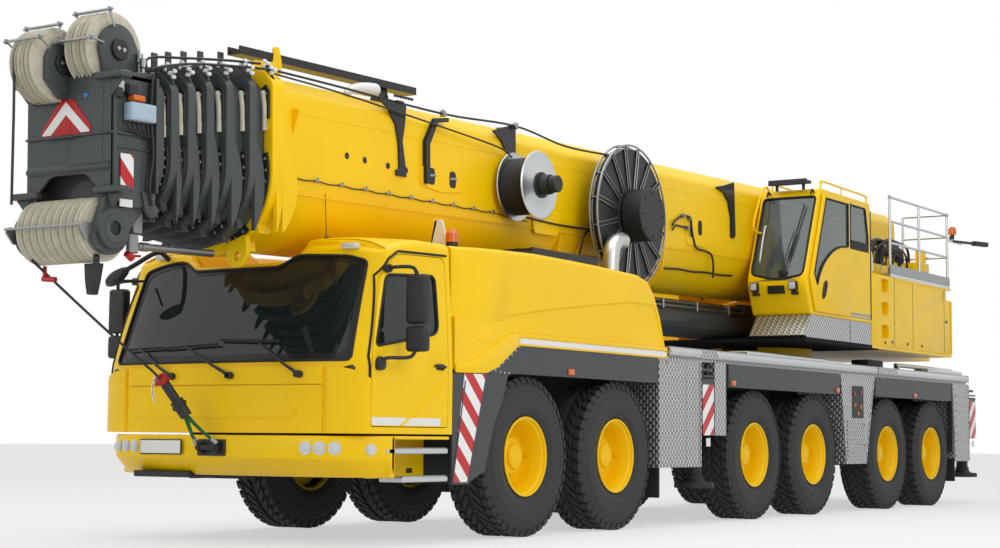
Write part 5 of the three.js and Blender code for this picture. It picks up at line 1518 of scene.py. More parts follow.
def buildHead():
    front, rear, half = head["front"], head["rear"], head["half"]
    body = Shape(boomSpace)
    for side in (1, -1):
        cheek = [(front + 0.004, -0.28), (front + 0.004, 0.68), (rear, 0.76), (rear, -0.28),
            (front + 0.3, -0.33)]
        body.prism(cheek, "x", side * (half - 0.04), side * half, 0.004)
        body.block((side * (half - 0.012), side * (half + 0.02)), (front + 0.02, front + 0.055),
            (-0.18, 0.66), 0.004)
        body.block((side * (half - 0.012), side * (half + 0.05)), (rear - 0.03, rear), (-0.2, 0.7), 0.004)
        body.block((side * (half - 0.01), side * (half + 0.025)), (front, rear), (0.225, 0.245), 0.004)
        body.block((side * (half - 0.01), side * (half + 0.015)), (front + 0.05, rear), (0.12, 0.135), 0.004)
        # corner ears above and below
        for level in (0.645, -0.235):
            ear = rounded([(0.3, front + 0.02), (0.3, front - 0.045), (0.56, front - 0.055),
                (0.6, front - 0.02), (0.6, front + 0.1), (half, front + 0.13)],
                [0.01, 0.02, 0.04, 0.04, 0.06, 0.02], 5)
            body.prism([(side * a, b) for a, b in ear], "z", level, level + 0.05, 0.012, 3)
            body.prism([(side * (half - 0.02), level), (side * 0.57, level), (side * half, level - 0.13)],
                "y", front + 0.005, front + 0.025, 0.003)
    plate = [(-half, -0.3), (-half, 0.68), (half, 0.68), (half, -0.3), (0.36, -0.3), (0.33, -0.2),
        (0.19, -0.07), (-0.19, -0.07), (-0.33, -0.2), (-0.36, -0.3)]
    body.prism(rounded(plate, [0.01, 0.01, 0.01, 0.01, 0.02, 0.04, 0.06, 0.06, 0.04, 0.02], 4), "y",
        front, front + 0.025, 0.004)
    body.block((-0.37, 0.37), (front - 0.004, front + 0.002), (-0.045, 0.59), 0.002)
    body.prism([(front, -0.06), (front - 0.022, -0.035), (front - 0.022, -0.015), (front, 0.015)], "x",
        -0.44, 0.44, 0.002)
    body.block((-0.44, 0.44), (front - 0.03, front), (0.222, 0.236), 0.003)
    body.block((-0.2, 0.1), (front - 0.05, front), (0.216, 0.224), 0.002)
    body.block((-half, half), (front, rear), (0.66, 0.7), 0.006)
    body.block((-0.4, 0.4), (front + 0.16, front + 0.18), (-0.3, 0.66), 0.003)
    # hangers for the lower sheaves
    cy, cz = head["lower"]
    for side in (1, -1):
        arc = [(cy + 0.2 * math.cos(a), cz + 0.2 * math.sin(a))
            for a in (math.radians(200 + 10 * k) for k in range(17))]
        body.prism([(front + 0.03, -0.16), *arc, (rear + 0.02, -0.24), (rear + 0.02, -0.16)], "x",
            side * 0.372, side * 0.424, 0.006, 2)
        arc = [(rear - 0.02 + 0.05 * math.cos(a), -0.34 + 0.05 * math.sin(a))
            for a in (math.radians(-100 + 20 * k) for k in range(10))]
        body.prism([(rear - 0.15, -0.2), (rear - 0.12, -0.33), *arc, (rear, -0.2)], "x", side * 0.43,
            side * 0.47, 0.005, 2)
    # plates of the upper sheaves
    y1, z1 = head["upperRight"]
    y2, z2 = head["upperLeft"]
    arc = [(y1 + 0.2 * math.cos(a), z1 + 0.2 * math.sin(a))
        for a in (math.radians(185 - 12 * k) for k in range(13))]
    for x in (0.312, 0.006):
        body.prism([(y1 - 0.14, 0.67), *arc, (rear + 0.05, 0.72), (rear + 0.05, 0.67)], "x", x, x + 0.032,
            0.005, 2)
    arc = [(y2 + 0.17 * math.cos(a), z2 + 0.17 * math.sin(a))
        for a in (math.radians(190 - 12 * k) for k in range(17))]
    for x in (-0.345, -0.048):
        body.prism([(front - 0.09, 0.53), (y2 - 0.17, 0.66), *arc, (y2 + 0.2, 0.6), (front, 0.53)], "x",
            x, x + 0.036, 0.005, 2)
    body.prism(rounded([(-0.36, 0.5), (0.0, 0.53), (0.0, 0.545), (-0.36, 0.52)], 0.002), "y",
        front - 0.06, front, 0.002)
    body.make("head_frame", grey, "head")

    dark, bolts = Shape(boomSpace), Shape(boomSpace)
    for x, (y, z) in ((0.344, head["upperRight"]), (-0.012, head["upperLeft"])):
        dark.tube([(x, y, z), (x + 0.022, y, z), (x + 0.028, y, z)], [0.085, 0.085, 0.078], 32)
        for d in (-0.03, 0.03):
            bolts.bolt((x + 0.028, y + d, z - 0.1 * d), (1, 0, 0), 0.011, 0.012)
    dark.tube([(-0.345, y2, z2), (-0.37, y2, z2)], 0.08, 28)
    dark.block((0.33, 0.36), (cy - 0.1, cy - 0.04), (-0.92, -0.7), 0.01)
    dark.prism(rounded([(0.16, -0.76), (0.3, -0.76), (0.27, -0.9), (0.24, -1.0), (0.19, -1.0),
        (0.17, -0.9)], 0.01), "y", cy - 0.02, cy + 0.06, 0.006)
    dark.block((half, half + 0.06), (-15.46, -15.36), (0.53, 0.62), 0.008)
    dark.block((half, half + 0.04), (-15.58, -15.5), (0.5, 0.58), 0.008)
    for k in range(6):
        a = -15.46 + k * 0.05
        dark.tube(smoothPath([(half + 0.05, a, 0.335), (half + 0.055, a + 0.01, 0.27),
            (half + 0.03, -15.22, 0.22)], 4), 0.008, 6)
    for x, y in ((half + 0.025, -15.17), (half + 0.045, -15.19)):
        dark.tube(smoothPath([(x, y, 0.72), (x, y - 0.02, 0.4), (x + 0.01, y, 0.1), (x, y - 0.03, -0.15),
            (x - 0.01, y + 0.01, -0.3)], 5), 0.011, 8)
    dark.make("head_black_parts", plastic, "head")
    bolts.make("head_bolts", stainless, "head")

    rods = Shape(boomSpace)
    for x0, x1, (y, z), r, angles in ((0.02, 0.34, head["upperRight"], 0.318, (112, 172)),
            (-0.34, -0.02, head["upperLeft"], 0.308, (100, 146))):
        for angle in angles:
            a = math.radians(angle)
            p = (y + r * math.cos(a), z + r * math.sin(a))
            rods.bar((x0 - 0.05, *p), (x1 + 0.05, *p), 0.012, 10)
            for x in (x0 - 0.02, x1 + 0.02):
                rods.prism([(p[0] - 0.02, p[1] - 0.02), (p[0] + 0.02, p[1] - 0.02),
                    (p[0] + 0.02, p[1] + 0.02), (p[0] - 0.02, p[1] + 0.02)], "x", x - 0.006, x + 0.006, 0.002)
                rods.bar((x, *p), (x, y + 0.18 * math.cos(a), z + 0.18 * math.sin(a)), 0.008, 8)
    rods.bar((-0.44, cy - 0.268, cz + 0.02), (0.4, cy - 0.268, cz + 0.02), 0.011, 10)
    for x in (-0.42, 0.38):
        rods.prism(rounded([(cy - 0.285, cz + 0.0), (cy - 0.25, cz + 0.04), (cy - 0.1, cz + 0.03),
            (cy - 0.1, cz - 0.06), (cy - 0.2, cz - 0.1)], 0.02), "x", x - 0.008, x + 0.008, 0.002)
    for start, end, radius in ((-15.1, -14.22, 0.03), (-15.06, -14.98, 0.036), (-14.62, -14.6, 0.034)):
        rods.tube([(0.25, start, -0.6), (0.25, end, -0.6)], radius, 16)
    rods.block((0.22, 0.28), (-15.2, -15.1), (-0.66, -0.5), 0.012)
    rods.block((0.235, 0.265), (-15.15, -15.05), (-0.5, -0.3), 0.006)
    for x, z in ((0.4, 0.78), (0.36, 0.82)):
        rods.tube([(x, -15.2, 0.7), (x, -15.2, z), (x, -15.2, z + 0.01), (x, -15.2, z + 0.08)],
            [0.02, 0.02, 0.028, 0.028], 12)
    rods.make("head_rods", steel, "head")
    lever = Shape(boomSpace).tube([(0.25, -15.21, -0.66), (0.25, -15.15, -0.7)], 0.03, 12)
    lever.bar((0.25, -15.21, -0.68), (0.25, -15.06, -0.675), 0.01, 8)
    lever.bar((-0.28, cy, -0.76), (-0.28, cy, -0.86), 0.016, 10)
    lever.bar((-0.28, cy - 0.02, -0.86), (-0.16, cy, -0.87), 0.022, 10)
    lever.make("head_levers", red, "head")

    # warning board on the nose
    board = Shape(boomSpace).prism(rounded([(-0.28, 0.24), (-0.28, 0.29), (-0.08, 0.52), (0.06, 0.52),
        (0.25, 0.3), (0.25, 0.24)], 0.02), "y", front - 0.012, front - 0.004, 0.002)
    board.make("warning_board", red, "head")
    mark = Shape(boomSpace).prism([(-0.265, 0.25), (-0.265, 0.262), (-0.015, 0.5), (0.24, 0.262),
        (0.24, 0.25), (0.15, 0.25), (-0.012, 0.4), (-0.175, 0.25)], "y", front - 0.0145, front - 0.011)
    mark.make("warning_mark", white, "head")
    blue = Shape(boomSpace)
    for x, z in ((-0.19, 0.515), (0.2, 0.535)):
        blue.tube([(x, front - 0.004, z), (x, front - 0.016, z)], 0.018, 16)
    blue.make("blue_plugs", buildMoulded("blue polythene cap", "#2E7FC4", 0.4), "head")
    box = Shape(boomSpace).block((half + 0.005, half + 0.1), (-15.47, -15.2), (0.335, 0.475), 0.012, 2)
    box.block((half + 0.09, half + 0.104), (-15.46, -15.21), (0.345, 0.465), 0.006)
    box.make("junction_box", paleBlue, "head")
    lamp_ = Shape(boomSpace).block((half + 0.01, half + 0.08), (-15.43, -15.3), (0.49, 0.535), 0.008)
    lamp_.make("orange_relay", orange, "head")
    panel = Shape(boomSpace).block((half + 0.002, half + 0.014), (-15.5, -15.36), (-0.19, 0.08), 0.002)
    panel.make("head_striped_panel", stripes["left"], "head")
    panel = Shape(boomSpace).block((-half - 0.014, -half - 0.002), (-15.5, -15.36), (-0.19, 0.08), 0.002)
    panel.make("head_striped_panel_right", stripes["right"], "head")
    label = Shape(boomSpace).block((half + 0.001, half + 0.006), (-15.57, -15.46), (0.56, 0.64), 0.002)
    label.block((half + 0.001, half + 0.006), (-15.5, -15.36), (-0.33, -0.27), 0.002)
    label.make("blank_plates", white, "head")

    wheels = Shape(boomSpace)
    for k in range(3):
        sheave(wheels, 0.05 + k * 0.085, 0.13 + k * 0.085, y1, z1, 0.3, 0.262)
    for k in range(3):
        sheave(wheels, -0.305 + k * 0.083, -0.225 + k * 0.083, y2, z2, 0.29, 0.252)
    wheels.make("upper_sheaves", nylon, "head")

    wheels = Shape(boomSpace)
    for k in range(9):
        sheave(wheels, -0.348 + k * 0.0773, -0.348 + (k + 1) * 0.0773, cy, cz, 0.25, 0.224)
    wheels.make("ribbed_sheaves", nylon, "sheaves", replaces=("lower_sheaves",))
    hubs, bores = Shape(boomSpace), Shape(boomSpace)
    for side in (1, -1):
        hubs.spin([(0.056, 0), (0.056, 0.05), (0.068, 0.056), (0.11, 0.056), (0.118, 0.048),
            (0.15, 0.044), (0.158, 0.036), (0.158, 0), (0.056, 0)], (side * 0.426, cy, cz), "x", 48, side)
        bores.tube([(side * 0.44, cy, cz), (side * 0.462, cy, cz)], 0.06, 32)
    hubs.make("sheave_hubs", grey, "sheaves")
    bores.make("sheave_bores", black, "sheaves")


def arcPath(x, y, z, r, start, end, steps=14):
    return [(x, y + r * math.cos(math.radians(start + (end - start) * k / steps)),
        z + r * math.sin(math.radians(start + (end - start) * k / steps))) for k in range(steps + 1)]


def reelSpot(joint):
    p = boomSpace.inverted() @ Vector(joints[joint]["pos_m"])
    return (p.y, p.z)


def buildRopes():
    # hoist rope over the head, then taut to the hitch in the bumper
    y2, z2 = head["upperLeft"]
    x = -0.265
    over = [(x, -15.13, 1.0), (x, -15.3, 1.055)] + arcPath(x, y2, z2, 0.262, 82, 180, 16)
    lead = Shape(boomSpace).tube(over + [(x, y2 - 0.262, 0.4), (x - 0.08, y2 - 0.2, -0.3)], 0.011, 8)
    lead.make("hoist_rope_head", rope, "head")
    top = Shape(boomSpace).tube([(x, -13.8, 0.97), (x, -10, 0.965), (x, -4, 0.962), (x, -2.2, 0.96)],
        0.011, 8)
    for y in (-13.85, -7, -2.2):
        top.block((x - 0.04, x + 0.04), (y - 0.03, y + 0.03), (0.925, 0.99), 0.01)
    top.make("hoist_rope_top", rope, "base")
    # the rope leaves the lower sheaves at the tangent towards the hitch
    socket = Vector((-0.28, -2.98, 1.36))
    low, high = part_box("lower_sheaves")
    centre = road.inverted() @ ((low + high) / 2)
    reach = (high.z - low.z) / 2 + 0.006
    gap = Vector((0, socket.y - centre.y, socket.z - centre.z))
    swing = math.atan2(gap.z, gap.y) - math.acos(reach / gap.length)
    start = Vector((-0.28, centre.y + reach * math.cos(swing), centre.z + reach * math.sin(swing)))
    pull = (Vector((-0.02, -2.75, 0.85)) - socket).normalized()
    route = [start.lerp(socket, k / 15) - Vector((0, 0, 0.012 * math.sin(math.pi * k / 15)))
        for k in range(16)]
    route = smoothPath(route[:-1] + [socket + pull * 0.1, socket + pull * 0.2, socket + pull * 0.3], 2)
    fall = Shape().tube(route, 0.011, 8).make("hitch_rope", rope, "carrier")
    dark = Shape()
    dark.tube([socket, socket + pull * 0.05, socket + pull * 0.2], [0.03, 0.042, 0.04], 16)
    dark.tube([socket + pull * 0.2, socket + pull * 0.24, socket + pull * 0.36], [0.06, 0.055, 0.05], 12)
    dark.block((socket.x + pull.x * 0.25 - 0.05, socket.x + pull.x * 0.25 + 0.05),
        (socket.y + pull.y * 0.25 - 0.04, socket.y + pull.y * 0.25 + 0.04),
        (socket.z + pull.z * 0.25 - 0.05, socket.z + pull.z * 0.25 + 0.05), 0.015, 2)
    wedge = dark.make("rope_socket", plastic, "carrier")
    redPart = Shape().tube([socket - pull * 0.06, socket - pull * 0.02, socket + pull * 0.03],
        [0.03, 0.055, 0.05], 12)
    redPart.bar(socket + Vector((-0.07, 0, 0)), socket + Vector((0.07, -0.01, 0.01)), 0.018, 10)
    redPart.bar(socket + Vector((-0.05, -0.04, -0.03)), socket + Vector((0.05, 0.03, -0.03)), 0.014, 10)
    redPart.make("shackle", red, "carrier")
    chain = Shape()
    for k in range(11):
        t = k / 10
        spot = socket + Vector((-0.06 - 0.03 * math.sin(math.pi * t), -0.03, 0.03 - 0.2 * t))
        wide = Vector((1, 0, 0)) if k % 2 else Vector((0, 1, 0))
        link = [spot + wide * (0.009 * math.cos(a)) + Vector((0, 0, 0.016 * math.sin(a)))
            for a in (2 * math.pi * j / 12 for j in range(12))]
        chain.tube(link, 0.0035, 6, closed=True)
    chain.make("shackle_chain", chrome, "carrier")
    end = socket + pull * 0.33
    for index, spot in enumerate((Vector((-0.13, -2.72, 0.83)), Vector((0.1, -2.72, 0.84)))):
        rows = []
        for k in range(13):
            t = k / 12
            p = end.lerp(spot, t) + Vector((0, 0, -0.012 * math.sin(math.pi * t)))
            across = Vector((0.022 * (1 - 0.5 * t), 0, 0.006))
            rows.append([p - across, p + across])
        outer = [[q + Vector((0, -0.004, 0)) for q in row] for row in rows]
        inner = [[q + Vector((0, 0.004, 0)) for q in row] for row in rows]
        slab(Shape(), outer, inner).make(f"sling_{index + 1}", green, "carrier")
    tips = Shape()
    for spot in (Vector((-0.13, -2.72, 0.83)), Vector((0.1, -2.72, 0.84))):
        back = (end - spot).normalized()
        tips.tube([spot, spot + back * 0.06], 0.018, 12)
    tips.make("sling_ferrules", steel, "carrier")

    # signal cables from the reels over the collars to the head
    shape = Shape(boomSpace)
    for d, (x, z) in enumerate(((0.56, 0.99), (0.635, 0.935))):
        shape.tube(smoothPath([(x, -13.98, z), (x - 0.04, -14.3, z - 0.02), (x - 0.1, -14.8, z - 0.07),
            (x - 0.15, -15.15, z - 0.12 - 0.03 * d), (0.44, -15.19, 0.74)], 6), 0.011, 8)
    shape.make("signal_cables_head", jacket, "head")
    ry, rz = reelSpot("cable_reel_spin")
    sy, sz = reelSpot("hose_reel_spin")
    routes = [
        ("signal_cable", 0.011, [(0.54, -13.93, 0.968), (0.575, -13.0, 0.945), (0.6, -11.35, 0.905),
            (0.66, -10.15, 0.93), (0.8, -9.4, 0.8), (0.908, ry - 0.3, rz + 0.62)]),
        ("hose_cable", 0.009, [(0.625, -13.93, 0.915), (0.65, -13.0, 0.87), (0.69, -11.6, 0.76),
            (0.72, sy - 0.35, sz + 0.36), (0.712, sy - 0.1, sz + 0.29)]),
    ]
    for name, radius, corners in routes:
        route = smoothPath(corners, 6)
        cable = Shape(boomSpace).tube(route, radius, 8).make(name, jacket, "base")
    clamps = Shape(boomSpace)
    for x, y, z in ((0.6, -11.35, 0.905), (0.66, -10.15, 0.93)):
        clamps.block((x - 0.03, x + 0.03), (y - 0.02, y + 0.02), (z - 0.03, z + 0.03), 0.008, 2)
        clamps.bolt((x, y, z + 0.03), (0, 0, 1), 0.009, 0.014)
    clamps.make("signal_clamps", steel, "base")


def spokedReel(shape, x0, x1, y, z, r, shaft):
    # two wire rims joined by flat spokes to a bolted disc, on each face
    spokes = 16
    edges = Shape(boomSpace)
    for x, out in ((x0 + 0.01, -1), (x1 - 0.01, 1)):
        circle = [(x, y + (r - 0.012) * math.cos(a), z + (r - 0.012) * math.sin(a))
            for a in (2 * math.pi * k / 96 for k in range(96))]
        edges.tube(circle, 0.011, 8, closed=True)
        circle = [(x - out * 0.012, y + (r - 0.045) * math.cos(a), z + (r - 0.05) * math.sin(a))
            for a in (2 * math.pi * k / 96 for k in range(96))]
        edges.tube(circle, 0.007, 8, closed=True)
        disc = [(shaft, 0), (0.3, 0), (0.305, 0.004), (0.3, 0.012), (0.22, 0.016), (shaft, 0.016), (shaft, 0)]
        shape.spin(disc, (x - out * 0.012, y, z), "x", 64, out)
        for k in range(spokes):
            a = 2 * math.pi * (k + 0.5) / spokes
            c, d = math.cos(a), math.sin(a)
            shape.bolt((x + out * 0.003, y + 0.27 * c, z + 0.27 * d), (out, 0, 0), 0.009, 0.01)
            corners = [(0.26, -0.03), (r - 0.02, -0.022), (r - 0.02, 0.022), (0.26, 0.03)]
            shape.prism([(y + p * c - q * d, z + p * d + q * c) for p, q in corners], "x", x - 0.006,
                x + 0.002, 0.002)
            for q in (-0.024, 0.024):
                edges.bar((x + out * 0.004, y + 0.3 * c - q * d, z + 0.3 * d + q * c),
                    (x + out * 0.004, y + (r - 0.02) * c - q * d * 0.9, z + (r - 0.02) * d + q * c * 0.9),
                    0.005, 6)
    for k in range(spokes):
        a = 2 * math.pi * (k + 0.5) / spokes
        p = (y + (r - 0.03) * math.cos(a), z + (r - 0.03) * math.sin(a))
        edges.bar((x0 + 0.01, *p), (x1 - 0.01, *p), 0.008, 8)
    edges.make("signal_reel_rims", steel, "cable_drum")


def buildReelParts():
    # hose reel: pressed discs with a black winding; signal reel: one deep drum
    for name, node, body, (y, z), r, drum, x0, x1, finish, shaft in (
        ("signal_reel", "cable_reel", "cable_drum", reelSpot("cable_reel_spin"), 0.78, 0.3, 0.84, 0.95,
            iron, 0.06),
        ("hose_reel", "hose_reel", "hose_drum", reelSpot("hose_reel_spin"), 0.345, 0.2, 0.68, 0.98, alloy,
            0.05),
    ):
        big = r > 0.5
        w = x1 - x0
        t = 0.018 if big else 0.012
        shape = Shape(boomSpace)
        if big:
            spokedReel(shape, x0, x1, y, z, r, shaft)
            profile = [(shaft, 0.02), (drum, 0.02), (drum, w - 0.02), (shaft, w - 0.02), (shaft, 0.02)]
        else:
            profile = [(shaft, 0), (r * 0.96, 0), (r, 0.01), (r * 0.985, 0.018), (r * 0.94, 0.014),
                (drum, 0.016), (drum, w - 0.016), (r * 0.94, w - 0.014), (r * 0.985, w - 0.018),
                (r, w - 0.01), (r * 0.96, w), (r * 0.9, w - 0.004), (0.17, w - 0.002), (0.15, w + 0.008),
                (shaft, w + 0.008), (shaft, 0)]
        shape.spin(profile, (x0, y, z), "x", 96)
        if not big:
            for k in range(6):
                a = 2 * math.pi * k / 6
                shape.bolt((x1 + 0.006, y + 0.105 * math.cos(a), z + 0.105 * math.sin(a)), (1, 0, 0),
                    0.01, 0.01)
        shape.make(name, finish, body, replaces=(node,))
        winding = Shape(boomSpace)
        outer = r * (0.94 if big else 0.83)
        turns = 3 if big else 12
        lay = (w - 2 * t - 0.01) / turns
        profile = [(drum - 0.01, t)]
        for k in range(turns):
            middle = t + 0.005 + lay * (k + 0.5)
            for j in range(7):
                a = math.pi * (1 - j / 6)
                profile.append((outer - lay / 2 + lay / 2 * math.sin(a), middle + lay / 2 * math.cos(a)))
        profile += [(drum - 0.01, w - t), (drum - 0.01, t)]
        winding.spin(profile, (x0, y, z), "x", 72)
        winding.make(f"{name}_winding", jacket, body)
        # fixed hub: slip rings and the bracket back to the boom
        hub, mount = Shape(boomSpace), Shape(boomSpace)
        size = 0.285 if big else 0.1
        deep = 0.235 if big else 0.12
        hub.tube([(x1 + 0.012, y, z), (x1 + 0.02, y, z), (x1 + deep, y, z), (x1 + deep + 0.01, y, z)],
            [size * 0.9, size, size, size * 0.96], 48)
        for k in range(8):
            a = 2 * math.pi * k / 8
            hub.bolt((x1 + deep + 0.01, y + size * 0.82 * math.cos(a), z + size * 0.82 * math.sin(a)),
                (1, 0, 0), 0.008, 0.01)
        hub.bar((0.62, y, z), (x0 - 0.004, y, z), 0.09 if big else 0.07, 24)
        hub.bar((x0 - 0.02, y, z), (x1 + 0.03, y, z), shaft - 0.006, 24)
        if not big:
            hub.tube([(x1 + 0.13, y, z), (x1 + 0.14, y, z), (x1 + 0.21, y, z), (x1 + 0.22, y, z)],
                [0.07, 0.085, 0.085, 0.075], 28)
            hub.tube([(x1 + 0.01, y, z), (x1 + 0.03, y, z)], 0.13, 32)
        hub.make(f"{name}_hub", plastic, "base")
        mount.prism(rounded([(y - 0.16, z - 0.18), (y + 0.16, z - 0.18), (y + 0.1, z + 0.16),
            (y - 0.1, z + 0.16)], 0.05), "x", 0.62, 0.636, 0.004)
        for a, b in ((-0.11, -0.13), (0.11, -0.13), (-0.06, 0.11), (0.06, 0.11)):
            mount.bolt((0.636, y + a, z + b), (1, 0, 0), 0.012, 0.012)
        mount.make(f"{name}_mount", yellow, "base")


def buildCylinderParts():
    # hydraulic lines and head ring on the luffing cylinder
    pin = Vector(joints["cylinder_swing"]["pos_m"])
    eye = road @ Vector((0, 3.0, 2.36))
    along = (eye - pin).normalized()
    turn = Matrix.Translation(pin) @ Matrix.Rotation(math.atan2(-along.z, -along.y), 4, "X")
    shape, pipes = Shape(turn), Shape(turn)
    shape.tube([(0, -4.56, 0), (0, -4.54, 0), (0, -4.34, 0), (0, -4.32, 0)], [0.24, 0.262, 0.262, 0.24], 40)
    shape.tube([(0, -4.6, 0), (0, -4.555, 0)], [0.165, 0.21], 36)
    for k in range(12):
        a = 2 * math.pi * k / 12
        shape.bolt((0.215 * math.cos(a), -4.56, 0.215 * math.sin(a)), (0, -1, 0), 0.015, 0.02)
    shape.tube([(0, -0.5, 0), (0, -0.42, 0), (0, -0.3, 0)], [0.24, 0.25, 0.24], 40)
    shape.block((0.12, 0.26), (-0.75, -0.45), (0.1, 0.24), 0.015, 2)
    shape.make("cylinder_fittings", grey, "barrel")
    for x, z in ((0.2, 0.16), (0.24, 0.1)):
        pipes.tube(smoothPath([(x - 0.02, -0.6, z + 0.04), (x, -0.8, z + 0.02), (x, -4.2, z + 0.02),
            (x - 0.04, -4.4, z - 0.01)], 6), 0.014, 8)
    for k in range(4):
        pipes.block((0.17, 0.26), (-1.2 - k * 0.9, -1.16 - k * 0.9), (0.08, 0.2), 0.006)
    pipes.make("cylinder_pipes", steel, "barrel")


buildSections()
buildBase()
buildHead()
buildRopes()
buildReelParts()
buildCylinderParts()
print("boom built")


# carrier behind the cab

sideBody = {
    "front": -1.255,
    "rear": 2.715,
    "bottom": 1.745,
    "top": [(-1.26, 2.57), (-0.6, 2.6), (0.07, 2.62), (1.1, 2.61), (2.09, 2.58), (2.3, 2.53),
        (2.42, 2.42), (2.55, 2.2), (2.715, 1.76)],
    "channel": 2.39,
    "shoulder": 0.05,
}


def alongLine(line, y):
    for a, b in zip(line, line[1:]):
        if a[0] <= y <= b[0]:
            return a[1] + (b[1] - a[1]) * (y - a[0]) / (b[0] - a[0])
    return line[0][1] if y < line[0][0] else line[-1][1]


def sideBodyRow(y):
    top = alongLine(sideBody["top"], y)
    r = sideBody["shoulder"]
    nose = min(1, max(0, (-0.86 - y) / 0.24))  # the front edge turns in towards the cab
    w = 1.5 - 0.035 * nose
    crease = min(top - 0.1, 1.95 + 0.34 * min(1, max(0, (y + 0.64) / 2.6)) ** 0.75)
    fold = 0.016 * min(1, max(0, (y + 0.68) / 0.12)) * min(1, max(0, (top - 1.95) / 0.2))
    side = [(w - 0.004, sideBody["bottom"]), (w, 1.752), (w, 1.835), (w - fold - 0.004, 1.845),
        (w - fold, crease - 0.012), (w, crease + 0.004), (w, max(crease + 0.006, top - r))]
    arc = [(w - r + r * math.cos(a), top - r + r * math.sin(a))
        for a in (math.radians(15 * k) for k in range(1, 7))]
    valley = [(0.82, top), (0.79, top - 0.008), (0.775, top - 0.02),
        (0.64, min(top - 0.021, sideBody["channel"] + 0.01)),
        (0.6, min(top - 0.022, sideBody["channel"])), (0, min(top - 0.022, sideBody["channel"]))]
    half = side + arc + valley
    return [Vector((x, y, z)) for x, z in half] + [Vector((-x, y, z)) for x, z in reversed(half[:-1])]


def buildSideBody():
    shape = Shape()
    ys = [sideBody["front"], -1.235, -1.1, -0.98, -0.86, -0.68, -0.56, -0.3, 0.07, 0.4, 0.8, 1.2, 1.6,
        1.9, 2.09, 2.2, 2.3, 2.36, 2.42, 2.48, 2.55, 2.63, 2.69, 2.712]
    rows = [sideBodyRow(y) for y in ys]
    for q in rows[0]:
        q.x *= 0.992
    shape.grid(rows)
    shape.grid([[row[0], row[-1]] for row in rows])
    shape.put(rows[0], [tuple(range(len(rows[0])))])
    shape.put(rows[-1], [tuple(range(len(rows[-1])))])
    for side in (1, -1):
        # pressed lip that runs down to the stone guard
        lip = [(-1.25, 1.465), (-0.76, 1.475), (-0.58, 1.53), (-0.21, 1.75), (-0.24, 1.86), (-0.34, 1.85),
            (-1.02, 1.565), (-1.25, 1.555)]
        shape.prism(rounded(lip, 0.03, 3), "x", side * 1.488, side * 1.512, 0.006, 2)
        shape.prism([(-1.25, 1.5), (-0.62, 1.56), (-0.24, 1.8), (-0.24, 1.95), (-1.25, 1.95)], "x",
            side * 1.45, side * 1.496, 0.002)
        shape.prism([(-0.26, 1.82), (2.7, 1.82), (2.7, 1.86), (-0.34, 1.86)], "x", side * 1.49,
            side * 1.51, 0.005, 2)
        shape.prism([(-0.22, 1.746), (2.71, 1.746), (2.71, 1.758), (-0.22, 1.758)], "x", side * 1.49,
            side * 1.509, 0.003)
    shape.make("side_body", yellow, "carrier", replaces=("engine_cover",))
    tape, dark, pipe = Shape(), Shape(), Shape()
    for side in (1, -1):
        tape.block((side * 1.499, side * 1.5035), (-0.19, 2.69), (1.764, 1.816), 0.001)
        dark.block((side * 0.84, side * 1.18), (0.5, 1.76), (2.6, 2.7), 0.01)
        for k in range(18):
            y = 0.54 + k * 0.07
            dark.block((side * 0.83, side * 1.19), (y - 0.006, y + 0.006), (2.69, 2.73), 0.002)
        dark.block((side * 1.17, side * 1.2), (0.5, 1.76), (2.6, 2.735), 0.006)
    dark.block((-0.6, 0.6), (-0.9, 1.9), (2.385, 2.398), 0.002)
    for k in range(20):
        dark.block((-0.5, 0.5), (-0.85 + k * 0.14, -0.81 + k * 0.14), (2.395, 2.41), 0.003)
    pipe.tube(smoothPath([(1.08, 2.24, 2.45), (1.08, 2.25, 2.72), (1.08, 2.27, 2.84), (1.07, 2.34, 2.94),
        (1.06, 2.46, 2.985), (1.06, 2.54, 2.99)], 8), 0.088, 28)
    pipe.tube([(1.08, 2.25, 2.5), (1.08, 2.25, 2.56)], 0.096, 28)
    tape.make("reflector_tape", white, "carrier")
    dark.make("engine_grilles", plastic, "carrier")
    pipe.make("exhaust", stainless, "carrier")


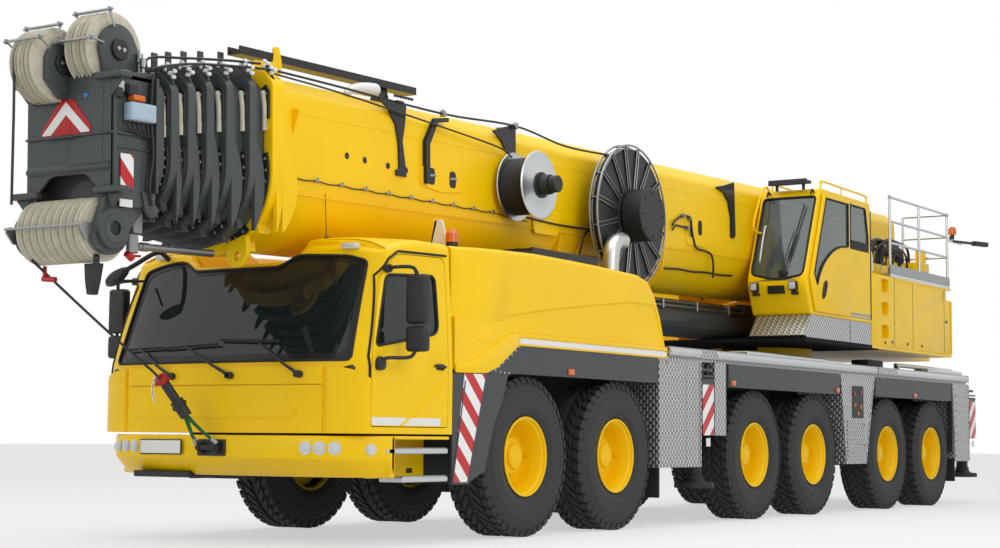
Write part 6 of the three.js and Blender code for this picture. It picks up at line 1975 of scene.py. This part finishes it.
def buildFenderTrim():
    for side, sign in sides.items():
        trim, marks, rivets = Shape(), Shape(), Shape()
        # rolled lower edges and the front lining
        for a, b in ((-0.25, 2.5), (4.2, 7.39), (8.64, 11.63)):
            trim.block((sign * 1.482, sign * 1.502), (a, b), (1.484, 1.502), 0.006, 2)
        liner = [(-1.02, 0.51), (-0.76, 0.61), (-0.62, 1.0), (-0.46, 1.26), (-0.38, 1.48), (-0.2, 1.485),
            (-0.2, 1.744), (-0.6, 1.5), (-0.74, 1.47)]
        trim.prism(liner, "x", sign * 1.47, sign * 1.497, 0.003)
        trim.prism([(-1.28, 0.5), (-1.275, 0.5), (-1.03, 0.5), (-0.735, 1.47), (-0.76, 1.47),
            (-1.05, 0.52), (-1.265, 0.52), (-1.08, 1.4), (-1.1, 1.4)], "x", sign * 1.48, sign * 1.507, 0.002)
        trim.make(f"fender_trim_{side}", frameGrey, "carrier")
        stripe = Shape().prism([(-1.265, 0.52), (-1.05, 0.52), (-0.757, 1.465), (-1.1, 1.465)], "x",
            sign * 1.499, sign * 1.504)
        stripe.make(f"guard_stripes_{side}", stripes[side], "carrier")
        for y in (0.72, 4.3, 7.32, 10.09):
            marks.block((sign * 1.5, sign * 1.516), (y - 0.055, y + 0.055), (1.505, 1.565), 0.008, 2)
        marks.make(f"side_markers_{side}", orangeLens, "carrier")
        for y, z in ((-0.2, 1.735), (-0.26, 1.7), (-0.33, 1.66), (-0.4, 1.62), (-0.47, 1.58),
                (-0.54, 1.54), (-0.6, 1.505), (-0.52, 1.495), (-0.45, 1.49), (-0.38, 1.485)):
            rivets.tube([(sign * 1.496, y, z), (sign * 1.502, y, z), (sign * 1.504, y, z)],
                [0.01, 0.01, 0.005], 10)
        rivets.make(f"fender_rivets_{side}", stainless, "carrier")
        flap = Shape()
        for y, low, high in ((2.565, 0.3, 0.66), (11.765, 0.33, 0.66)):
            flap.block((sign * 1.0, sign * 1.49), (y - 0.03, y + 0.0), (low, high), 0.006)
        flap.make(f"mud_flaps_{side}", gasket, "carrier")


def buildDeckTrim():
    rail, plates, dark, knobs, marks = Shape(), Shape(), Shape(), Shape(), Shape()
    for side in (1, -1):
        for a, b in ((2.78, 3.5), (3.9, 8.7), (9.42, 12.38)):
            rail.block((side * 1.485, side * 1.512), (a, b), (1.79, 1.868), 0.01, 2)
            rail.block((side * 1.5, side * 1.516), (a, b), (1.815, 1.843), 0.006, 2)
        plates.block((side * 1.5, side * 1.514), (8.72, 9.41), (1.79, 1.88), 0.003)
        # box corners and doors
        for box in (((2.53, 0.62), (3.5, 0.62), (3.5, 1.74), (2.53, 1.74)),
                ((7.435, 1.74), (7.6, 0.62), (8.28, 0.62), (8.595, 1.74)),
                ((11.67, 1.74), (11.75, 0.63), (12.39, 0.63), (12.39, 1.74))):
            outer = rounded([(y, z) for y, z in box], 0.008, 2)
            middle = (sum(y for y, z in box) / 4, sum(z for y, z in box) / 4)
            inner = rounded([(middle[0] + (y - middle[0]) * 0.955, middle[1] + (z - middle[1]) * 0.975)
                for y, z in box], 0.008, 2)
            plates.ring(outer, inner, "x", side * 1.5, side * 1.506)
        plates.block((side * 1.5, side * 1.504), (3.16, 3.172), (0.64, 1.72), 0.001)
        # control recess in the middle box
        dark.block((side * 1.42, side * 1.503), (7.8, 8.2), (1.19, 1.61), 0.006)
        for y, z, kind in ((7.88, 1.5, 0), (8.1, 1.52, 0), (7.9, 1.36, 1), (8.1, 1.34, 1), (8.0, 1.25, 1)):
            (knobs if kind else marks).tube([(side * 1.5, y, z), (side * 1.512, y, z),
                (side * 1.515, y, z)], [0.024, 0.024, 0.015], 14)
        for k in range(10):
            z = 0.66 + k * 0.052
            plates.prism(rounded([(7.64, z), (8.24, z), (8.24, z + 0.03), (7.64, z + 0.03)], 0.01, 2),
                "x", side * 1.502, side * 1.512, 0.003)
        for k in range(9):
            z = 0.68 + k * 0.11
            plates.prism(rounded([(11.8, z), (12.34, z), (12.34, z + 0.03), (11.8, z + 0.03)], 0.01, 2),
                "x", side * 1.502, side * 1.51, 0.003)
        dark.block((side * 1.44, side * 1.505), (11.62, 11.66), (0.75, 1.7), 0.004)
        for y, z in ((8.2, 1.1), (8.2, 0.84)):
            dark.tube([(side * 1.5, y, z), (side * 1.512, y, z)], 0.016, 12)
    rail.make("deck_rails", alloy, "carrier")
    plates.make("deck_panels", chequer, "carrier")
    dark.make("control_recess", plastic, "carrier")
    knobs.make("control_knobs", orange, "carrier")
    marks.make("control_lamps", redLens, "carrier")
    # things lying on the deck under the upper body
    lying = Shape()
    for side in (1, -1):
        lying.block((side * 1.1, side * 1.36), (5.0, 7.3), (1.882, 1.93), 0.01)
        lying.block((side * 1.2, side * 1.42), (10.9, 12.35), (1.882, 1.94), 0.012)
        lying.tube([(side * 1.3, 9.9, 1.95), (side * 1.3, 12.2, 1.95)], 0.028, 16)
        for y in (9.95, 12.1):
            lying.block((side * 1.26, side * 1.34), (y - 0.02, y + 0.02), (1.88, 1.93), 0.004)
    lying.make("deck_poles", alloy, "carrier")
    block = Shape()
    for side in (1, -1):
        block.block((side * 1.05, side * 1.3), (8.9, 9.45), (1.88, 1.99), 0.02, 2)
        block.block((side * 0.5, side * 1.0), (12.42, 12.5), (0.75, 1.1), 0.02, 2)
        block.block((side * 0.44, side * 0.9), (12.2, 12.38), (1.3, 1.6), 0.02, 2)
    block.make("deck_chocks", gasket, "carrier")


def buildOutriggerTrim():
    for end in ("front", "rear"):
        for side, sign in sides.items():
            name = f"{end}_{side}"
            low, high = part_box(f"outrigger_beam_{name}")
            y = (low.y + high.y) / 2 - axleOneY
            beam = f"beam_{end}_{side}"
            panel = Shape().block((sign * 1.5, sign * 1.506), (y - 0.135, y + 0.135), (0.95, 1.5), 0.002)
            panel.make(f"beam_stripes_{name}", stripes["right" if sign > 0 else "left"], beam)
            trim = Shape()
            for z in (1.53, 1.58):
                trim.block((sign * 1.47, sign * 1.51), (y - 0.14, y + 0.14), (z, z + 0.02), 0.004)
            trim.bar((sign * 1.46, y - 0.12, 1.66), (sign * 1.46, y + 0.12, 1.66), 0.02, 14)
            trim.make(f"beam_trim_{name}", frameGrey, beam)
            jackLow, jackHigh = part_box(f"outrigger_jack_{name}")
            x = (jackLow.x + jackHigh.x) / 2
            jy = (jackLow.y + jackHigh.y) / 2 - axleOneY
            z = jackLow.z
            foot = Shape()
            r = (jackHigh.x - jackLow.x) / 2
            foot.spin([(0, 0.001), (r * 0.98, 0.001), (r, 0.012), (r, 0.03), (r * 0.8, 0.05),
                (0.12, 0.075), (0.1, 0.1), (0.1, 0.14), (0.075, 0.15), (0, 0.15)], (x, jy, z), "z", 40)
            foot.make(f"jack_foot_{name}", iron, f"jack_{end}_{side}")
            label = Shape().block((sign * 1.5, sign * 1.505), (y - 0.05, y + 0.05), (0.83, 0.92), 0.002)
            label.make(f"beam_plate_{name}", white, beam)


def buildRearEnd():
    # lamps, coupling and bumper bar at the tail
    bar, lenses, oranges, dark = Shape(), Shape(), Shape(), Shape()
    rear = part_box("carrier_frame")[1].y - axleOneY
    bar.block((-1.2, 1.2), (rear - 0.005, rear + 0.02), (0.98, 1.1), 0.008)
    for side in (1, -1):
        for k, shape in enumerate((lenses, oranges, lenses)):
            x = side * (0.55 + k * 0.16)
            shape.tube([(x, rear + 0.015, 1.04), (x, rear + 0.032, 1.04), (x, rear + 0.038, 1.04)],
                [0.05, 0.05, 0.035], 24)
        dark.bar((side * 0.3, rear - 0.02, 1.25), (side * 0.3, rear + 0.03, 1.25), 0.03, 16)
    dark.prism(rounded([(-0.13, 1.1), (0.13, 1.1), (0.13, 1.35), (-0.13, 1.35)], 0.03), "y", rear,
        rear + 0.02, 0.004)
    dark.tube([(0, rear + 0.0, 1.22), (0, rear + 0.035, 1.22)], [0.06, 0.05], 20)
    bar.make("tail_bar", frameGrey, "carrier")
    lenses.make("tail_lenses", redLens, "carrier")
    oranges.make("tail_indicators", orangeLens, "carrier")
    dark.make("tail_coupling", iron, "carrier")


buildSideBody()
buildFenderTrim()
buildDeckTrim()
buildOutriggerTrim()
buildRearEnd()
print("carrier built")


# upper body: operator's cab, machinery housing and railings

craneCab = {
    "inner": 0.665,
    "outer": 1.449,
    "outline": [(6.63, 2.45), (8.63, 2.45), (8.63, 4.05), (6.96, 4.06), (6.905, 4.0), (6.45, 2.86)],
    "wall": 0.03,
}


def craneFront(z):
    # y of the cab's front at a level
    return alongLine([(2.45, 6.63), (2.86, 6.45), (4.0, 6.905), (4.06, 6.96)], z)


def buildCraneCab():
    inner, outer, wall = craneCab["inner"], craneCab["outer"], craneCab["wall"]
    line = rounded(craneCab["outline"], [0.05, 0.03, 0.04, 0.06, 0.06, 0.1], 5)
    small = rounded([(6.63 + wall, 2.45 + wall), (8.63 - wall, 2.45 + wall), (8.63 - wall, 4.05 - wall),
        (6.97 + wall, 4.05 - wall), (6.92 + wall, 3.99), (6.48 + wall, 2.86)], 0.04, 5)
    shell = Shape().prism(line, "x", inner, outer, 0.035, 4).make("crane_cab_shell", yellow, "upper",
        replaces=("crane_cab",))
    cuts = [Shape().prism(small, "x", inner + wall, outer - wall)]
    frontPane = rounded([(0.71, 2.96), (1.06, 2.88), (1.405, 2.93), (1.415, 3.95), (0.715, 3.95)],
        [0.07, 0.25, 0.07, 0.05, 0.05], 5)
    cuts.append(Shape().prism(frontPane, "y", 6.3, 7.0))
    rearSide = rounded([(7.9, 3.42), (8.2, 3.44), (8.56, 3.4), (8.55, 3.6), (8.46, 3.96), (7.9, 3.96)],
        0.04, 4)
    cuts.append(Shape().prism(rearSide, "x", 1.3, 1.6))
    cuts.append(Shape().prism(rounded([(7.03, 2.56), (7.76, 2.56), (7.76, 3.96), (7.03, 3.96),
        (6.72, 2.95), (6.8, 2.56)], 0.05), "x", 1.3, 1.6))
    for outline, corner, axis, inner, outer in (
        ([(7.05, 3.1), (8.4, 3.1), (8.4, 3.95), (7.2, 3.95)], 0.06, "x", 0.6, 0.82),
        ([(0.84, 7.15), (1.33, 7.15), (1.33, 8.2), (0.84, 8.2)], 0.05, "z", 3.9, 4.2),
        ([(0.82, 3.2), (1.35, 3.2), (1.35, 3.9), (0.82, 3.9)], 0.05, "y", 8.5, 8.8),
    ):
        cuts.append(Shape().prism(rounded(outline, corner), axis, inner, outer))
    carve(shell, cuts)
    settle(shell, yellow, "upper")

    panes = Shape()
    outerRow, innerRow = [], []
    for k in range(19):
        x = 0.7 + 0.72 * k / 18
        bow = 0.035 * (1 - ((x - 1.06) / 0.36) ** 2)
        for rows, d in ((outerRow, 0.0), (innerRow, 0.007)):
            rows.append([Vector((x, craneFront(z) + 0.018 - bow * 0.3 + d, z))
                for z in [2.87 + 1.09 * j / 10 for j in range(11)]])
    slab(panes, outerRow, innerRow)
    for outline, axis, inner, outer in (
        ([(7.88, 3.4), (8.57, 3.39), (8.47, 3.97), (7.88, 3.97)], "x", 1.43, 1.436),
        ([(7.04, 3.09), (8.41, 3.09), (8.41, 3.96), (7.19, 3.96)], "x", 0.678, 0.684),
        ([(0.83, 7.14), (1.34, 7.14), (1.34, 8.21), (0.83, 8.21)], "z", 4.03, 4.036),
        ([(0.81, 3.19), (1.36, 3.19), (1.36, 3.91), (0.81, 3.91)], "y", 8.61, 8.616),
    ):
        panes.prism(outline, axis, inner, outer)
    panes.make("crane_cab_glass", cabGlass, "upper")
    seals = Shape()
    seals.tube([(x, craneFront(z) + 0.004, z) for x, z in frontPane], 0.016, 8, closed=True)
    seals.tube([(1.442, y, z) for y, z in rearSide], 0.012, 8, closed=True)
    seals.block((1.44, 1.4505), (7.88, 7.96), (3.4, 3.98), 0.002)
    seals.block((1.44, 1.4505), (7.9, 8.56), (3.38, 3.5), 0.002)
    seals.bar((1.441, 8.64, 2.5), (1.441, 8.64, 3.95), 0.012, 8)
    seals.make("crane_cab_seals", gasket, "upper")

    # sliding door
    doorway = [(6.72, 2.495), (7.84, 2.495), (7.84, 4.0), (7.0, 4.0), (6.56, 2.89)]
    arch = smoothPath([(6.76, 2.83, 0), (6.85, 2.98, 0), (7.0, 3.13, 0), (7.25, 3.28, 0), (7.5, 3.36, 0),
        (7.775, 3.39, 0)], 5)
    pane = [(p.x, p.y) for p in arch] + [(7.775, 3.94), (7.06, 3.94), (6.665, 2.96)]
    leaf = Shape().prism(rounded(doorway, 0.03, 4), "x", 1.457, 1.482, 0.006, 2).make("crane_door_leaf",
        yellow, "cab_door", replaces=("crane_cab_door",))
    carve(leaf, [Shape().prism(pane, "x", 1.4, 1.6)])
    settle(leaf, yellow, "cab_door")
    Shape().prism([(a + (0.004 if a < 7 else -0.002), b) for a, b in pane], "x", 1.466,
        1.472).make("crane_door_glass", cabGlass, "cab_door")
    trim = Shape().tube([(1.48, a, b) for a, b in pane], 0.014, 8, closed=True)
    trim.make("crane_door_seal", gasket, "cab_door")
    handle = Shape()
    loop = [(1.489, 6.98 + 0.045 * math.cos(a) + 0.05 * math.sin(a), 2.78 + 0.11 * math.sin(a))
        for a in (2 * math.pi * k / 28 for k in range(28))]
    handle.tube(loop, 0.011, 8, closed=True)
    handle.prism(rounded([(6.93, 2.7), (7.0, 2.68), (7.04, 2.86), (6.97, 2.88)], 0.03), "x", 1.48, 1.487,
        0.002)
    handle.make("crane_door_handle", plastic, "cab_door")
    slide = Shape().block((1.446, 1.4545), (7.86, 8.6), (2.53, 2.56), 0.003)
    slide.block((1.446, 1.4545), (7.86, 8.6), (2.495, 2.512), 0.002)
    slide.make("door_runner", steel, "upper")

    # lamps, vent, wiper, bars
    dark, lenses, bars = Shape(), Shape(), Shape()
    y = craneFront(2.8)
    for x in (0.77, 1.29):
        dark.block((x - 0.055, x + 0.055), (y - 0.06, y + 0.02), (2.745, 2.855), 0.014, 2)
        dark.block((x - 0.03, x + 0.05), (y - 0.03, y + 0.05), (2.69, 2.735), 0.01)
        lenses.block((x - 0.042, x + 0.042), (y - 0.068, y - 0.055), (2.757, 2.843), 0.01, 2)
    vent = [(0.94, 2.71), (1.16, 2.71), (1.16, 2.81), (0.94, 2.81)]
    dark.prism(rounded(vent, 0.012), "y", y - 0.012, y + 0.05, 0.003)
    for k in range(5):
        dark.block((0.955, 1.145), (y - 0.018, y), (2.722 + k * 0.018, 2.728 + k * 0.018), 0.001)
    top = craneFront(4.0)
    dark.block((0.83, 1.33), (top - 0.12, top + 0.05), (4.12, 4.16), 0.008)
    dark.block((0.82, 1.34), (top - 0.14, top - 0.11), (4.1, 4.17), 0.006)
    for x in (0.9, 1.26):
        dark.block((x - 0.015, x + 0.015), (top - 0.06, top - 0.02), (4.04, 4.13), 0.004)
    for x in (0.79, 1.38):
        dark.tube(smoothPath([(x, top + 0.02, 4.0), (x, top - 0.06, 4.03), (x, top - 0.09, 3.97)], 4),
            0.014, 8)
    # wiper
    foot = Vector((1.14, craneFront(2.98) - 0.012, 2.98))
    tip = Vector((1.3, craneFront(3.85) - 0.03, 3.85))
    middle = Vector((1.24, craneFront(3.5) - 0.045, 3.5))
    for d in (-0.018, 0.018):
        dark.tube([foot + Vector((d, 0, 0)), foot.lerp(middle, 0.5) + Vector((d, -0.02, 0)),
            middle + Vector((d, 0, 0))], 0.007, 6)
    dark.tube([Vector((1.19, craneFront(3.15) - 0.02, 3.15)), tip], 0.01, 6)
    dark.block((1.09, 1.19), (foot.y - 0.03, foot.y + 0.02), (2.93, 3.0), 0.01, 2)
    dark.bar(foot - Vector((0, 0.035, 0)), foot + Vector((0, 0.01, 0)), 0.025, 14)
    dark.make("crane_cab_fittings", plastic, "upper")
    lenses.make("work_lamp_lenses", clearLens, "upper")
    # guard rails on the roof and beside the screen
    for x in (0.76, 1.42):
        bars.tube(smoothPath([(x, 7.02, 4.03), (x, 7.04, 4.12), (x, 7.1, 4.16), (x, 7.8, 4.15),
            (x, 8.5, 4.14), (x, 8.56, 4.1), (x, 8.56, 4.04)], 5), 0.013, 10)
        bars.bar((x, 7.7, 4.04), (x, 7.7, 4.15), 0.01, 8)
    bars.tube(smoothPath([(0.75, 7.0, 4.02), (0.73, 6.92, 4.11), (0.72, 6.8, 4.02), (0.71, 6.58, 3.64),
        (0.72, 6.6, 3.52), (0.75, 6.76, 3.5)], 6), 0.014, 10)
    bars.make("crane_cab_rails", yellow, "upper")
    grab = Shape()
    grab.tube(smoothPath([(1.3, 8.66, 3.3), (1.36, 8.7, 3.42), (1.4, 8.78, 3.4), (1.4, 8.8, 3.16)], 5),
        0.014, 10)
    grab.tube(smoothPath([(0.8, craneFront(3.1) + 0.05, 3.1), (0.79, craneFront(3.15) + 0.02, 3.16),
        (0.79, craneFront(3.5) + 0.02, 3.55), (0.8, craneFront(3.6) + 0.05, 3.6)], 5), 0.01, 10)
    grab.make("grab_handles", white, "upper")

    # inside: seat, joysticks, screen
    inside = Shape()
    inside.block((0.98, 1.2), (6.72, 6.84), (2.49, 3.0), 0.02)
    inside.block((0.94, 1.2), (6.72, 6.78), (3.0, 3.22), 0.015)
    for x in (0.83, 1.33):
        inside.block((x - 0.05, x + 0.05), (7.35, 7.8), (2.85, 2.99), 0.03, 2)
        inside.tube([(x, 7.42, 2.99), (x, 7.4, 3.08), (x, 7.39, 3.13)], [0.012, 0.014, 0.024], 10)
    inside.block((0.9, 1.26), (7.4, 7.95), (2.48, 2.74), 0.03)
    inside.make("crane_cab_inside", plastic, "upper")
    seat = Shape()
    for xs, ys, zs in (((0.86, 1.3), (7.35, 7.84), (2.76, 2.9)),
            ((0.87, 1.29), (7.8, 7.94), (2.88, 3.42)), ((0.97, 1.19), (7.83, 7.92), (3.45, 3.62))):
        seat.block(xs, ys, zs, 0.045, 3)
    item = seat.make("crane_seat", cloth, "upper")
    shade = Shape().block((0.8, 1.02), (6.98, 7.0), (3.72, 3.86), 0.01)
    shade.make("sun_blind", grey, "upper")


def buildPlatform():
    shadeSheet = Shape()
    # black sheet under the cab, turned up round the floor's edge: painted shade for the shadow under the cab
    shadeSheet.block((-1.45, 1.45), (6.45, 8.9), (2.112, 2.1285), 0.003)
    shadeSheet.block((-1.45, 1.45), (6.44, 6.498), (2.112, 2.163), 0.004)
    for side in (1, -1):
        shadeSheet.block((side * 1.4505, side * 1.457), (6.45, 8.64), (2.112, 2.168), 0.002)
    shadeSheet.make("shade_sheet_under_cab", shadeBlack, "upper")
    edge = Shape()
    edge.block((1.4505, 1.457), (7.9, 7.912), (2.18, 2.44), 0.002)
    edge.prism([(6.4, 2.19), (6.49, 2.165), (8.61, 2.165), (8.61, 2.178), (6.5, 2.178), (6.41, 2.2)], "x",
        0.72, 1.456, 0.002)
    edge.make("apron_edge", chequer, "upper")


def buildHousing():
    shape, dark = Shape(), Shape()
    line = rounded([(8.66, 2.165), (11.8, 2.165), (11.8, 2.96), (11.6, 2.96), (11.6, 3.13), (8.66, 3.13)],
        0.015, 3)
    body = Shape().prism(line, "x", 0.72, 1.45, 0.012, 2).make("housing", yellow, "upper",
        replaces=("machinery_box",))
    # pressed steps
    cutters = [Shape().prism(rounded([(9.01, z - 0.088), (9.25, z - 0.088), (9.25, z + 0.088),
        (9.01, z + 0.088)], 0.035, 5), "x", 1.34, 1.5) for z in (2.37, 2.68, 2.99)]
    carve(body, cutters)
    settle(body, yellow, "upper")
    for z in (2.37, 2.68, 2.99):
        outer = rounded([(8.995, z - 0.102), (9.265, z - 0.102), (9.265, z + 0.102), (8.995, z + 0.102)],
            0.045, 5)
        inner = rounded([(9.01, z - 0.088), (9.25, z - 0.088), (9.25, z + 0.088), (9.01, z + 0.088)],
            0.035, 5)
        shape.ring(outer, inner, "x", 1.4505, 1.455)
    for y in (9.49, 10.2, 11.5):
        dark.block((1.4495, 1.452), (y - 0.004, y + 0.004), (2.18, 3.11), 0)
    for y, z in ((9.13, 2.22), (9.4, 2.24), (9.98, 2.24), (10.55, 2.24)):
        dark.tube([(1.448, y, z), (1.456, y, z), (1.458, y, z)], [0.022, 0.022, 0.014], 14)
    dark.block((1.449, 1.458), (11.55, 11.62), (2.62, 2.66), 0.004)
    shape.block((0.73, 1.46), (11.8, 11.812), (2.17, 2.95), 0.004)
    shape.block((1.449, 1.458), (9.5, 11.79), (3.1, 3.128), 0.003)
    shape.make("housing_trim", yellow, "upper")
    dark.make("housing_fittings", plastic, "upper")
    # toe boards, stair grab and beacon round the service platform
    board = Shape()
    board.block((1.435, 1.448), (9.37, 11.77), (3.18, 3.3), 0.004)
    board.block((0.75, 1.44), (11.755, 11.768), (3.18, 3.3), 0.004)
    for y in (9.41, 10.55, 11.74):
        board.block((1.4, 1.45), (y - 0.035, y + 0.035), (3.17, 3.26), 0.006)
    for y in (9.41, 11.74):
        board.bar((1.425, y, 4.2), (1.425, y, 4.252), 0.022, 12)
    board.make("toe_boards", steel, "upper")
    post = Shape()
    post.bar((1.425, 11.9, 3.86), (1.425, 11.9, 3.93), 0.02, 12)
    post.tube([(1.425, 11.98, 3.89), (1.425, 11.98, 3.96)], 0.03, 16)
    post.prism([(1.4, 11.96), (1.45, 11.94), (1.72, 12.72), (1.67, 12.74)], "z", 3.845, 3.88, 0.006)
    post.prism([(1.56, 12.44), (1.63, 12.42), (1.73, 12.72), (1.66, 12.74)], "z", 3.83, 3.9, 0.006)
    post.make("beacon_arm", black, "upper")
    Shape().tube([(1.425, 11.98, 3.96), (1.425, 11.98, 4.04), (1.425, 11.98, 4.075)],
        [0.062, 0.058, 0.035], 24).make("rear_beacon", orangeLens, "upper")
    # hydraulic blocks and hoses between the cheeks and the railing
    blocks, hoses, fittings = Shape(), Shape(), Shape()
    for xs, ys, zs in (((0.78, 1.1), (9.6, 10.3), (3.2, 3.36)), ((0.82, 1.05), (10.4, 11.0), (3.2, 3.45)),
            ((0.8, 1.2), (11.2, 11.6), (3.2, 3.5)), ((1.0, 1.12), (11.55, 11.7), (3.2, 3.72))):
        blocks.block(xs, ys, zs, 0.015, 2)
    blocks.bar((0.95, 9.7, 3.46), (0.95, 10.9, 3.46), 0.07, 20)
    generator = random.Random(7)
    for k in range(14):
        y0, y1 = 9.5 + generator.random() * 0.9, 10.7 + generator.random() * 0.9
        x0, x1 = 0.8 + generator.random() * 0.3, 0.8 + generator.random() * 0.3
        rise = 3.5 + generator.random() * 0.28
        path = [(x0, y0, 3.3), (x0 + 0.03, y0 + 0.1, rise),
            ((x0 + x1) / 2 + 0.05, (y0 + y1) / 2, rise + 0.05), (x1 + 0.02, y1 - 0.1, rise), (x1, y1, 3.3)]
        hoses.tube(smoothPath(path, 6), 0.014 + 0.006 * (k % 3), 8)
        fittings.tube([(x0, y0, 3.28), (x0, y0, 3.36)], 0.024, 6)
        fittings.tube([(x1, y1, 3.28), (x1, y1, 3.36)], 0.024, 6)
    blocks.make("valve_blocks", yellow, "upper")
    hoses.make("valve_hoses", jacket, "upper")
    fittings.make("valve_fittings", steel, "upper")


def buildUpperTrim():
    # hoist winding, tank fittings, ring bolts
    winch, ends = Shape(), Shape()
    y, z = 12.54, 2.64
    turns = 34
    lay = 1.2 / turns
    profile = [(0.2, 0)]
    for k in range(turns):
        for j in range(5):
            a = math.pi * (1 - j / 4)
            profile.append((0.335 + lay / 2 * math.sin(a), lay * (k + 0.5) + lay / 2 * math.cos(a)))
    profile += [(0.2, 1.2), (0.2, 0)]
    winch.spin(profile, (-0.6, y, z), "x", 64)
    winch.make("hoist_winding", rope, "upper")
    for side in (1, -1):
        ends.tube([(side * 0.605, y, z), (side * 0.64, y, z)], 0.4, 48)
        ends.tube([(side * 0.705, y, z), (side * 0.76, y, z), (side * 0.78, y, z)], [0.2, 0.2, 0.16], 32)
        for k in range(10):
            a = 2 * math.pi * k / 10
            ends.bolt((side * 0.762, y + 0.17 * math.cos(a), z + 0.17 * math.sin(a)), (side, 0, 0), 0.012,
                0.014)
    ends.make("hoist_ends", grey, "upper")
    bolts = Shape()
    for k in range(36):
        a = 2 * math.pi * k / 36
        bolts.bolt((0.66 * math.cos(a), 8.3 + 0.66 * math.sin(a), 2.165), (0, 0, 1), 0.016, 0.02)
    bolts.make("slewing_bolts", steel, "upper")
    tank = Shape()
    for y in (7.34, 9.5, 11.7):
        tank.block((-1.456, -1.449), (y - 0.006, y + 0.006), (2.2, 2.86), 0.001)
    for y in (8.0, 10.5):
        tank.tube([(-1.1, y, 2.88), (-1.1, y, 2.92), (-1.1, y, 2.93)], [0.08, 0.08, 0.06], 24)
        tank.block((-1.2, -0.95), (y + 0.3, y + 0.8), (2.878, 2.9), 0.008)
    for y in (7.6, 8.6, 9.6, 10.6):
        tank.tube(smoothPath([(-0.78, y, 2.6), (-0.74, y + 0.2, 2.95), (-0.72, y + 0.4, 2.8)], 5), 0.02, 8)
    tank.make("tank_fittings", plastic, "upper")
    # stiffening edges on the cheeks
    edge = Shape()
    cheek = [(7.7, 2.56), (9.9, 3.0), (10.9, 3.56), (11.5, 3.56), (11.85, 3.35), (12.95, 2.95)]
    for side in (1, -1):
        for a, b in zip(cheek, cheek[1:]):
            edge.bar((side * 0.683, *a), (side * 0.683, *b), 0.03, 8)
        edge.tube([(side * 0.706, 11.2, 3.35), (side * 0.718, 11.2, 3.35)], 0.2, 36)
    edge.make("cheek_edges", yellow, "upper")


buildCraneCab()
buildPlatform()
buildHousing()
buildUpperTrim()
print("upper body built")

nodeFinish = {
    "deck": chequer,
    "cab_platform": chequer,
    "carrier_frame": frameGrey,
    "fenders_left": frameGrey,
    "fenders_right": frameGrey,
    "service_platform": alloy,
}

# every node kept from the model gets its finish

finishes = {
    "yellow_paint": yellow,
    "grey_paint": grey,
    "bare_aluminium": alloy,
    "black_iron": iron,
    "tyre_rubber": rubber,
    "chromed_rod": chrome,
    "nylon": nylon,
}
slotByNode = {part["node"]: part["material_slot"] for part in frame["record"]["subparts"]}
for nodeName, item in cadNodes.items():
    finish = nodeFinish.get(nodeName, finishes[slotByNode[nodeName]])
    item.data.materials.clear()
    item.data.materials.append(finish)

bpy.context.scene.view_settings.view_transform = "Standard"
